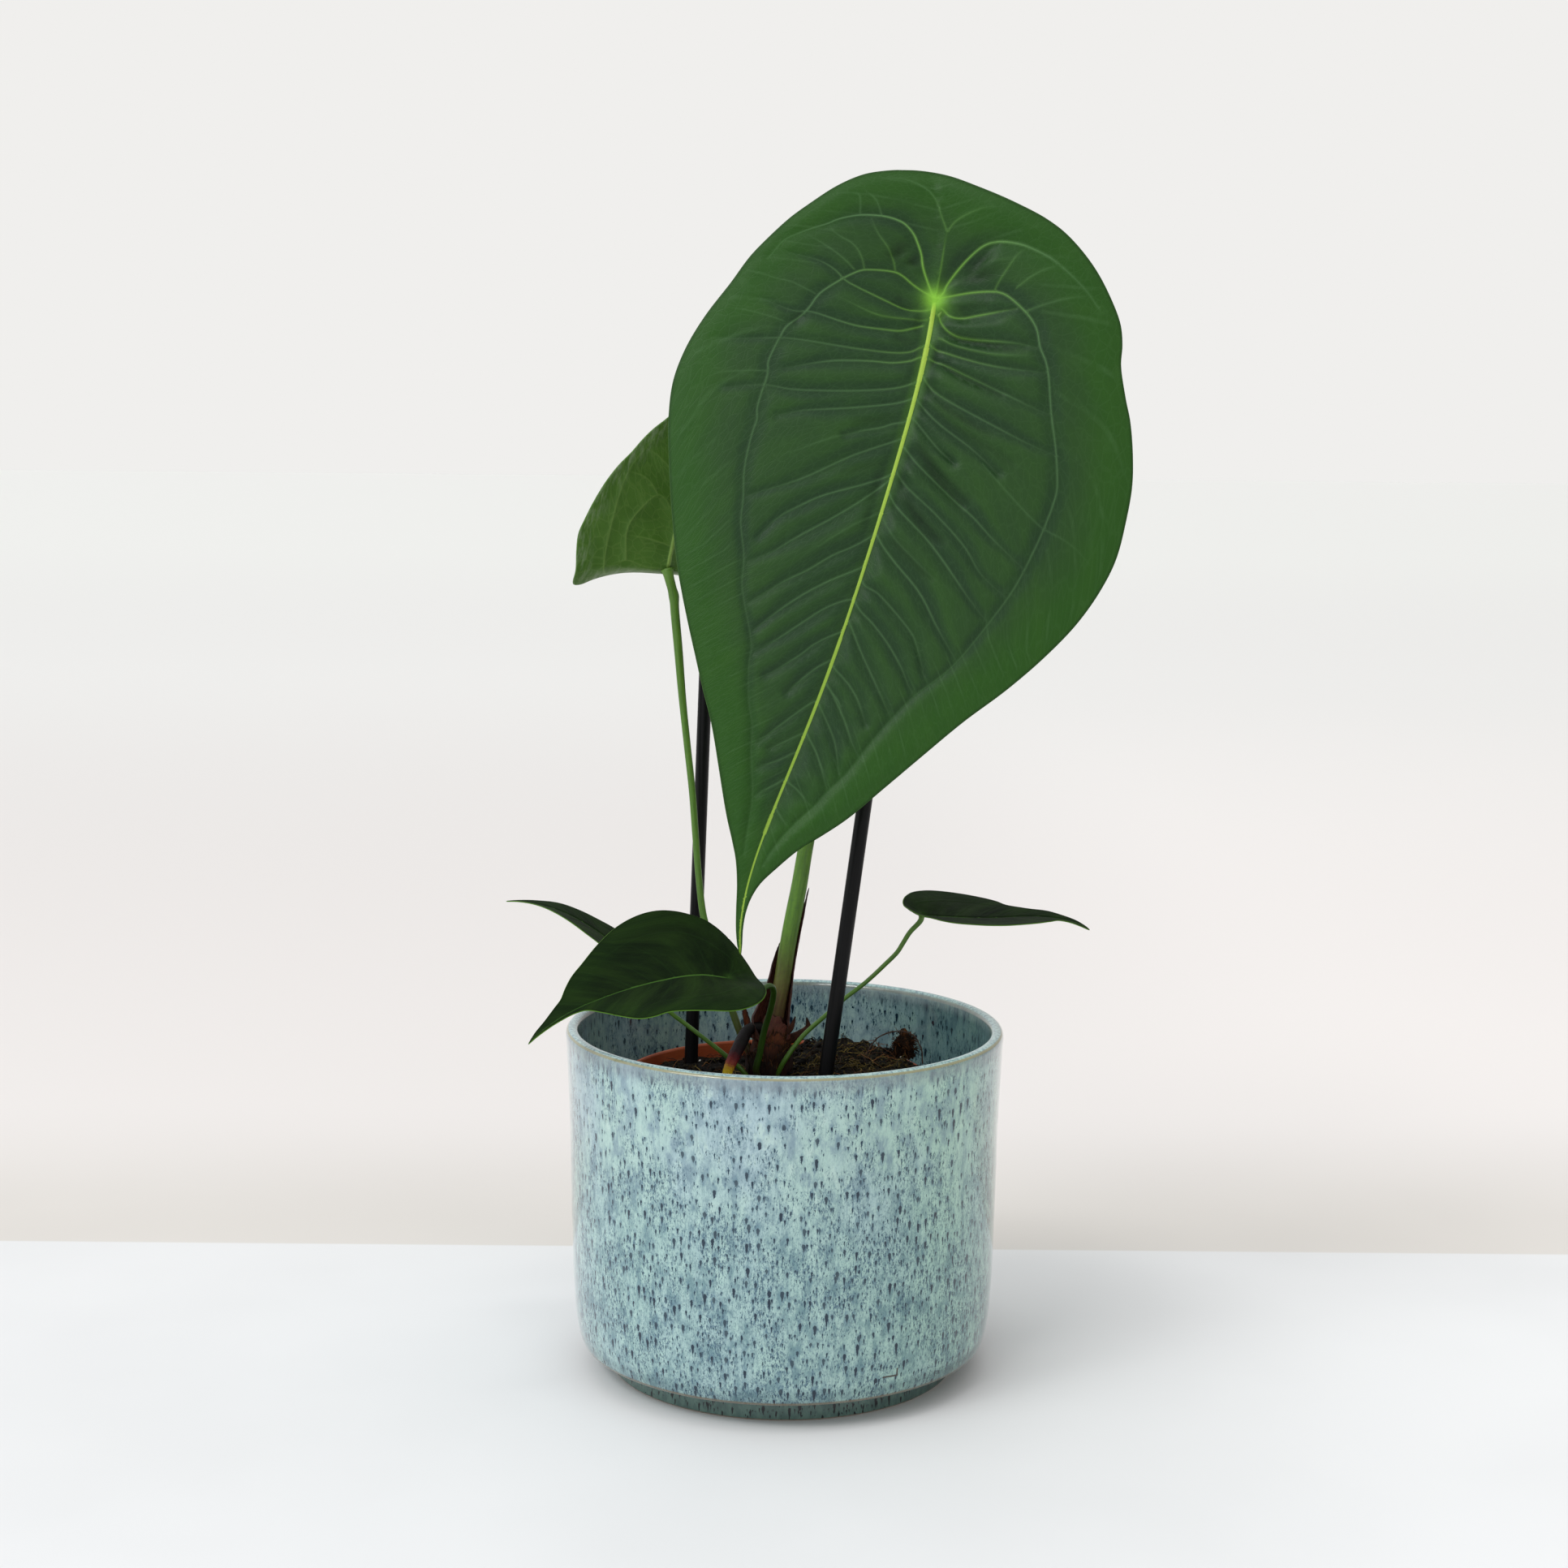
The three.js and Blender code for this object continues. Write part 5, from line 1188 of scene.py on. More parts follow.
col = g.mix(g.mul(g.range(drip, 0.5, 0.74), 0.5), col, g.mix(low_down, lin(116, 142, 155), lin(86, 122, 133)))
col = g.mix(g.mul(g.range(drip, 0.28, 0.45, 1.0, 0.0), 0.42), col, lin(176, 204, 199))
# fine upright stipple, gathered in patches and thicker low down
patches = g.range(g.noise(g.vmul(P, (1, 1, 0.6)), 0.085, 4, 0.65), 0.42, 0.62)
fine = g.noise(g.vmul(PW, (1, 1, 0.38)), 1.5, 4, 0.7)
finer = g.noise(g.vmul(P, (1, 1, 0.3)), 4.2, 2, 0.6)
much = g.add(g.mul(low_down, 0.36), g.add(0.16, g.mul(patches, 0.6)))
stipple = g.mul(g.range(fine, 0.49, 0.6), much)
col = g.mix(g.mul(stipple, 0.9), col, lin(72, 104, 122))
col = g.mix(g.mul(g.mul(g.range(finer, 0.55, 0.66), much), 0.8), col, lin(44, 76, 96))


round_at = g.mul(g.math("ARCTAN2", gx, g.mul(gy, -1.0)), 83.0)  # the join of the pattern lies at the back
ragged = g.noise(P, 1.6, 3, 0.6, colour=True)
rag_x, rag_y, rag_z = g.xyz(ragged)
flat_u = g.add(round_at, g.mul(g.sub(rag_x, 0.5), 0.75))
flat_v = g.add(gz, g.mul(g.sub(rag_y, 0.5), 1.1))


def specks(cell, tall, low, high, thin, halo, tint, strength, base, seed, tail=3.0, ring_tint=(98, 132, 148), ring_much=0.45, power=2.0):
    """Drops of dark glaze: round above, drawn out to a point below."""
    at = g.combine(g.add(g.mul(flat_u, 1 / cell), seed), g.add(g.mul(flat_v, 1 / (cell * tall)), seed), 0.0)
    v = g.cells(at, 1.0, rand=1.0)
    v.voronoi_dimensions = "2D"
    rx, ry, _ = g.xyz(g.vmath("SUBTRACT", at, v.outputs["Position"]))
    rx, ry = g.mul(rx, cell * 1.28), g.mul(ry, cell * tall * 0.82)
    r1, r2, r3 = g.xyz(v.outputs["Color"])
    size = g.range(g.math("POWER", r1, power), 0.0, 1.0, low, high, soft=False)
    present = g.math("GREATER_THAN", r2, thin)
    above = g.math("MAXIMUM", ry, 0.0)
    below = g.math("DIVIDE", g.math("MAXIMUM", g.mul(ry, -1.0), 0.0), g.mul(size, g.range(r3, 0.0, 1.0, tail * 0.5, tail * 1.3, soft=False)))
    narrow = g.math("MAXIMUM", g.sub(1.0, below), 0.02)
    d = g.math("DIVIDE", g.math("SQRT", g.add(g.mul(rx, rx), g.mul(above, above))), g.mul(size, narrow))
    core = g.mul(g.range(d, 0.74, 1.02, 1.0, 0.0), present)
    round_d = g.math("DIVIDE", g.math("SQRT", g.add(g.mul(rx, rx), g.mul(g.mul(ry, ry), 0.3))), size)
    ring = g.mul(g.range(round_d, 0.6, halo, 1.0, 0.0), present)
    base = g.mix(g.mul(ring, ring_much), base, lin(*ring_tint))
    return g.mix(g.mul(core, g.mul(strength, g.range(r3, 0.0, 1.0, 0.8, 1.0))), base, tint), core


in_body = g.range(gz, 126.0, 131.5, 1.0, 0.35)
col, core_d = specks(0.98, 2.2, 0.13, 0.28, g.range(much, 0.2, 1.0, 0.93, 0.2), 1.6, lin(44, 76, 98), in_body, col, 5.3, 3.2, ring_much=0.2)
col, core_b = specks(1.85, 2.0, 0.19, 0.48, g.range(much, 0.2, 1.0, 0.86, 0.1), 2.0, lin(13, 50, 70), in_body, col, 3.7, 3.0, ring_much=0.35)
col, core_e = specks(2.5, 1.9, 0.24, 0.66, g.range(much, 0.2, 1.0, 0.8, 0.2), 2.0, lin(8, 44, 64), in_body, col, 21.7, 3.4, ring_much=0.35)
col, core_a = specks(4.1, 1.6, 0.5, 1.12, g.range(gz, 118.0, 66.0, 0.5, 0.15), 2.3, lin(5, 36, 56), in_body, col, 0.0, 2.6, power=1.3)
core_c = core_e
# the glaze turns greener to one side
col = g.mix(g.mul(g.range(gx, 5.0, 75.0), 0.9), col, g.mix(1.0, col, (0.9, 0.985, 0.86, 1), "MULTIPLY"))
# the rim: paler on top, grey-brown just under it, a khaki line on its outer shoulder
feather = g.mul(g.sub(drip, 0.5), 9.0)
under_rim = g.mul(g.range(g.add(gz, feather), 125.5, 132.0), g.range(gz, 132.6, 133.4, 1.0, 0.0))
col = g.mix(g.mul(under_rim, 0.55), col, lin(112, 120, 128))
rim_top = g.range(gz, 132.9, 133.6)
rim_col = g.mix(g.range(g.noise(PW, 0.8, 4, 0.7), 0.42, 0.62), lin(164, 194, 190), lin(92, 120, 130))
col = g.mix(g.mul(rim_top, 0.75), col, rim_col)
khaki = g.mul(g.range(g.add(gz, g.mul(g.sub(fine, 0.5), 0.5)), 132.5, 132.9), g.mul(g.range(gz, 133.4, 133.7, 1.0, 0.0), g.range(radius, 83.6, 84.1)))
col = g.mix(g.mul(khaki, 0.85), col, lin(142, 136, 96))
inner_line = g.mul(g.range(gz, 131.6, 132.4), g.mul(g.range(gz, 133.2, 133.7, 1.0, 0.0), g.range(radius, 80.9, 80.3)))
col = g.mix(g.mul(inner_line, 0.55), col, lin(116, 112, 92))
brown = g.mul(g.range(gz, 9.5, 10.0), g.mul(g.range(gz, 10.9, 11.7, 1.0, 0.0), g.range(radius, 77.0, 77.6)))
col = g.mix(g.mul(brown, 0.85), col, lin(122, 108, 84))
foot = g.mul(g.range(gz, 9.4, 10.0, 1.0, 0.0), g.range(radius, 60.0, 66.0))
foot_col = g.mix(g.range(cloud, 0.35, 0.65), lin(112, 142, 132), lin(88, 114, 108))
foot_col = g.mix(g.math("MAXIMUM", g.math("MAXIMUM", core_a, core_b), core_e), foot_col, lin(12, 22, 28))
col = g.mix(foot, col, foot_col)
# painted shade: the inner wall is bluer and darker, most of all on the +X side
inner_wall_shade = g.mul(g.range(radius, 80.6, 79.9), g.range(gz, 131.5, 128.0))
shadow_side = g.range(gx, 30.0, 70.0)
col = g.mix(g.mul(inner_wall_shade, g.add(0.35, g.mul(shadow_side, 0.5))), col, g.mix(1.0, col, lin(146, 168, 172), "MULTIPLY"))
# the underside of the foot is bare fired clay
bare = g.mul(g.range(gz, 0.25, 0.9, 1.0, 0.0), 1.0)
col = g.mix(bare, col, lin(150, 132, 112))
# a short crack in the glaze, low on the front
def segment(ax, az, bx, bz, wide):
    """How near the point lies to a short line drawn on the front of the wall."""
    lx, lz = bx - ax, bz - az
    span = lx * lx + lz * lz
    px, pz = g.sub(gx, ax), g.sub(gz, az)
    f = g.math("MULTIPLY", g.add(g.mul(px, lx), g.mul(pz, lz)), 1 / span, clamp=True)
    dx, dz = g.sub(px, g.mul(f, lx)), g.sub(pz, g.mul(f, lz))
    dist = g.math("SQRT", g.add(g.mul(dx, dx), g.mul(dz, dz)))
    return g.range(g.add(dist, g.mul(g.sub(finer, 0.5), 0.25)), wide * 0.5, wide, 1.0, 0.0)


front = g.range(gy, -40.0, -41.0)
crack = g.mul(front, g.math("MAXIMUM", segment(CRACK[0][0], CRACK[0][1], CRACK[1][0], CRACK[1][1], 0.46), segment(CRACK[1][0], CRACK[1][1], CRACK[2][0], CRACK[2][1], 0.38)))
col = g.mix(g.mul(crack, 0.95), col, lin(58, 44, 36))
orange_peel = g.noise(P, 0.5, 2, 0.5)
height = g.add(g.mul(orange_peel, 0.6), g.mul(g.math("MAXIMUM", core_a, core_c), -0.25))
height = g.sub(height, g.mul(crack, 0.8))
rough = g.add(g.range(cloud, 0.3, 0.7, 0.1, 0.18, soft=False), g.mul(bare, 0.55))
glaze = g.shader(Base_Color=col, Roughness=rough, Normal=g.bump(height, 0.08, 0.7))

V, Q, T = turned(COVER_PROFILE, 240, corner=1.0, step=2.2, wobble=0.18)
cover = mesh_object("cover_pot_fired", V, Q, T, None, [glaze])
place(cover, "glaze", "cover_pot")

# ---------------------------------------------------------------- nursery pot
n = Nodes("nursery_plastic", Specular_IOR_Level=0.45)
nP = n.mm()
nx, ny, nz = n.xyz(nP)
scuff = n.noise(n.vmul(nP, (1, 1, 3)), 0.35, 5, 0.65)
nc = n.mix(n.range(n.noise(nP, 0.05, 3, 0.5), 0.35, 0.65), lin(150, 64, 28), lin(166, 78, 36))
nc = n.mix(n.mul(n.range(scuff, 0.5, 0.75), 0.3), nc, lin(140, 66, 32))
dirt = n.noise(nP, 0.25, 5, 0.7)
nc = n.mix(n.mul(n.range(n.add(nz, n.mul(dirt, 14.0)), 116.0, 109.0), n.range(dirt, 0.4, 0.62)), nc, lin(52, 34, 22))
lines_h = n.math("SINE", n.mul(nz, 6.0))
nursery_plastic = n.shader(Base_Color=nc, Roughness=n.range(scuff, 0.25, 0.75, 0.36, 0.56, soft=False),
                           Normal=n.bump(n.add(n.mul(lines_h, 0.2), n.mul(scuff, 0.8)), 0.06, 0.7))
NURSERY_PROFILE = [
    (0, 9.3), (43.2, 9.3), (44, 10.1), (57.5, 103), (59.3, 104.2), (59.8, 112.6), (59.5, 113.3),
    (58.9, 113.3), (58.5, 112.6), (58.1, 104.9), (56.3, 103.6), (42.9, 10.5), (0, 10.5),
]
V, Q, T = turned(NURSERY_PROFILE, 160, x0=-3.5, corner=0.45, step=3.0)
nursery = mesh_object("nursery_pot_moulded", V, Q, T, None, [nursery_plastic])
cutters = Parts()
for i in range(6):
    a = (i + 0.5) / 6 * 2 * math.pi
    c = np.array((-3.5 + 27 * math.cos(a), 27 * math.sin(a)))
    m = 28
    w = np.arange(m) / m * 2 * np.pi
    ringv = np.stack([c[0] + 5 * np.cos(w), c[1] + 5 * np.sin(w)], 1)
    Vc = np.vstack([np.c_[ringv, np.full(m, 6.0)], np.c_[ringv, np.full(m, 13.0)], [(c[0], c[1], 6.0), (c[0], c[1], 13.0)]])
    j = np.arange(m)
    k2 = (j + 1) % m
    cutters.add(Vc, np.stack([j, k2, k2 + m, j + m], 1), np.concatenate([np.stack([np.full(m, 2 * m), k2, j], 1), np.stack([np.full(m, 2 * m + 1), j + m, k2 + m], 1)]))
cutter = cutters.build("cutter", [])
mod = nursery.modifiers.new("holes", "BOOLEAN")
mod.operation, mod.object, mod.solver = "DIFFERENCE", cutter, "EXACT"
dg = bpy.context.evaluated_depsgraph_get()
cut_mesh = bpy.data.meshes.new_from_object(nursery.evaluated_get(dg))
nursery.modifiers.clear()
nursery.data = cut_mesh
bpy.data.objects.remove(cutter)
for poly in cut_mesh.polygons:
    poly.use_smooth = True
place(nursery, "nursery_plastic", "nursery_pot")


# ---------------------------------------------------------------- potting mix
def lump_ball(level):
    """Unit directions and faces of a finely divided icosahedron."""
    import bmesh
    bm = bmesh.new()
    bmesh.ops.create_icosphere(bm, subdivisions=level, radius=1.0)
    verts = np.array([v.co[:] for v in bm.verts])
    faces = np.array([[v.index for v in f.verts] for f in bm.faces])
    bm.free()
    return verts / np.linalg.norm(verts, axis=1)[:, None], faces


BALL = {k: lump_ball(k) for k in (1, 2, 5)}


def turn_matrix(rng):
    q, _ = np.linalg.qr(rng.normal(size=(3, 3)))
    return q if np.linalg.det(q) > 0 else -q


def mix_height(x, y):
    x, y = np.asarray(x, float), np.asarray(y, float)
    r = np.hypot(x + 3.5, y)
    heap = smooth((x + 8) / 26) * (1 - 0.45 * smooth((-y - 8) / 34))
    z = 108 + 8.8 * heap + 3.2 * np.exp(-((x + 6) ** 2 + (y - 6) ** 2) / 190)
    z = z + 3 * np.exp(-((x + 37) ** 2 + (y - 30) ** 2) / 160) + 0.7 * np.sin(0.31 * x + 0.5) * np.sin(0.27 * y + 1.3)
    return lerp(z, np.minimum(z, 112), smooth((r - 54.5) / 3.4))


def mix_surface(x, y):
    """The height with its crumbly relief."""
    x, y = np.asarray(x, float), np.asarray(y, float)
    p = np.stack([x, y, np.zeros(len(x))], 1)
    rough = 1.15 * fbm(p / 6.5, 31, 3) + 0.75 * fbm(p / 2.4, 33, 3) + 0.35 * fbm(p / 1.1, 35, 2)
    edge = smooth((57.8 - np.hypot(x + 3.5, y)) / 3)
    return mix_height(x, y) - 0.55 + rough * lerp(0.35, 1, edge)


sides = 340
radii = np.concatenate([np.arange(1.5, 14, 1.8), np.arange(14, 57.6, 0.82)])
ang = np.arange(sides) / sides * 2 * np.pi
RX = -3.5 + radii[:, None] * np.cos(ang)
RY = radii[:, None] * np.sin(ang)
RZ = mix_surface(RX.ravel(), RY.ravel()).reshape(RX.shape)
rows = [np.stack([RX, RY, RZ], -1)]
for rr, zz in ((57.3, 106.0), (55.7, 103.0), (52.6, 81.0), (49.2, 57.0), (45.8, 33.0), (42.4, 10.9)):
    rows.append(np.stack([-3.5 + rr * np.cos(ang), rr * np.sin(ang), np.full(sides, zz)], -1)[None])
grid = np.concatenate(rows)
m = len(grid)
i, j = np.meshgrid(np.arange(m - 1), np.arange(sides), indexing="ij")
k = (j + 1) % sides
quads = np.stack([i * sides + j, (i + 1) * sides + j, (i + 1) * sides + k, i * sides + k], -1).reshape(-1, 4)
V = np.vstack([grid.reshape(-1, 3), (-3.5, 0, mix_surface([-3.5], [0])[0]), (-3.5, 0, 10.9)])
j = np.arange(sides)
k = (j + 1) % sides
tris = np.concatenate([
    np.stack([np.full(sides, m * sides), j, k], 1),
    np.stack([np.full(sides, m * sides + 1), (m - 1) * sides + k, (m - 1) * sides + j], 1)])

s = Nodes("potting_mix", Specular_IOR_Level=0.1)
sp = s.mm()
sx, sy, sz = s.xyz(sp)
clods = s.cells(sp, 0.42, "F1")
grit = s.cells(sp, 1.3, "F1")
g1, g2, g3 = s.xyz(grit.outputs["Color"])
c = s.mix(s.range(s.noise(sp, 0.12, 4, 0.6), 0.35, 0.65), lin(8, 6, 5), lin(15, 11, 8))
c = s.mix(s.mul(s.range(g1, 0.7, 0.97), 0.5), c, lin(40, 26, 15))
c = s.mix(s.mul(s.range(g2, 0.8, 0.98), 0.45), c, lin(46, 42, 20))
c = s.mix(s.mul(s.range(s.noise(sp, 1.6, 5, 0.75), 0.5, 0.75), 0.5), c, lin(12, 10, 8))
mix_height_bump = s.add(s.mul(s.range(clods.outputs["Distance"], 0.0, 1.0, 1.0, 0.0), 1.0), s.mul(s.noise(sp, 1.5, 6, 0.75), 0.8))
mix_soil = s.shader(Base_Color=c, Roughness=s.range(g3, 0.0, 1.0, 0.62, 0.95, soft=False), Normal=s.bump(mix_height_bump, 0.7, 0.9))
place(mesh_object("mix_surface", V, quads, tris, None, [mix_soil]), "mix", "potting_mix")


def tinted(name, dark, mid, light, rough=0.7, depth=0.12, scale=2.0, spec=0.35, streak=6.0):
    """A fibrous or crumbly stuff whose pieces each take their own tone."""
    n = Nodes(name, Specular_IOR_Level=spec)
    p = n.mm()
    tone = n.attr("tone")
    grain = n.noise(p, scale, 4, 0.7)
    c = n.ramp(n.math("ADD", tone, n.mul(n.sub(grain, 0.5), 0.5), clamp=True), [(0.0, dark), (0.5, mid), (1.0, light)])
    fine = n.noise(n.vmul(p, (1, 1, 1 / streak)), scale * 3, 3, 0.7)
    c = n.mix(n.mul(n.range(fine, 0.45, 0.7), 0.4), c, n.mix(1.0, c, (0.45, 0.42, 0.4, 1), "MULTIPLY"))
    return n.shader(Base_Color=c, Roughness=n.range(grain, 0.25, 0.75, rough - 0.1, rough + 0.12, soft=False),
                    Normal=n.bump(n.add(grain, n.mul(fine, 0.6)), depth, 0.9))


crumb_stuff = tinted("crumbs", lin(7, 5, 4), lin(15, 11, 8), lin(46, 31, 18), 0.8, 0.2, 1.6, spec=0.12)
moss_stuff = tinted("moss", lin(10, 9, 5), lin(34, 30, 14), lin(116, 98, 48), 0.75, 0.06, 3.0, spec=0.15)
fibre_stuff = tinted("fibres", lin(18, 10, 6), lin(58, 34, 17), lin(138, 92, 50), 0.7, 0.05, 3.0, spec=0.2)
perlite_stuff = tinted("perlite", lin(176, 172, 160), lin(214, 210, 200), lin(238, 236, 230), 0.85, 0.15, 1.2)

rng = np.random.default_rng(11)


def spot_on_mix(rng, reach=55.5):
    while True:
        x, y = rng.uniform(-60, 55), rng.uniform(-57, 57)
        if math.hypot(x + 3.5, y) < reach and math.hypot(x + 5.5, y - 5.5) > 9.5:
            return x, y


def lump(rng, level, size, centre, seed, spread=0.35, noise_at=1.1):
    v, f = BALL[level]
    stretch = np.exp(rng.normal(0, spread, 3))
    stretch /= stretch.prod() ** (1 / 3)
    bumps = 1 + 0.34 * fbm(v * noise_at + seed, seed, 3)
    return (v * bumps[:, None] * stretch * size) @ turn_matrix(rng).T + np.array(centre), f


crumbs = Parts()
for i in range(1050):
    x, y = spot_on_mix(rng)
    size = float(np.clip(0.42 * math.exp(rng.normal(0.25, 0.5)), 0.3, 2.3))
    if x > 2 and rng.random() < 0.4:
        size *= 1.25
    z = mix_surface([x], [y])[0] + size * rng.uniform(-0.1, 0.4)
    v, f = lump(rng, 1 if size < 1.1 else 2, size, (x, y, z), i % 50)
    crumbs.add(v, tris=f, tone=float(np.clip(rng.normal(0.35, 0.25), 0, 1)))
place(crumbs.build("mix_crumbs", [crumb_stuff]), "mix")

perlite = Parts()
for i in range(7):
    x, y = spot_on_mix(rng, 50) if i > 4 else (rng.uniform(42, 50), rng.uniform(14, 24))
    size = rng.uniform(0.3, 0.65)
    v, f = lump(rng, 2, size, (x, y, mix_surface([x], [y])[0] + 0.5 * size), i)
    perlite.add(v, tris=f, tone=rng.uniform(0.3, 0.9))
place(perlite.build("perlite_grains", [perlite_stuff]), "mix")


def strand(rng, start, heading, length, rise, bend, step=0.9, surface=True):
    """A loose thread that wanders over the mix from its start."""
    n = max(5, int(length / step))
    p = [np.array(start, float)]
    h = heading
    w = rng.normal(0, 1, n)
    w = np.convolve(w, np.ones(3) / 3, "same")
    for q in range(n):
        h += bend * w[q]
        x, y, _ = p[-1] + np.array([math.cos(h) * step, math.sin(h) * step, 0])
        p.append(np.array([x, y, 0]))
    p = np.array(p)
    f = np.linspace(0, 1, len(p))
    if surface:
        keep = np.hypot(p[:, 0] + 3.5, p[:, 1]) < 56.6
        p, f = p[keep], f[keep]
        if len(p) < 4:
            return None
        p[:, 2] = mix_surface(p[:, 0], p[:, 1]) + 0.15 + rise * np.sin(f * math.pi * rng.uniform(0.8, 1.15)) + 0.25 * np.sin(f * 9 + rng.uniform(0, 6))
    return p


moss = Parts()
for i in range(420):
    for _ in range(30):
        x, y = spot_on_mix(rng, 54)
        if rng.random() < 0.12 + 0.88 * math.exp(-(((x - 24) / 19) ** 2) - ((y - 8) / 26) ** 2):
            break
    length = rng.uniform(4, 13)
    p = strand(rng, (x, y, 0), rng.uniform(0, 2 * math.pi), length, rng.uniform(0.3, 1.7), 0.24)
    if p is None:
        continue
    r = rng.uniform(0.13, 0.26) * np.sin(np.linspace(0.35, 2.9, len(p))) ** 0.5
    v, q, t, *_ = tube(p, r, 5, (False, False))
    tone = float(np.clip(rng.normal(0.5, 0.25), 0, 1))
    moss.add(v, q, t, tone=tone)
    # tiny leaflets along the strand
    for w in range(2, len(p) - 1, 2):
        a = rng.uniform(0, 2 * math.pi)
        out = np.array([math.cos(a), math.sin(a), rng.uniform(0.2, 0.9)])
        leaflet = np.stack([p[w], p[w] + out * 0.45, p[w] + out * 0.85 + (0, 0, -0.1)])
        v, q, t, *_ = tube(leaflet, np.array([0.1, 0.13, 0.03]), 4, (False, False))
        moss.add(v, q, t, tone=min(1, tone + 0.15))
place(moss.build("moss_strands", [moss_stuff]), "mix")

fibres = Parts()
for i in range(190):
    x, y = spot_on_mix(rng, 54)
    p = strand(rng, (x, y, 0), rng.uniform(0, 2 * math.pi), rng.uniform(6, 20), rng.uniform(0.4, 2.8), 0.14)
    if p is None:
        continue
    v, q, t, *_ = tube(p, rng.uniform(0.09, 0.2) * np.linspace(1, 0.5, len(p)), 5, (False, False))
    fibres.add(v, q, t, tone=float(np.clip(rng.normal(0.45, 0.28), 0, 1)))
place(fibres.build("mix_fibres", [fibre_stuff]), "mix")

# ---------------------------------------------------------------- coir chunk and root fibre
coir_stuff = tinted("coir", lin(12, 8, 5), lin(36, 22, 12), lin(104, 64, 33), 0.85, 0.35, 1.5, spec=0.12)
rng = np.random.default_rng(23)
v, f = BALL[5]
x, y, z = v.T
base_lump = 1 + 0.13 * np.sin(5 * x + 2 * z) - 0.1 * np.cos(4 * y + 3 * z)
rough = 0.3 * fbm(v * 1.9, 64, 3) + 0.2 * fbm(v * 5, 62, 3) + 0.08 * fbm(v * 14, 63, 2)
CHUNK, CHUNK_HALF = np.array((47.8, 21.5, 120.2)), np.array((5, 3.8, 6.2))
core = v * (base_lump * (0.86 + rough))[:, None] * CHUNK_HALF + CHUNK
# its tone follows the relief: painted shade in the hollows, paler on the bumps
place(mesh_object("coir_core", core, tris=f, attributes={"tone": np.clip(0.4 + 1.6 * rough, 0, 1)}, materials=[coir_stuff]), "coir", "coir_chunk")
hairs = Parts()
for i in range(230):
    d = rng.normal(size=3)
    d /= np.linalg.norm(d)
    if d[2] < -0.6:
        continue
    start = CHUNK + d * CHUNK_HALF * 0.82
    side = np.cross(d, rng.normal(size=3))
    side /= np.linalg.norm(side)
    lie = rng.uniform(0.3, 1.0)
    n = 8
    w = np.linspace(0, 1, n)[:, None]
    length = rng.uniform(1.5, 5.5)
    p = start + side * w * length * lie + d * (w * length * (1 - lie) * 0.9 + 0.9 * np.sin(w * 2.6)) - np.array([0, 0, 1.2]) * w**2
    p = p + 0.18 * rng.normal(size=(n, 3)) * w
    p[:, 2] = np.minimum(p[:, 2], 128.2)
    q0, q1, q2, *_ = tube(p, rng.uniform(0.08, 0.2) * np.linspace(1, 0.45, n), 5, (False, False))
    hairs.add(q0, q1, q2, tone=float(np.clip(rng.normal(0.5, 0.25), 0, 1)))
place(hairs.build("coir_fibres", [coir_stuff]), "coir")

FIBRE = [(31.6, 11, 115), (33.3, 12, 121), (36.6, 14, 125.2), (41.5, 15.4, 127), (46.7, 15.6, 127.6), (51.3, 14.4, 125.8), (54, 13, 121.4), (54.6, 12, 115.5)]
line, x = spaced(centripetal(FIBRE, 16), 0.7)
kink = np.stack([x * 0.35, x * 0, x * 0], 1)
line = line + 0.28 * np.stack([fbm(kink + 3, 71, 3), fbm(kink + 9, 72, 3), fbm(kink + 15, 73, 3)], 1)
r = 0.27 + 0.07 * fbm(np.stack([x * 0.8, x * 0, x * 0], 1), 74, 2)
v, q, t, *_ = tube(line, r, 9, (True, True))
thread = Parts()
thread.add(v, q, t, tone=0.22)
for i in range(9):
    w = rng.integers(6, len(line) - 6)
    out = rng.normal(size=3)
    out /= np.linalg.norm(out)
    tip = np.stack([line[w], line[w] + out * 0.9, line[w] + out * 1.6 + (0, 0, 0.4), line[w] + out * 2.4 + (0, 0, 0.3)])
    v, q, t, *_ = tube(centripetal(tip, 5), np.linspace(0.14, 0.05, 16), 5, (False, True))
    thread.add(v, q, t, tone=0.4)
thread_stuff = tinted("root_thread", lin(30, 20, 14), lin(70, 46, 28), lin(120, 84, 50), 0.6, 0.05, 2.0)
place(thread.build("root_thread", [thread_stuff]), "coir", "root_fibre")


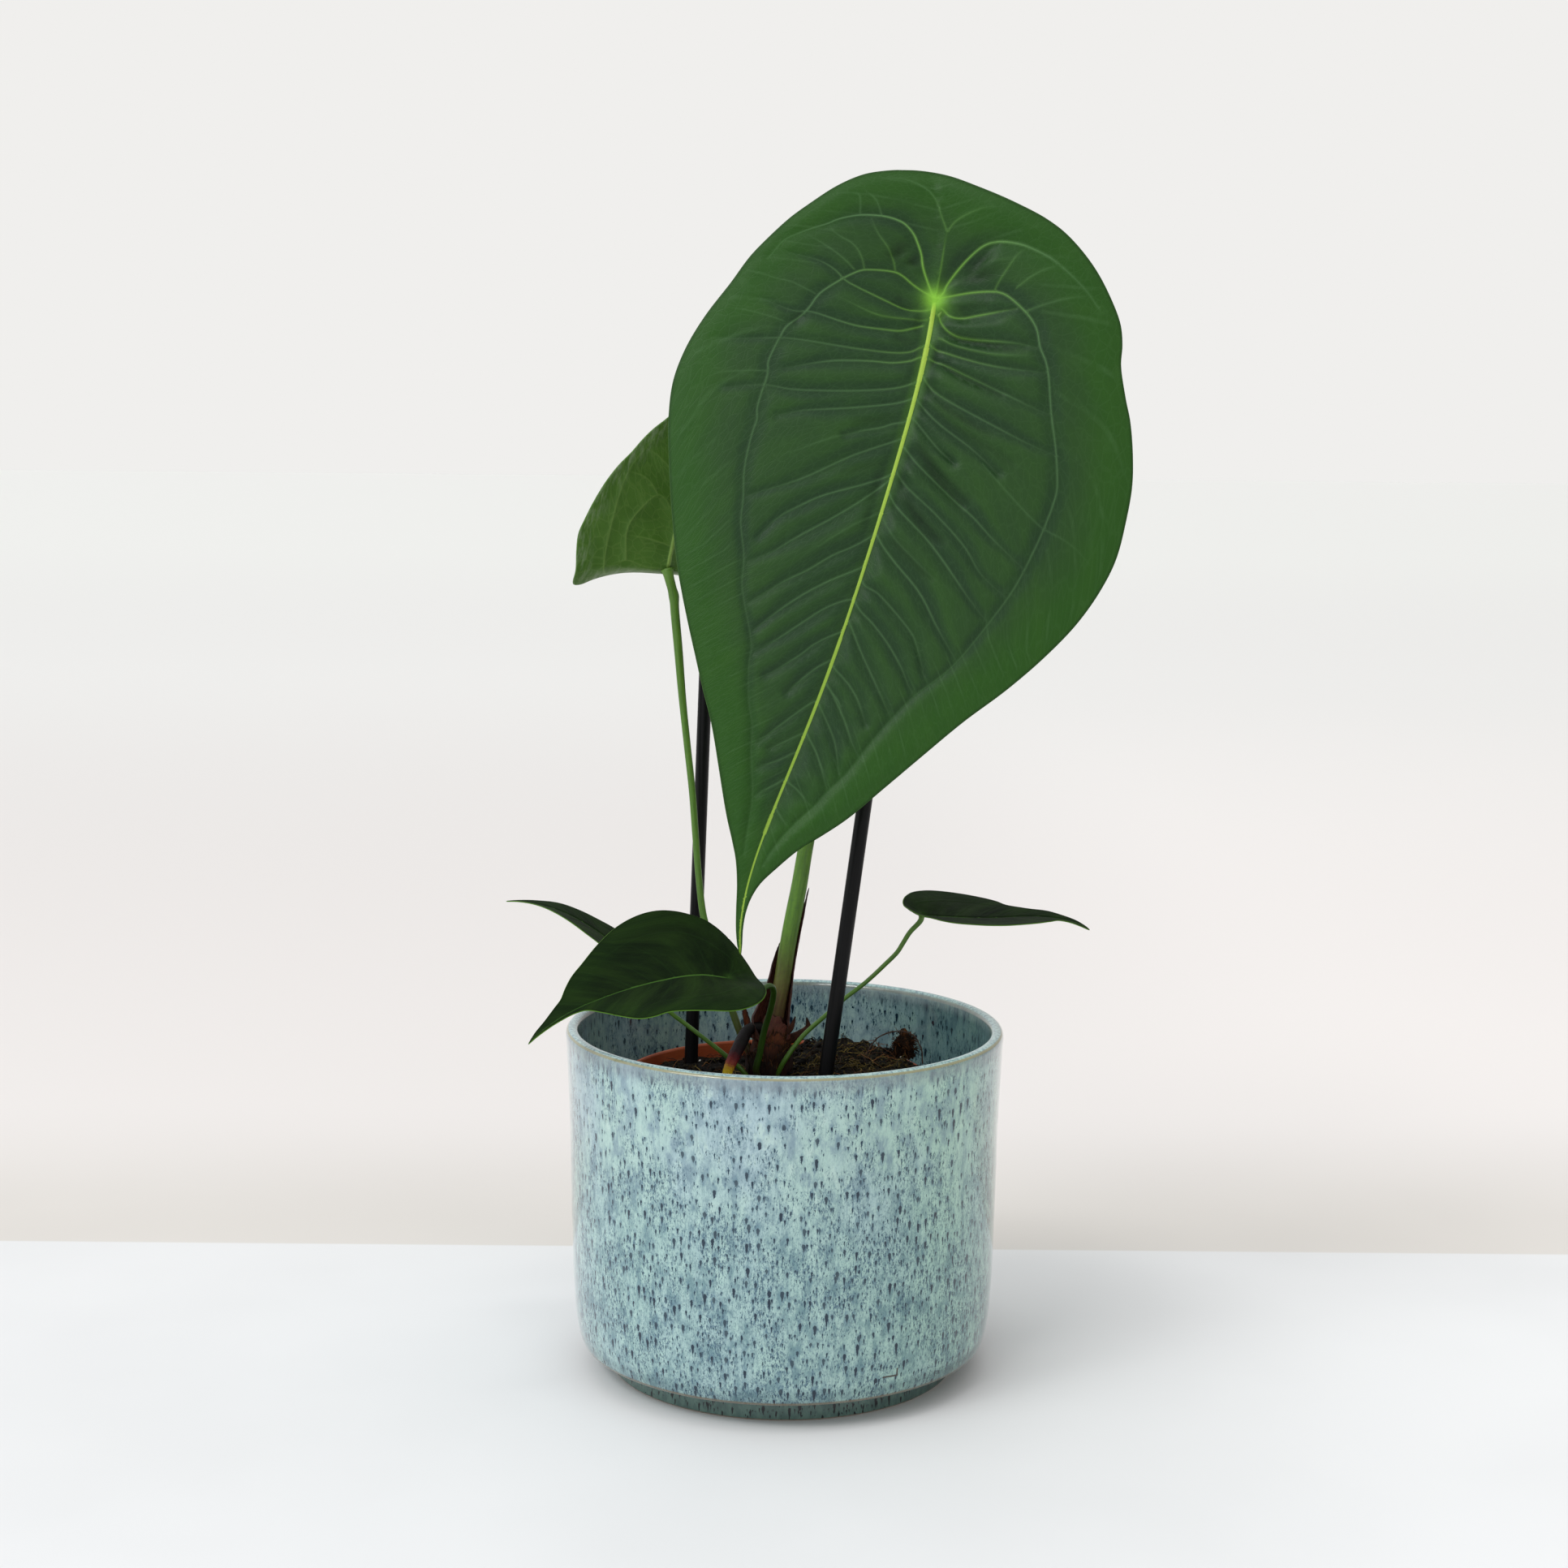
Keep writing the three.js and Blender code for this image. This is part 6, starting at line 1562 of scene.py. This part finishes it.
# ---------------------------------------------------------------- crown and dried sheaths
def papery(name, dark, mid, light, edge_col, red, rough=0.62, spec=0.4):
    """Dry sheath: long fibres, blotches, a darker torn edge."""
    n = Nodes(name, Specular_IOR_Level=spec)
    u, w, h = n.xyz(n.attr("st", vector=True))
    edge, tint, tone = n.attr("edge"), n.attr("tint"), n.attr("tone")
    p = n.mm()
    blotch = n.noise(n.vmul(p, (1, 1, 0.5)), 0.28, 4, 0.65)
    grain = n.noise(n.combine(n.mul(u, 3.2), n.mul(w, 0.22), h), 1.0, 5, 0.7)
    hair = n.noise(n.combine(n.mul(u, 9.0), n.mul(w, 0.5), h), 1.0, 3, 0.65)
    c = n.ramp(n.math("ADD", n.mul(blotch, 0.55), n.mul(grain, 0.5), clamp=True), [(0.3, dark), (0.5, mid), (0.72, light)])
    c = n.mix(n.mul(tint, n.range(blotch, 0.25, 0.7, 0.55, 1.0)), c, n.mix(n.range(grain, 0.35, 0.65), red, light))
    c = n.mix(n.mul(n.range(hair, 0.52, 0.72), 0.6), c, dark)
    c = n.mix(n.mul(n.range(hair, 0.26, 0.42, 1.0, 0.0), 0.35), c, n.mix(0.5, light, lin(206, 160, 116)))
    c = n.mix(n.range(edge, 0.0, 1.1, 0.8, 0.0), c, edge_col)
    # tone darkens the colour: a painted shade low on the crown, and some pieces' own darker parts
    c = n.mix(tone, c, n.mix(1.0, c, (0.16, 0.14, 0.13, 1), "MULTIPLY"))
    height = n.add(n.mul(grain, 1.0), n.mul(hair, 0.6))
    return n.shader(Base_Color=c, Roughness=n.range(grain, 0.3, 0.7, rough - 0.1, rough + 0.12, soft=False), Normal=n.bump(height, 0.28, 0.9))


crown_skin = papery("crown_skin", lin(15, 8, 5), lin(62, 30, 15), lin(140, 76, 38), lin(30, 14, 8), lin(104, 44, 30), spec=0.3)
sheath_skin = papery("sheath_skin", lin(34, 16, 14), lin(76, 38, 30), lin(122, 72, 54), lin(44, 22, 16), lin(112, 56, 50), 0.48)
pink_skin = papery("base_sheath_skin", lin(34, 17, 13), lin(78, 42, 32), lin(136, 86, 66), lin(92, 50, 34), lin(128, 66, 60), 0.42)

CROWN = centripetal([(-6.3, 6.2, 98), (-6.1, 6, 112), (-5.7, 5.7, 122), (-4.7, 5.2, 130), (-4, 5, 135)], 20)
CROWN_R = [6, 8.6, 9, 8.3, 6.8, 5.6, 4.3]


def crown_axis(z):
    return np.interp(z, CROWN[:, 2], CROWN[:, 0]), np.interp(z, CROWN[:, 2], CROWN[:, 1])


def crown_radius(z):
    x = np.interp(z, CROWN[:, 2], np.linspace(0, 1, len(CROWN)))
    return read_along(CROWN_R, x)


line, x = spaced(CROWN, 0.55)
f = x / x[-1]
n_side = 110
r = read_along(CROWN_R, f)[:, None] * np.ones(n_side)
ang = np.arange(n_side) / n_side * 2 * np.pi
pts = np.stack([np.tile(np.cos(ang), len(x)) * 2.2, np.tile(np.sin(ang), len(x)) * 2.2, np.repeat(x, n_side) * 0.22], 1)
flute = np.stack([np.tile(np.cos(ang), len(x)) * 7, np.tile(np.sin(ang), len(x)) * 7, np.repeat(x, n_side) * 0.1], 1)
rings = 0.35 * np.sin(line[:, 2] * 1.35)[:, None]
r = r * 0.9 + 0.75 * fbm(pts, 81, 4).reshape(len(x), n_side) + 0.38 * fbm(flute, 82, 3).reshape(len(x), n_side) + rings
v, q, t, along, angle, mm_ = tube(line, r, n_side, (True, True))
# its tone is painted shade, darker low down where the crown sits in the pot
place(mesh_object("crown_core", v, q, t, {
    "st": np.stack([angle * 7, mm_, np.full(len(v), 2.0)], 1), "edge": np.full(len(v), 3.0),
    "tint": np.full(len(v), 0.2), "tone": 0.6 + 0.4 * smooth((128 - v[:, 2]) / 10)}, [crown_skin]), "dry_sheath", "crown")


def wrap(axis, radius, a0, a1, z0, z1, cols, rows_n, rag, seed, half, flare=0.6, frill=0.35):
    """A torn papery wrap round an axis: angles in degrees from +Y towards +X."""
    a = np.radians(np.linspace(a0, a1, cols))
    c = np.arange(cols) * (radius(z1) * abs(math.radians(a1 - a0)) / cols)
    key = np.stack([c * 0.55, c * 0, np.full(cols, seed * 3.7)], 1)
    top = z1 + rag * fbm(key, seed, 4, 0.65) + 0.5 * rag * fbm(key * 4, seed + 3, 2)
    taper = np.sin(np.linspace(0.12, math.pi - 0.12, cols)) ** 0.35
    top = z0 + (top - z0) * (0.35 + 0.65 * taper)
    w = np.linspace(0, 1, rows_n)
    Z = z0 + (top[None] - z0) * w[:, None]
    A = np.repeat(a[None], rows_n, 0) + 0.05 * fbm(np.stack([np.repeat(w * 3, cols), np.tile(c * 0.2, rows_n), np.full(rows_n * cols, seed)], 1), seed + 5, 2).reshape(rows_n, cols)
    key = np.stack([np.tile(c * 0.35, rows_n), Z.ravel() * 0.15, np.full(rows_n * cols, seed * 1.3)], 1)
    ax, ay = axis(Z.ravel())
    R = radius(Z.ravel()) + frill * fbm(key, seed + 7, 3) + flare * np.repeat(w, cols) ** 3 * (0.4 + 0.6 * (fbm(key * 0.6, seed + 9, 2) + 0.5))
    P = np.stack([ax + R * np.sin(A.ravel()), ay + R * np.cos(A.ravel()), Z.ravel()], 1).reshape(rows_n, cols, 3)
    edge_up = (top[None] - Z)
    edge_side = np.minimum(c, c[-1] - c)[None] * np.ones((rows_n, 1))
    edge = np.minimum(edge_up, edge_side)
    h = half * (0.35 + 0.65 * smooth(edge / 0.9))
    V, Q = sheet_solid(P, h)
    stv = np.stack([np.repeat(c[None], rows_n, 0).ravel(), Z.ravel(), np.full(rows_n * cols, seed)], 1)
    return V, Q, np.vstack([stv, stv]), np.tile(edge.ravel(), 2), P


def gather(name, wraps, material, slot, *nodes):
    """One object from several wraps with their attributes; their tone darkens towards the foot, a painted shade low in
    the crown.
    """
    vs, qs, st_, ed, ti, to = [], [], [], [], [], []
    n = 0
    for V, Q, S, E, tint, tone in wraps:
        vs.append(V); qs.append(Q + n); st_.append(S); ed.append(E)
        ti.append(np.full(len(V), tint)); to.append(np.clip(tone + 0.85 * smooth((129 - V[:, 2]) / 9), 0, 1))
        n += len(V)
    o = mesh_object(name, np.concatenate(vs), np.concatenate(qs), (), {
        "st": np.concatenate(st_), "edge": np.concatenate(ed), "tint": np.concatenate(ti), "tone": np.concatenate(to)}, [material])
    return place(o, slot, *nodes)


wraps = []
tops = []
for a0, a1, z0, z1, add, tint, tone, seed in (
    (95, 255, 106, 126.5, 0.15, 0.25, 0.1, 3), (150, 300, 104, 121, 0.55, 0.1, 0.35, 4), (60, 175, 107, 124, 0.5, 0.5, 0.2, 5),
    (205, 330, 110, 129.5, 0.1, 0.45, 0.0, 6), (-40, 90, 108, 128.5, 0.3, 0.2, 0.2, 7), (120, 215, 116, 130.5, -0.1, 0.35, 0.0, 8),
    (235, 385, 104, 123.5, 0.6, 0.2, 0.35, 9), (40, 130, 116, 131.5, -0.15, 0.5, 0.05, 10),
):
    V, Q, S, E, P = wrap(crown_axis, lambda z, add=add: crown_radius(z) * 0.93 + add, a0, a1, z0, z1, 64, 34, 2.3, seed, 0.2, 0.7)
    wraps.append((V, Q, S, E, tint, tone))
    tops.append(P[-1])
gather("crown_scales", wraps, crown_skin, "dry_sheath")

fringe = Parts()
rng = np.random.default_rng(31)
for top in tops:
    for w in range(2, len(top) - 2):
        for _ in range(2):
            if rng.random() < 0.42:
                continue
            p0 = top[w] + rng.normal(0, 0.15, 3) - (0, 0, 1.2)
            ax, ay = crown_axis(p0[2])
            out = np.array([p0[0] - ax, p0[1] - ay, 0])
            out /= np.linalg.norm(out)
            length = rng.uniform(1.4, 3.6)
            lean = out * rng.uniform(-0.1, 0.4) + np.cross(out, (0, 0, 1)) * rng.normal(0, 0.3) + np.array([0, 0, 1])
            g = np.linspace(0, 1, 6)[:, None]
            p = p0 + lean * g * length + rng.normal(0, 0.08, (6, 3)) * g
            v, q, t, *_ = tube(p, rng.uniform(0.06, 0.14) * np.linspace(1, 0.35, 6), 4, (False, False))
            fringe.add(v, q, t, tone=float(np.clip(rng.normal(0.5, 0.25), 0, 1)))
place(fringe.build("crown_fringe", [fibre_stuff]), "dry_sheath")

# The thin, paler wrap at the foot of the tall petiole.
P1 = centripetal(PETIOLES[0][1][:6], 20)


def stalk_axis(z):
    return np.interp(z, P1[:, 2], P1[:, 0]), np.interp(z, P1[:, 2], P1[:, 1])


wraps = []
for a0, a1, z0, z1, r0, r1, tint, seed in ((140, 262, 127, 137.0, 5.2, 4.6, 0.55, 12), (100, 200, 126, 133.5, 5.6, 5.2, 0.7, 13)):
    V, Q, S, E, P = wrap(stalk_axis, lambda z, r0=r0, r1=r1, z0=z0, z1=z1: np.interp(z, [z0, z1], [r0, r1]), a0, a1, z0, z1, 52, 30, 1.3, seed, 0.16, 0.2, 0.2)
    wraps.append((V, Q, S, E, tint, 0.0))
gather("petiole_foot_wrap", wraps, pink_skin, "dry_sheath")

# The tall cataphyll behind the petiole, split down its front, its foot set in the crown.
cols, rows_n = 96, 150
u = np.linspace(-1, 1, cols)[None]
w = np.linspace(-0.17, 1, rows_n)[:, None]
up = np.clip(w, 0, 1)
down = np.clip(-w / 0.17, 0, 1)
rag_l = 0.06 * fbm(np.stack([w.ravel() * 16, w.ravel() * 0, w.ravel() * 0 + 2], 1), 91, 4, 0.65)[:, None]
rag_r = 0.05 * fbm(np.stack([w.ravel() * 18, w.ravel() * 0, w.ravel() * 0 + 7], 1), 92, 4, 0.65)[:, None]
z = 135.6 + 50.4 * w
right = np.interp(w, [-0.17, 0, 1], [128, 112, 92])
left = np.where(w >= 0, lerp(-104, 84, smooth((w - 0.3) / 0.8) ** 0.9), -104 - 44 * down)
tooth = 5.0 * np.exp(-((z - 146.5) / 0.9) ** 2) + 4.0 * np.exp(-((z - 152.0) / 1.4) ** 2) - 3.0 * np.exp(-((z - 149.5) / 1.2) ** 2)
right = right + tooth + 60 * rag_r * 1.2
left = left + 75 * rag_l * (0.4 + 0.6 * np.sin(up * math.pi))
angle = np.radians(lerp(left, right, (u + 1) / 2))
low = (1 - up) ** 3
flare = 1.6 + 3.6 * smooth(-np.degrees(angle) / 90)
radius = 3.75 + low * flare + 0.25 * np.sin(6 * up + angle / math.radians(30))
radius = lerp(radius, 6.6 + 1.3 * smooth(-np.degrees(angle) / 90), smooth(down * 1.1))
key = np.stack([np.degrees(angle).ravel() * 0.05, (z + 0 * u).ravel() * 0.16, np.full(cols * rows_n, 5.0)], 1)
radius = radius + 0.28 * fbm(key, 93, 3).reshape(rows_n, cols) + 0.1 * np.sin(np.degrees(angle) * 0.6 + 0.5 * np.sin(z))
Zs = z + 0 * u + 1.1 * fbm(np.stack([np.degrees(angle).ravel() * 0.08, key[:, 1] * 0, key[:, 2]], 1), 94, 3).reshape(rows_n, cols) * up**6
ax, ay = stalk_axis(Zs.ravel())
P = np.stack([ax + radius.ravel() * np.sin(angle.ravel()), ay + radius.ravel() * np.cos(angle.ravel()), Zs.ravel()], 1).reshape(rows_n, cols, 3)
arc = np.radians(right - left) * 3.9
edge = np.minimum((u + 1) / 2, 1 - (u + 1) / 2) * arc
edge = np.minimum(edge, (1 - w) * 50.4 + 0 * u)
V, Q = sheet_solid(P, 0.24 * (0.3 + 0.7 * smooth(edge / 1.0)))
stv = np.stack([((u + 1) / 2 * 14 + 0 * w).ravel(), (z + 0 * u).ravel(), np.full(cols * rows_n, 8.0)], 1)
dark_left = smooth((-(u + 0 * w) - 0.72) / 0.2) * 0.7 * smooth((w + 0 * u) * 3 - 0.2) + 0.3 * smooth((w + 0 * u - 0.7) / 0.3)
pinkish = np.clip(0.55 - 0.3 * up + 0.3 * down + 0 * u, 0, 1)
tall = mesh_object("cataphyll_sheath", V, Q, (), {
    "st": np.vstack([stv, stv]), "edge": np.tile(edge.ravel(), 2), "tint": np.tile(pinkish.ravel(), 2),
    "tone": np.tile(dark_left.ravel(), 2)}, [sheath_skin])
place(tall, "dry_sheath", "cataphyll_tall")

# The remains of an older sheath at the left.
cols, rows_n = 34, 44
u = np.linspace(-1, 1, cols)[None]
w = np.linspace(0, 1, rows_n)[:, None]
zz = 127 + (12.2 - 2.2 * np.abs(u) + 1.2 * fbm(np.stack([u.ravel() * 6, u.ravel() * 0, u.ravel() * 0], 1), 95, 3)[None]) * w
uu = u * (1 - 0.28 * w**2) + 0.12 * fbm(np.stack([w.ravel() * 7, w.ravel() * 0, w.ravel() * 0], 1), 96, 3)[:, None] * np.abs(u)
P = np.stack([-13.9 - 1.5 * uu - 1.9 * w + 0.3 * uu**2, 5.7 + 0.6 * uu + 0.3 * np.sin(3 * uu + 4 * w), zz], -1)
edge = np.minimum((1 - np.abs(u)) * 1.6 + 0 * w, (1 - w) * 12 + 0 * u)
V, Q = sheet_solid(P, 0.24 * (0.3 + 0.7 * smooth(edge / 0.7)))
stv = np.stack([(u * 1.6 + 0 * w).ravel(), zz.ravel(), np.full(cols * rows_n, 3.0)], 1)
old = mesh_object("old_sheath_strip", V, Q, (), {
    "st": np.vstack([stv, stv]), "edge": np.tile(edge.ravel(), 2), "tint": np.full(len(V), 0.6), "tone": np.full(len(V), 0.0)}, [crown_skin])
place(old, "dry_sheath", "old_sheath")


def dry_scale(name, path, radius, node, flat, seed):
    """A dried scale: flattened, creased, drawn out to a point."""
    line, x = spaced(centripetal(path, 18), 0.28)
    f = x / x[-1]
    sides = 28
    ang = np.arange(sides) / sides * 2 * np.pi
    r = read_along(radius, f)[:, None] * (1 + 0.16 * np.cos(2 * ang) - 0.2 * bell(np.cos(ang - 1.2) - 1, 0.35))
    key = np.stack([np.tile(np.cos(ang), len(x)) * 1.5, np.tile(np.sin(ang), len(x)) * 1.5, np.repeat(x, sides) * 0.35], 1)
    r = r * (1 + 0.18 * fbm(key, seed, 3).reshape(len(x), sides))
    V, Q, T, along, angle, mm = tube(line, np.maximum(r, 0.12), sides, (True, True))
    o = mesh_object(name, V, Q, T, {
        "st": np.stack([angle * 1.4, mm, np.full(len(V), seed)], 1), "edge": 3 * (1 - along), "tint": np.full(len(V), 0.3),
        "tone": np.full(len(V), 0.45)}, [crown_skin])
    return place(o, "dry_sheath", node)


dry_scale("scale_hook", [(0.5, 6, 125.6), (5, 6, 127.6), (9.1, 6, 131), (8.6, 6, 134.9)], [1.5, 1.7, 1.2, 0.25], "scale_hooked", 0.6, 101)
dry_scale("scale_point", [(-0.6, 2.6, 128.6), (2.4, 2.1, 131.6), (4.1, 2, 136.2)], [1.2, 0.95, 0.2], "scale_small", 0.6, 102)

# ---------------------------------------------------------------- aerial root
ROOT = [(-8, 4, 131.8), (-13.9, 2, 131.1), (-16.8, -2, 126.9), (-19.4, -7, 122.6), (-21.8, -10, 117.4), (-23, -11.2, 112.5)]
line, x = spaced(centripetal(ROOT, 24), 0.4)
f = x / x[-1]
sides = 40
ang = np.arange(sides) / sides * 2 * np.pi
key = np.stack([np.tile(np.cos(ang), len(x)) * 1.3, np.tile(np.sin(ang), len(x)) * 1.3, np.repeat(x, sides) * 0.3], 1)
fine_key = key * np.array([3, 3, 4])
r = read_along([1.8, 2.15, 2.55, 2.4, 2.0, 1.3], f)
r = np.where(f > 0.82, np.minimum(r, 1.9 * np.sqrt(np.clip(1 - ((f - 0.82) / 0.19) ** 2, 0.02, 1))), r)
r = r[:, None] * (1 + 0.09 * fbm(key, 111, 3).reshape(len(x), sides) + 0.04 * fbm(fine_key, 112, 3).reshape(len(x), sides))
V, Q, T, along, angle, mm = tube(line, r, sides, (True, True))
n = Nodes("root_skin", Specular_IOR_Level=0.2)
a = n.attr("along")
p = n.mm()
grain = n.noise(p, 1.3, 5, 0.7)
fleck = n.noise(p, 3.5, 4, 0.7)
c = n.ramp(n.math("ADD", a, n.mul(n.sub(grain, 0.5), 0.16), clamp=True), [
    (0.0, lin(20, 16, 16)), (0.46, lin(24, 19, 21)), (0.6, lin(44, 20, 27)), (0.68, lin(110, 34, 40)),
    (0.75, lin(152, 66, 52)), (0.79, lin(196, 138, 46)), (0.84, lin(226, 192, 36)), (1.0, lin(214, 186, 50))])
c = n.mix(n.mul(n.range(fleck, 0.5, 0.75), 0.4), c, n.mix(1.0, c, (0.5, 0.45, 0.5, 1), "MULTIPLY"))
c = n.mix(n.mul(n.range(grain, 0.28, 0.42, 1.0, 0.0), 0.12), c, lin(110, 96, 96))
root_skin = n.shader(Base_Color=c, Roughness=n.range(grain, 0.3, 0.7, 0.4, 0.62, soft=False), Normal=n.bump(n.add(grain, n.mul(fleck, 0.5)), 0.16, 0.9))
place(mesh_object("aerial_root_skin", V, Q, T, {"along": along}, [root_skin]), "root", "aerial_root")

# ---------------------------------------------------------------- stakes
n = Nodes("stake_black", Specular_IOR_Level=0.2, IOR=1.46)
p = n.mm()
ang_, mm_at = n.attr("angle"), n.attr("mm")
draw = n.noise(n.combine(n.mul(ang_, 5.0), n.mul(mm_at, 0.012), 0.0), 1.0, 4, 0.6)
scuff = n.noise(p, 0.6, 5, 0.7)
c = n.mix(n.range(draw, 0.35, 0.7), lin(7, 7, 8), lin(15, 14, 16))
c = n.mix(n.mul(n.range(scuff, 0.6, 0.8), 0.35), c, lin(46, 45, 46))
dust = n.mul(n.range(mm_at, 60.0, 100.0, 1.0, 0.0), n.range(scuff, 0.45, 0.65))
c = n.mix(n.mul(dust, 0.0), c, lin(60, 48, 36))
stake_black = n.shader(Base_Color=c, Roughness=n.range(draw, 0.25, 0.75, 0.3, 0.44, soft=False), Normal=n.bump(n.add(n.mul(draw, 1.0), n.mul(scuff, 0.4)), 0.05, 0.7))
for name, node, foot, top, r0 in (("stake_left_rod", "stake_left", (-39.4, 24.5, 50), (-31.9, 46, 294), 2.7),
                                  ("stake_right_rod", "stake_right", (3.65, -22.2, 25), (52.25, 18, 388), 2.9)):
    foot, top = np.array(foot, float), np.array(top, float)
    length = np.linalg.norm(top - foot)
    x = np.concatenate([[0, 0.25, 0.6, 1.1], np.arange(6, length - 2, 6), [length - 1.1, length - 0.6, length - 0.25, length]])
    line = foot + (top - foot) * (x / length)[:, None]
    r = np.full(len(x), r0)
    for k, cut in ((0, 0.8), (1, 0.38), (2, 0.12), (-1, 0.8), (-2, 0.38), (-3, 0.12)):
        r[k] -= cut
    V, Q, T, along, angle, mm = tube(line, r, 48, (False, False))
    place(mesh_object(name, V, Q, T, {"angle": angle, "mm": mm}, [stake_black]), "stake_plastic", node)

# ---------------------------------------------------------------- floor
floor_mat = Nodes("floor", Specular_IOR_Level=0.2)
fp = floor_mat.mm()
fx, fy, fz = floor_mat.xyz(fp)
fn = floor_mat.noise(fp, 0.006, 3, 0.5)
base_near = floor_mat.mix(floor_mat.range(fn, 0.3, 0.7), lin(222, 222, 222), lin(226, 226, 226))
# painted light: the near floor grows lighter towards the front
near_floor_painted_light = floor_mat.mix(floor_mat.range(fy, -60.0, -420.0), base_near, floor_mat.mix(1.0, base_near, (1.07, 1.075, 1.085, 1), "MULTIPLY"))
# behind the line the floor takes the wall's tone, with painted shade darkest just behind the line and fading further
# off
far_floor_painted_shade = floor_mat.mix(floor_mat.range(fn, 0.3, 0.7), lin(212, 207, 201), lin(215, 210, 204))
far_floor_painted_shade = floor_mat.mix(floor_mat.range(fy, 133.0, 380.0), far_floor_painted_shade, lin(227, 222, 219))
far_floor_painted_shade = floor_mat.mix(floor_mat.range(fy, 700.0, 3200.0), far_floor_painted_shade, lin(237, 235, 232))
far_floor_painted_shade = floor_mat.mix(floor_mat.range(fy, 3200.0, 9000.0), far_floor_painted_shade, lin(240, 239, 235))
fc = floor_mat.mix(floor_mat.range(fy, 131.0, 133.5), near_floor_painted_light, far_floor_painted_shade)
# painted light: the floor is lighter to the right, fading out between 1.2 and 3 m back
fc = floor_mat.mix(floor_mat.mul(floor_mat.range(fx, 0.0, 420.0), floor_mat.range(fy, 3000.0, 1200.0)), fc, floor_mat.mix(1.0, fc, (1.09, 1.09, 1.09, 1), "MULTIPLY"))
floor_mat.shader(Base_Color=fc, Roughness=0.6)
floor = mesh_object("floor", [(-30000, -4000, 0), (30000, -4000, 0), (30000, 60000, 0), (-30000, 60000, 0)], [(0, 1, 2, 3)], materials=[floor_mat.material], flat=True)

bpy.context.view_layer.update()
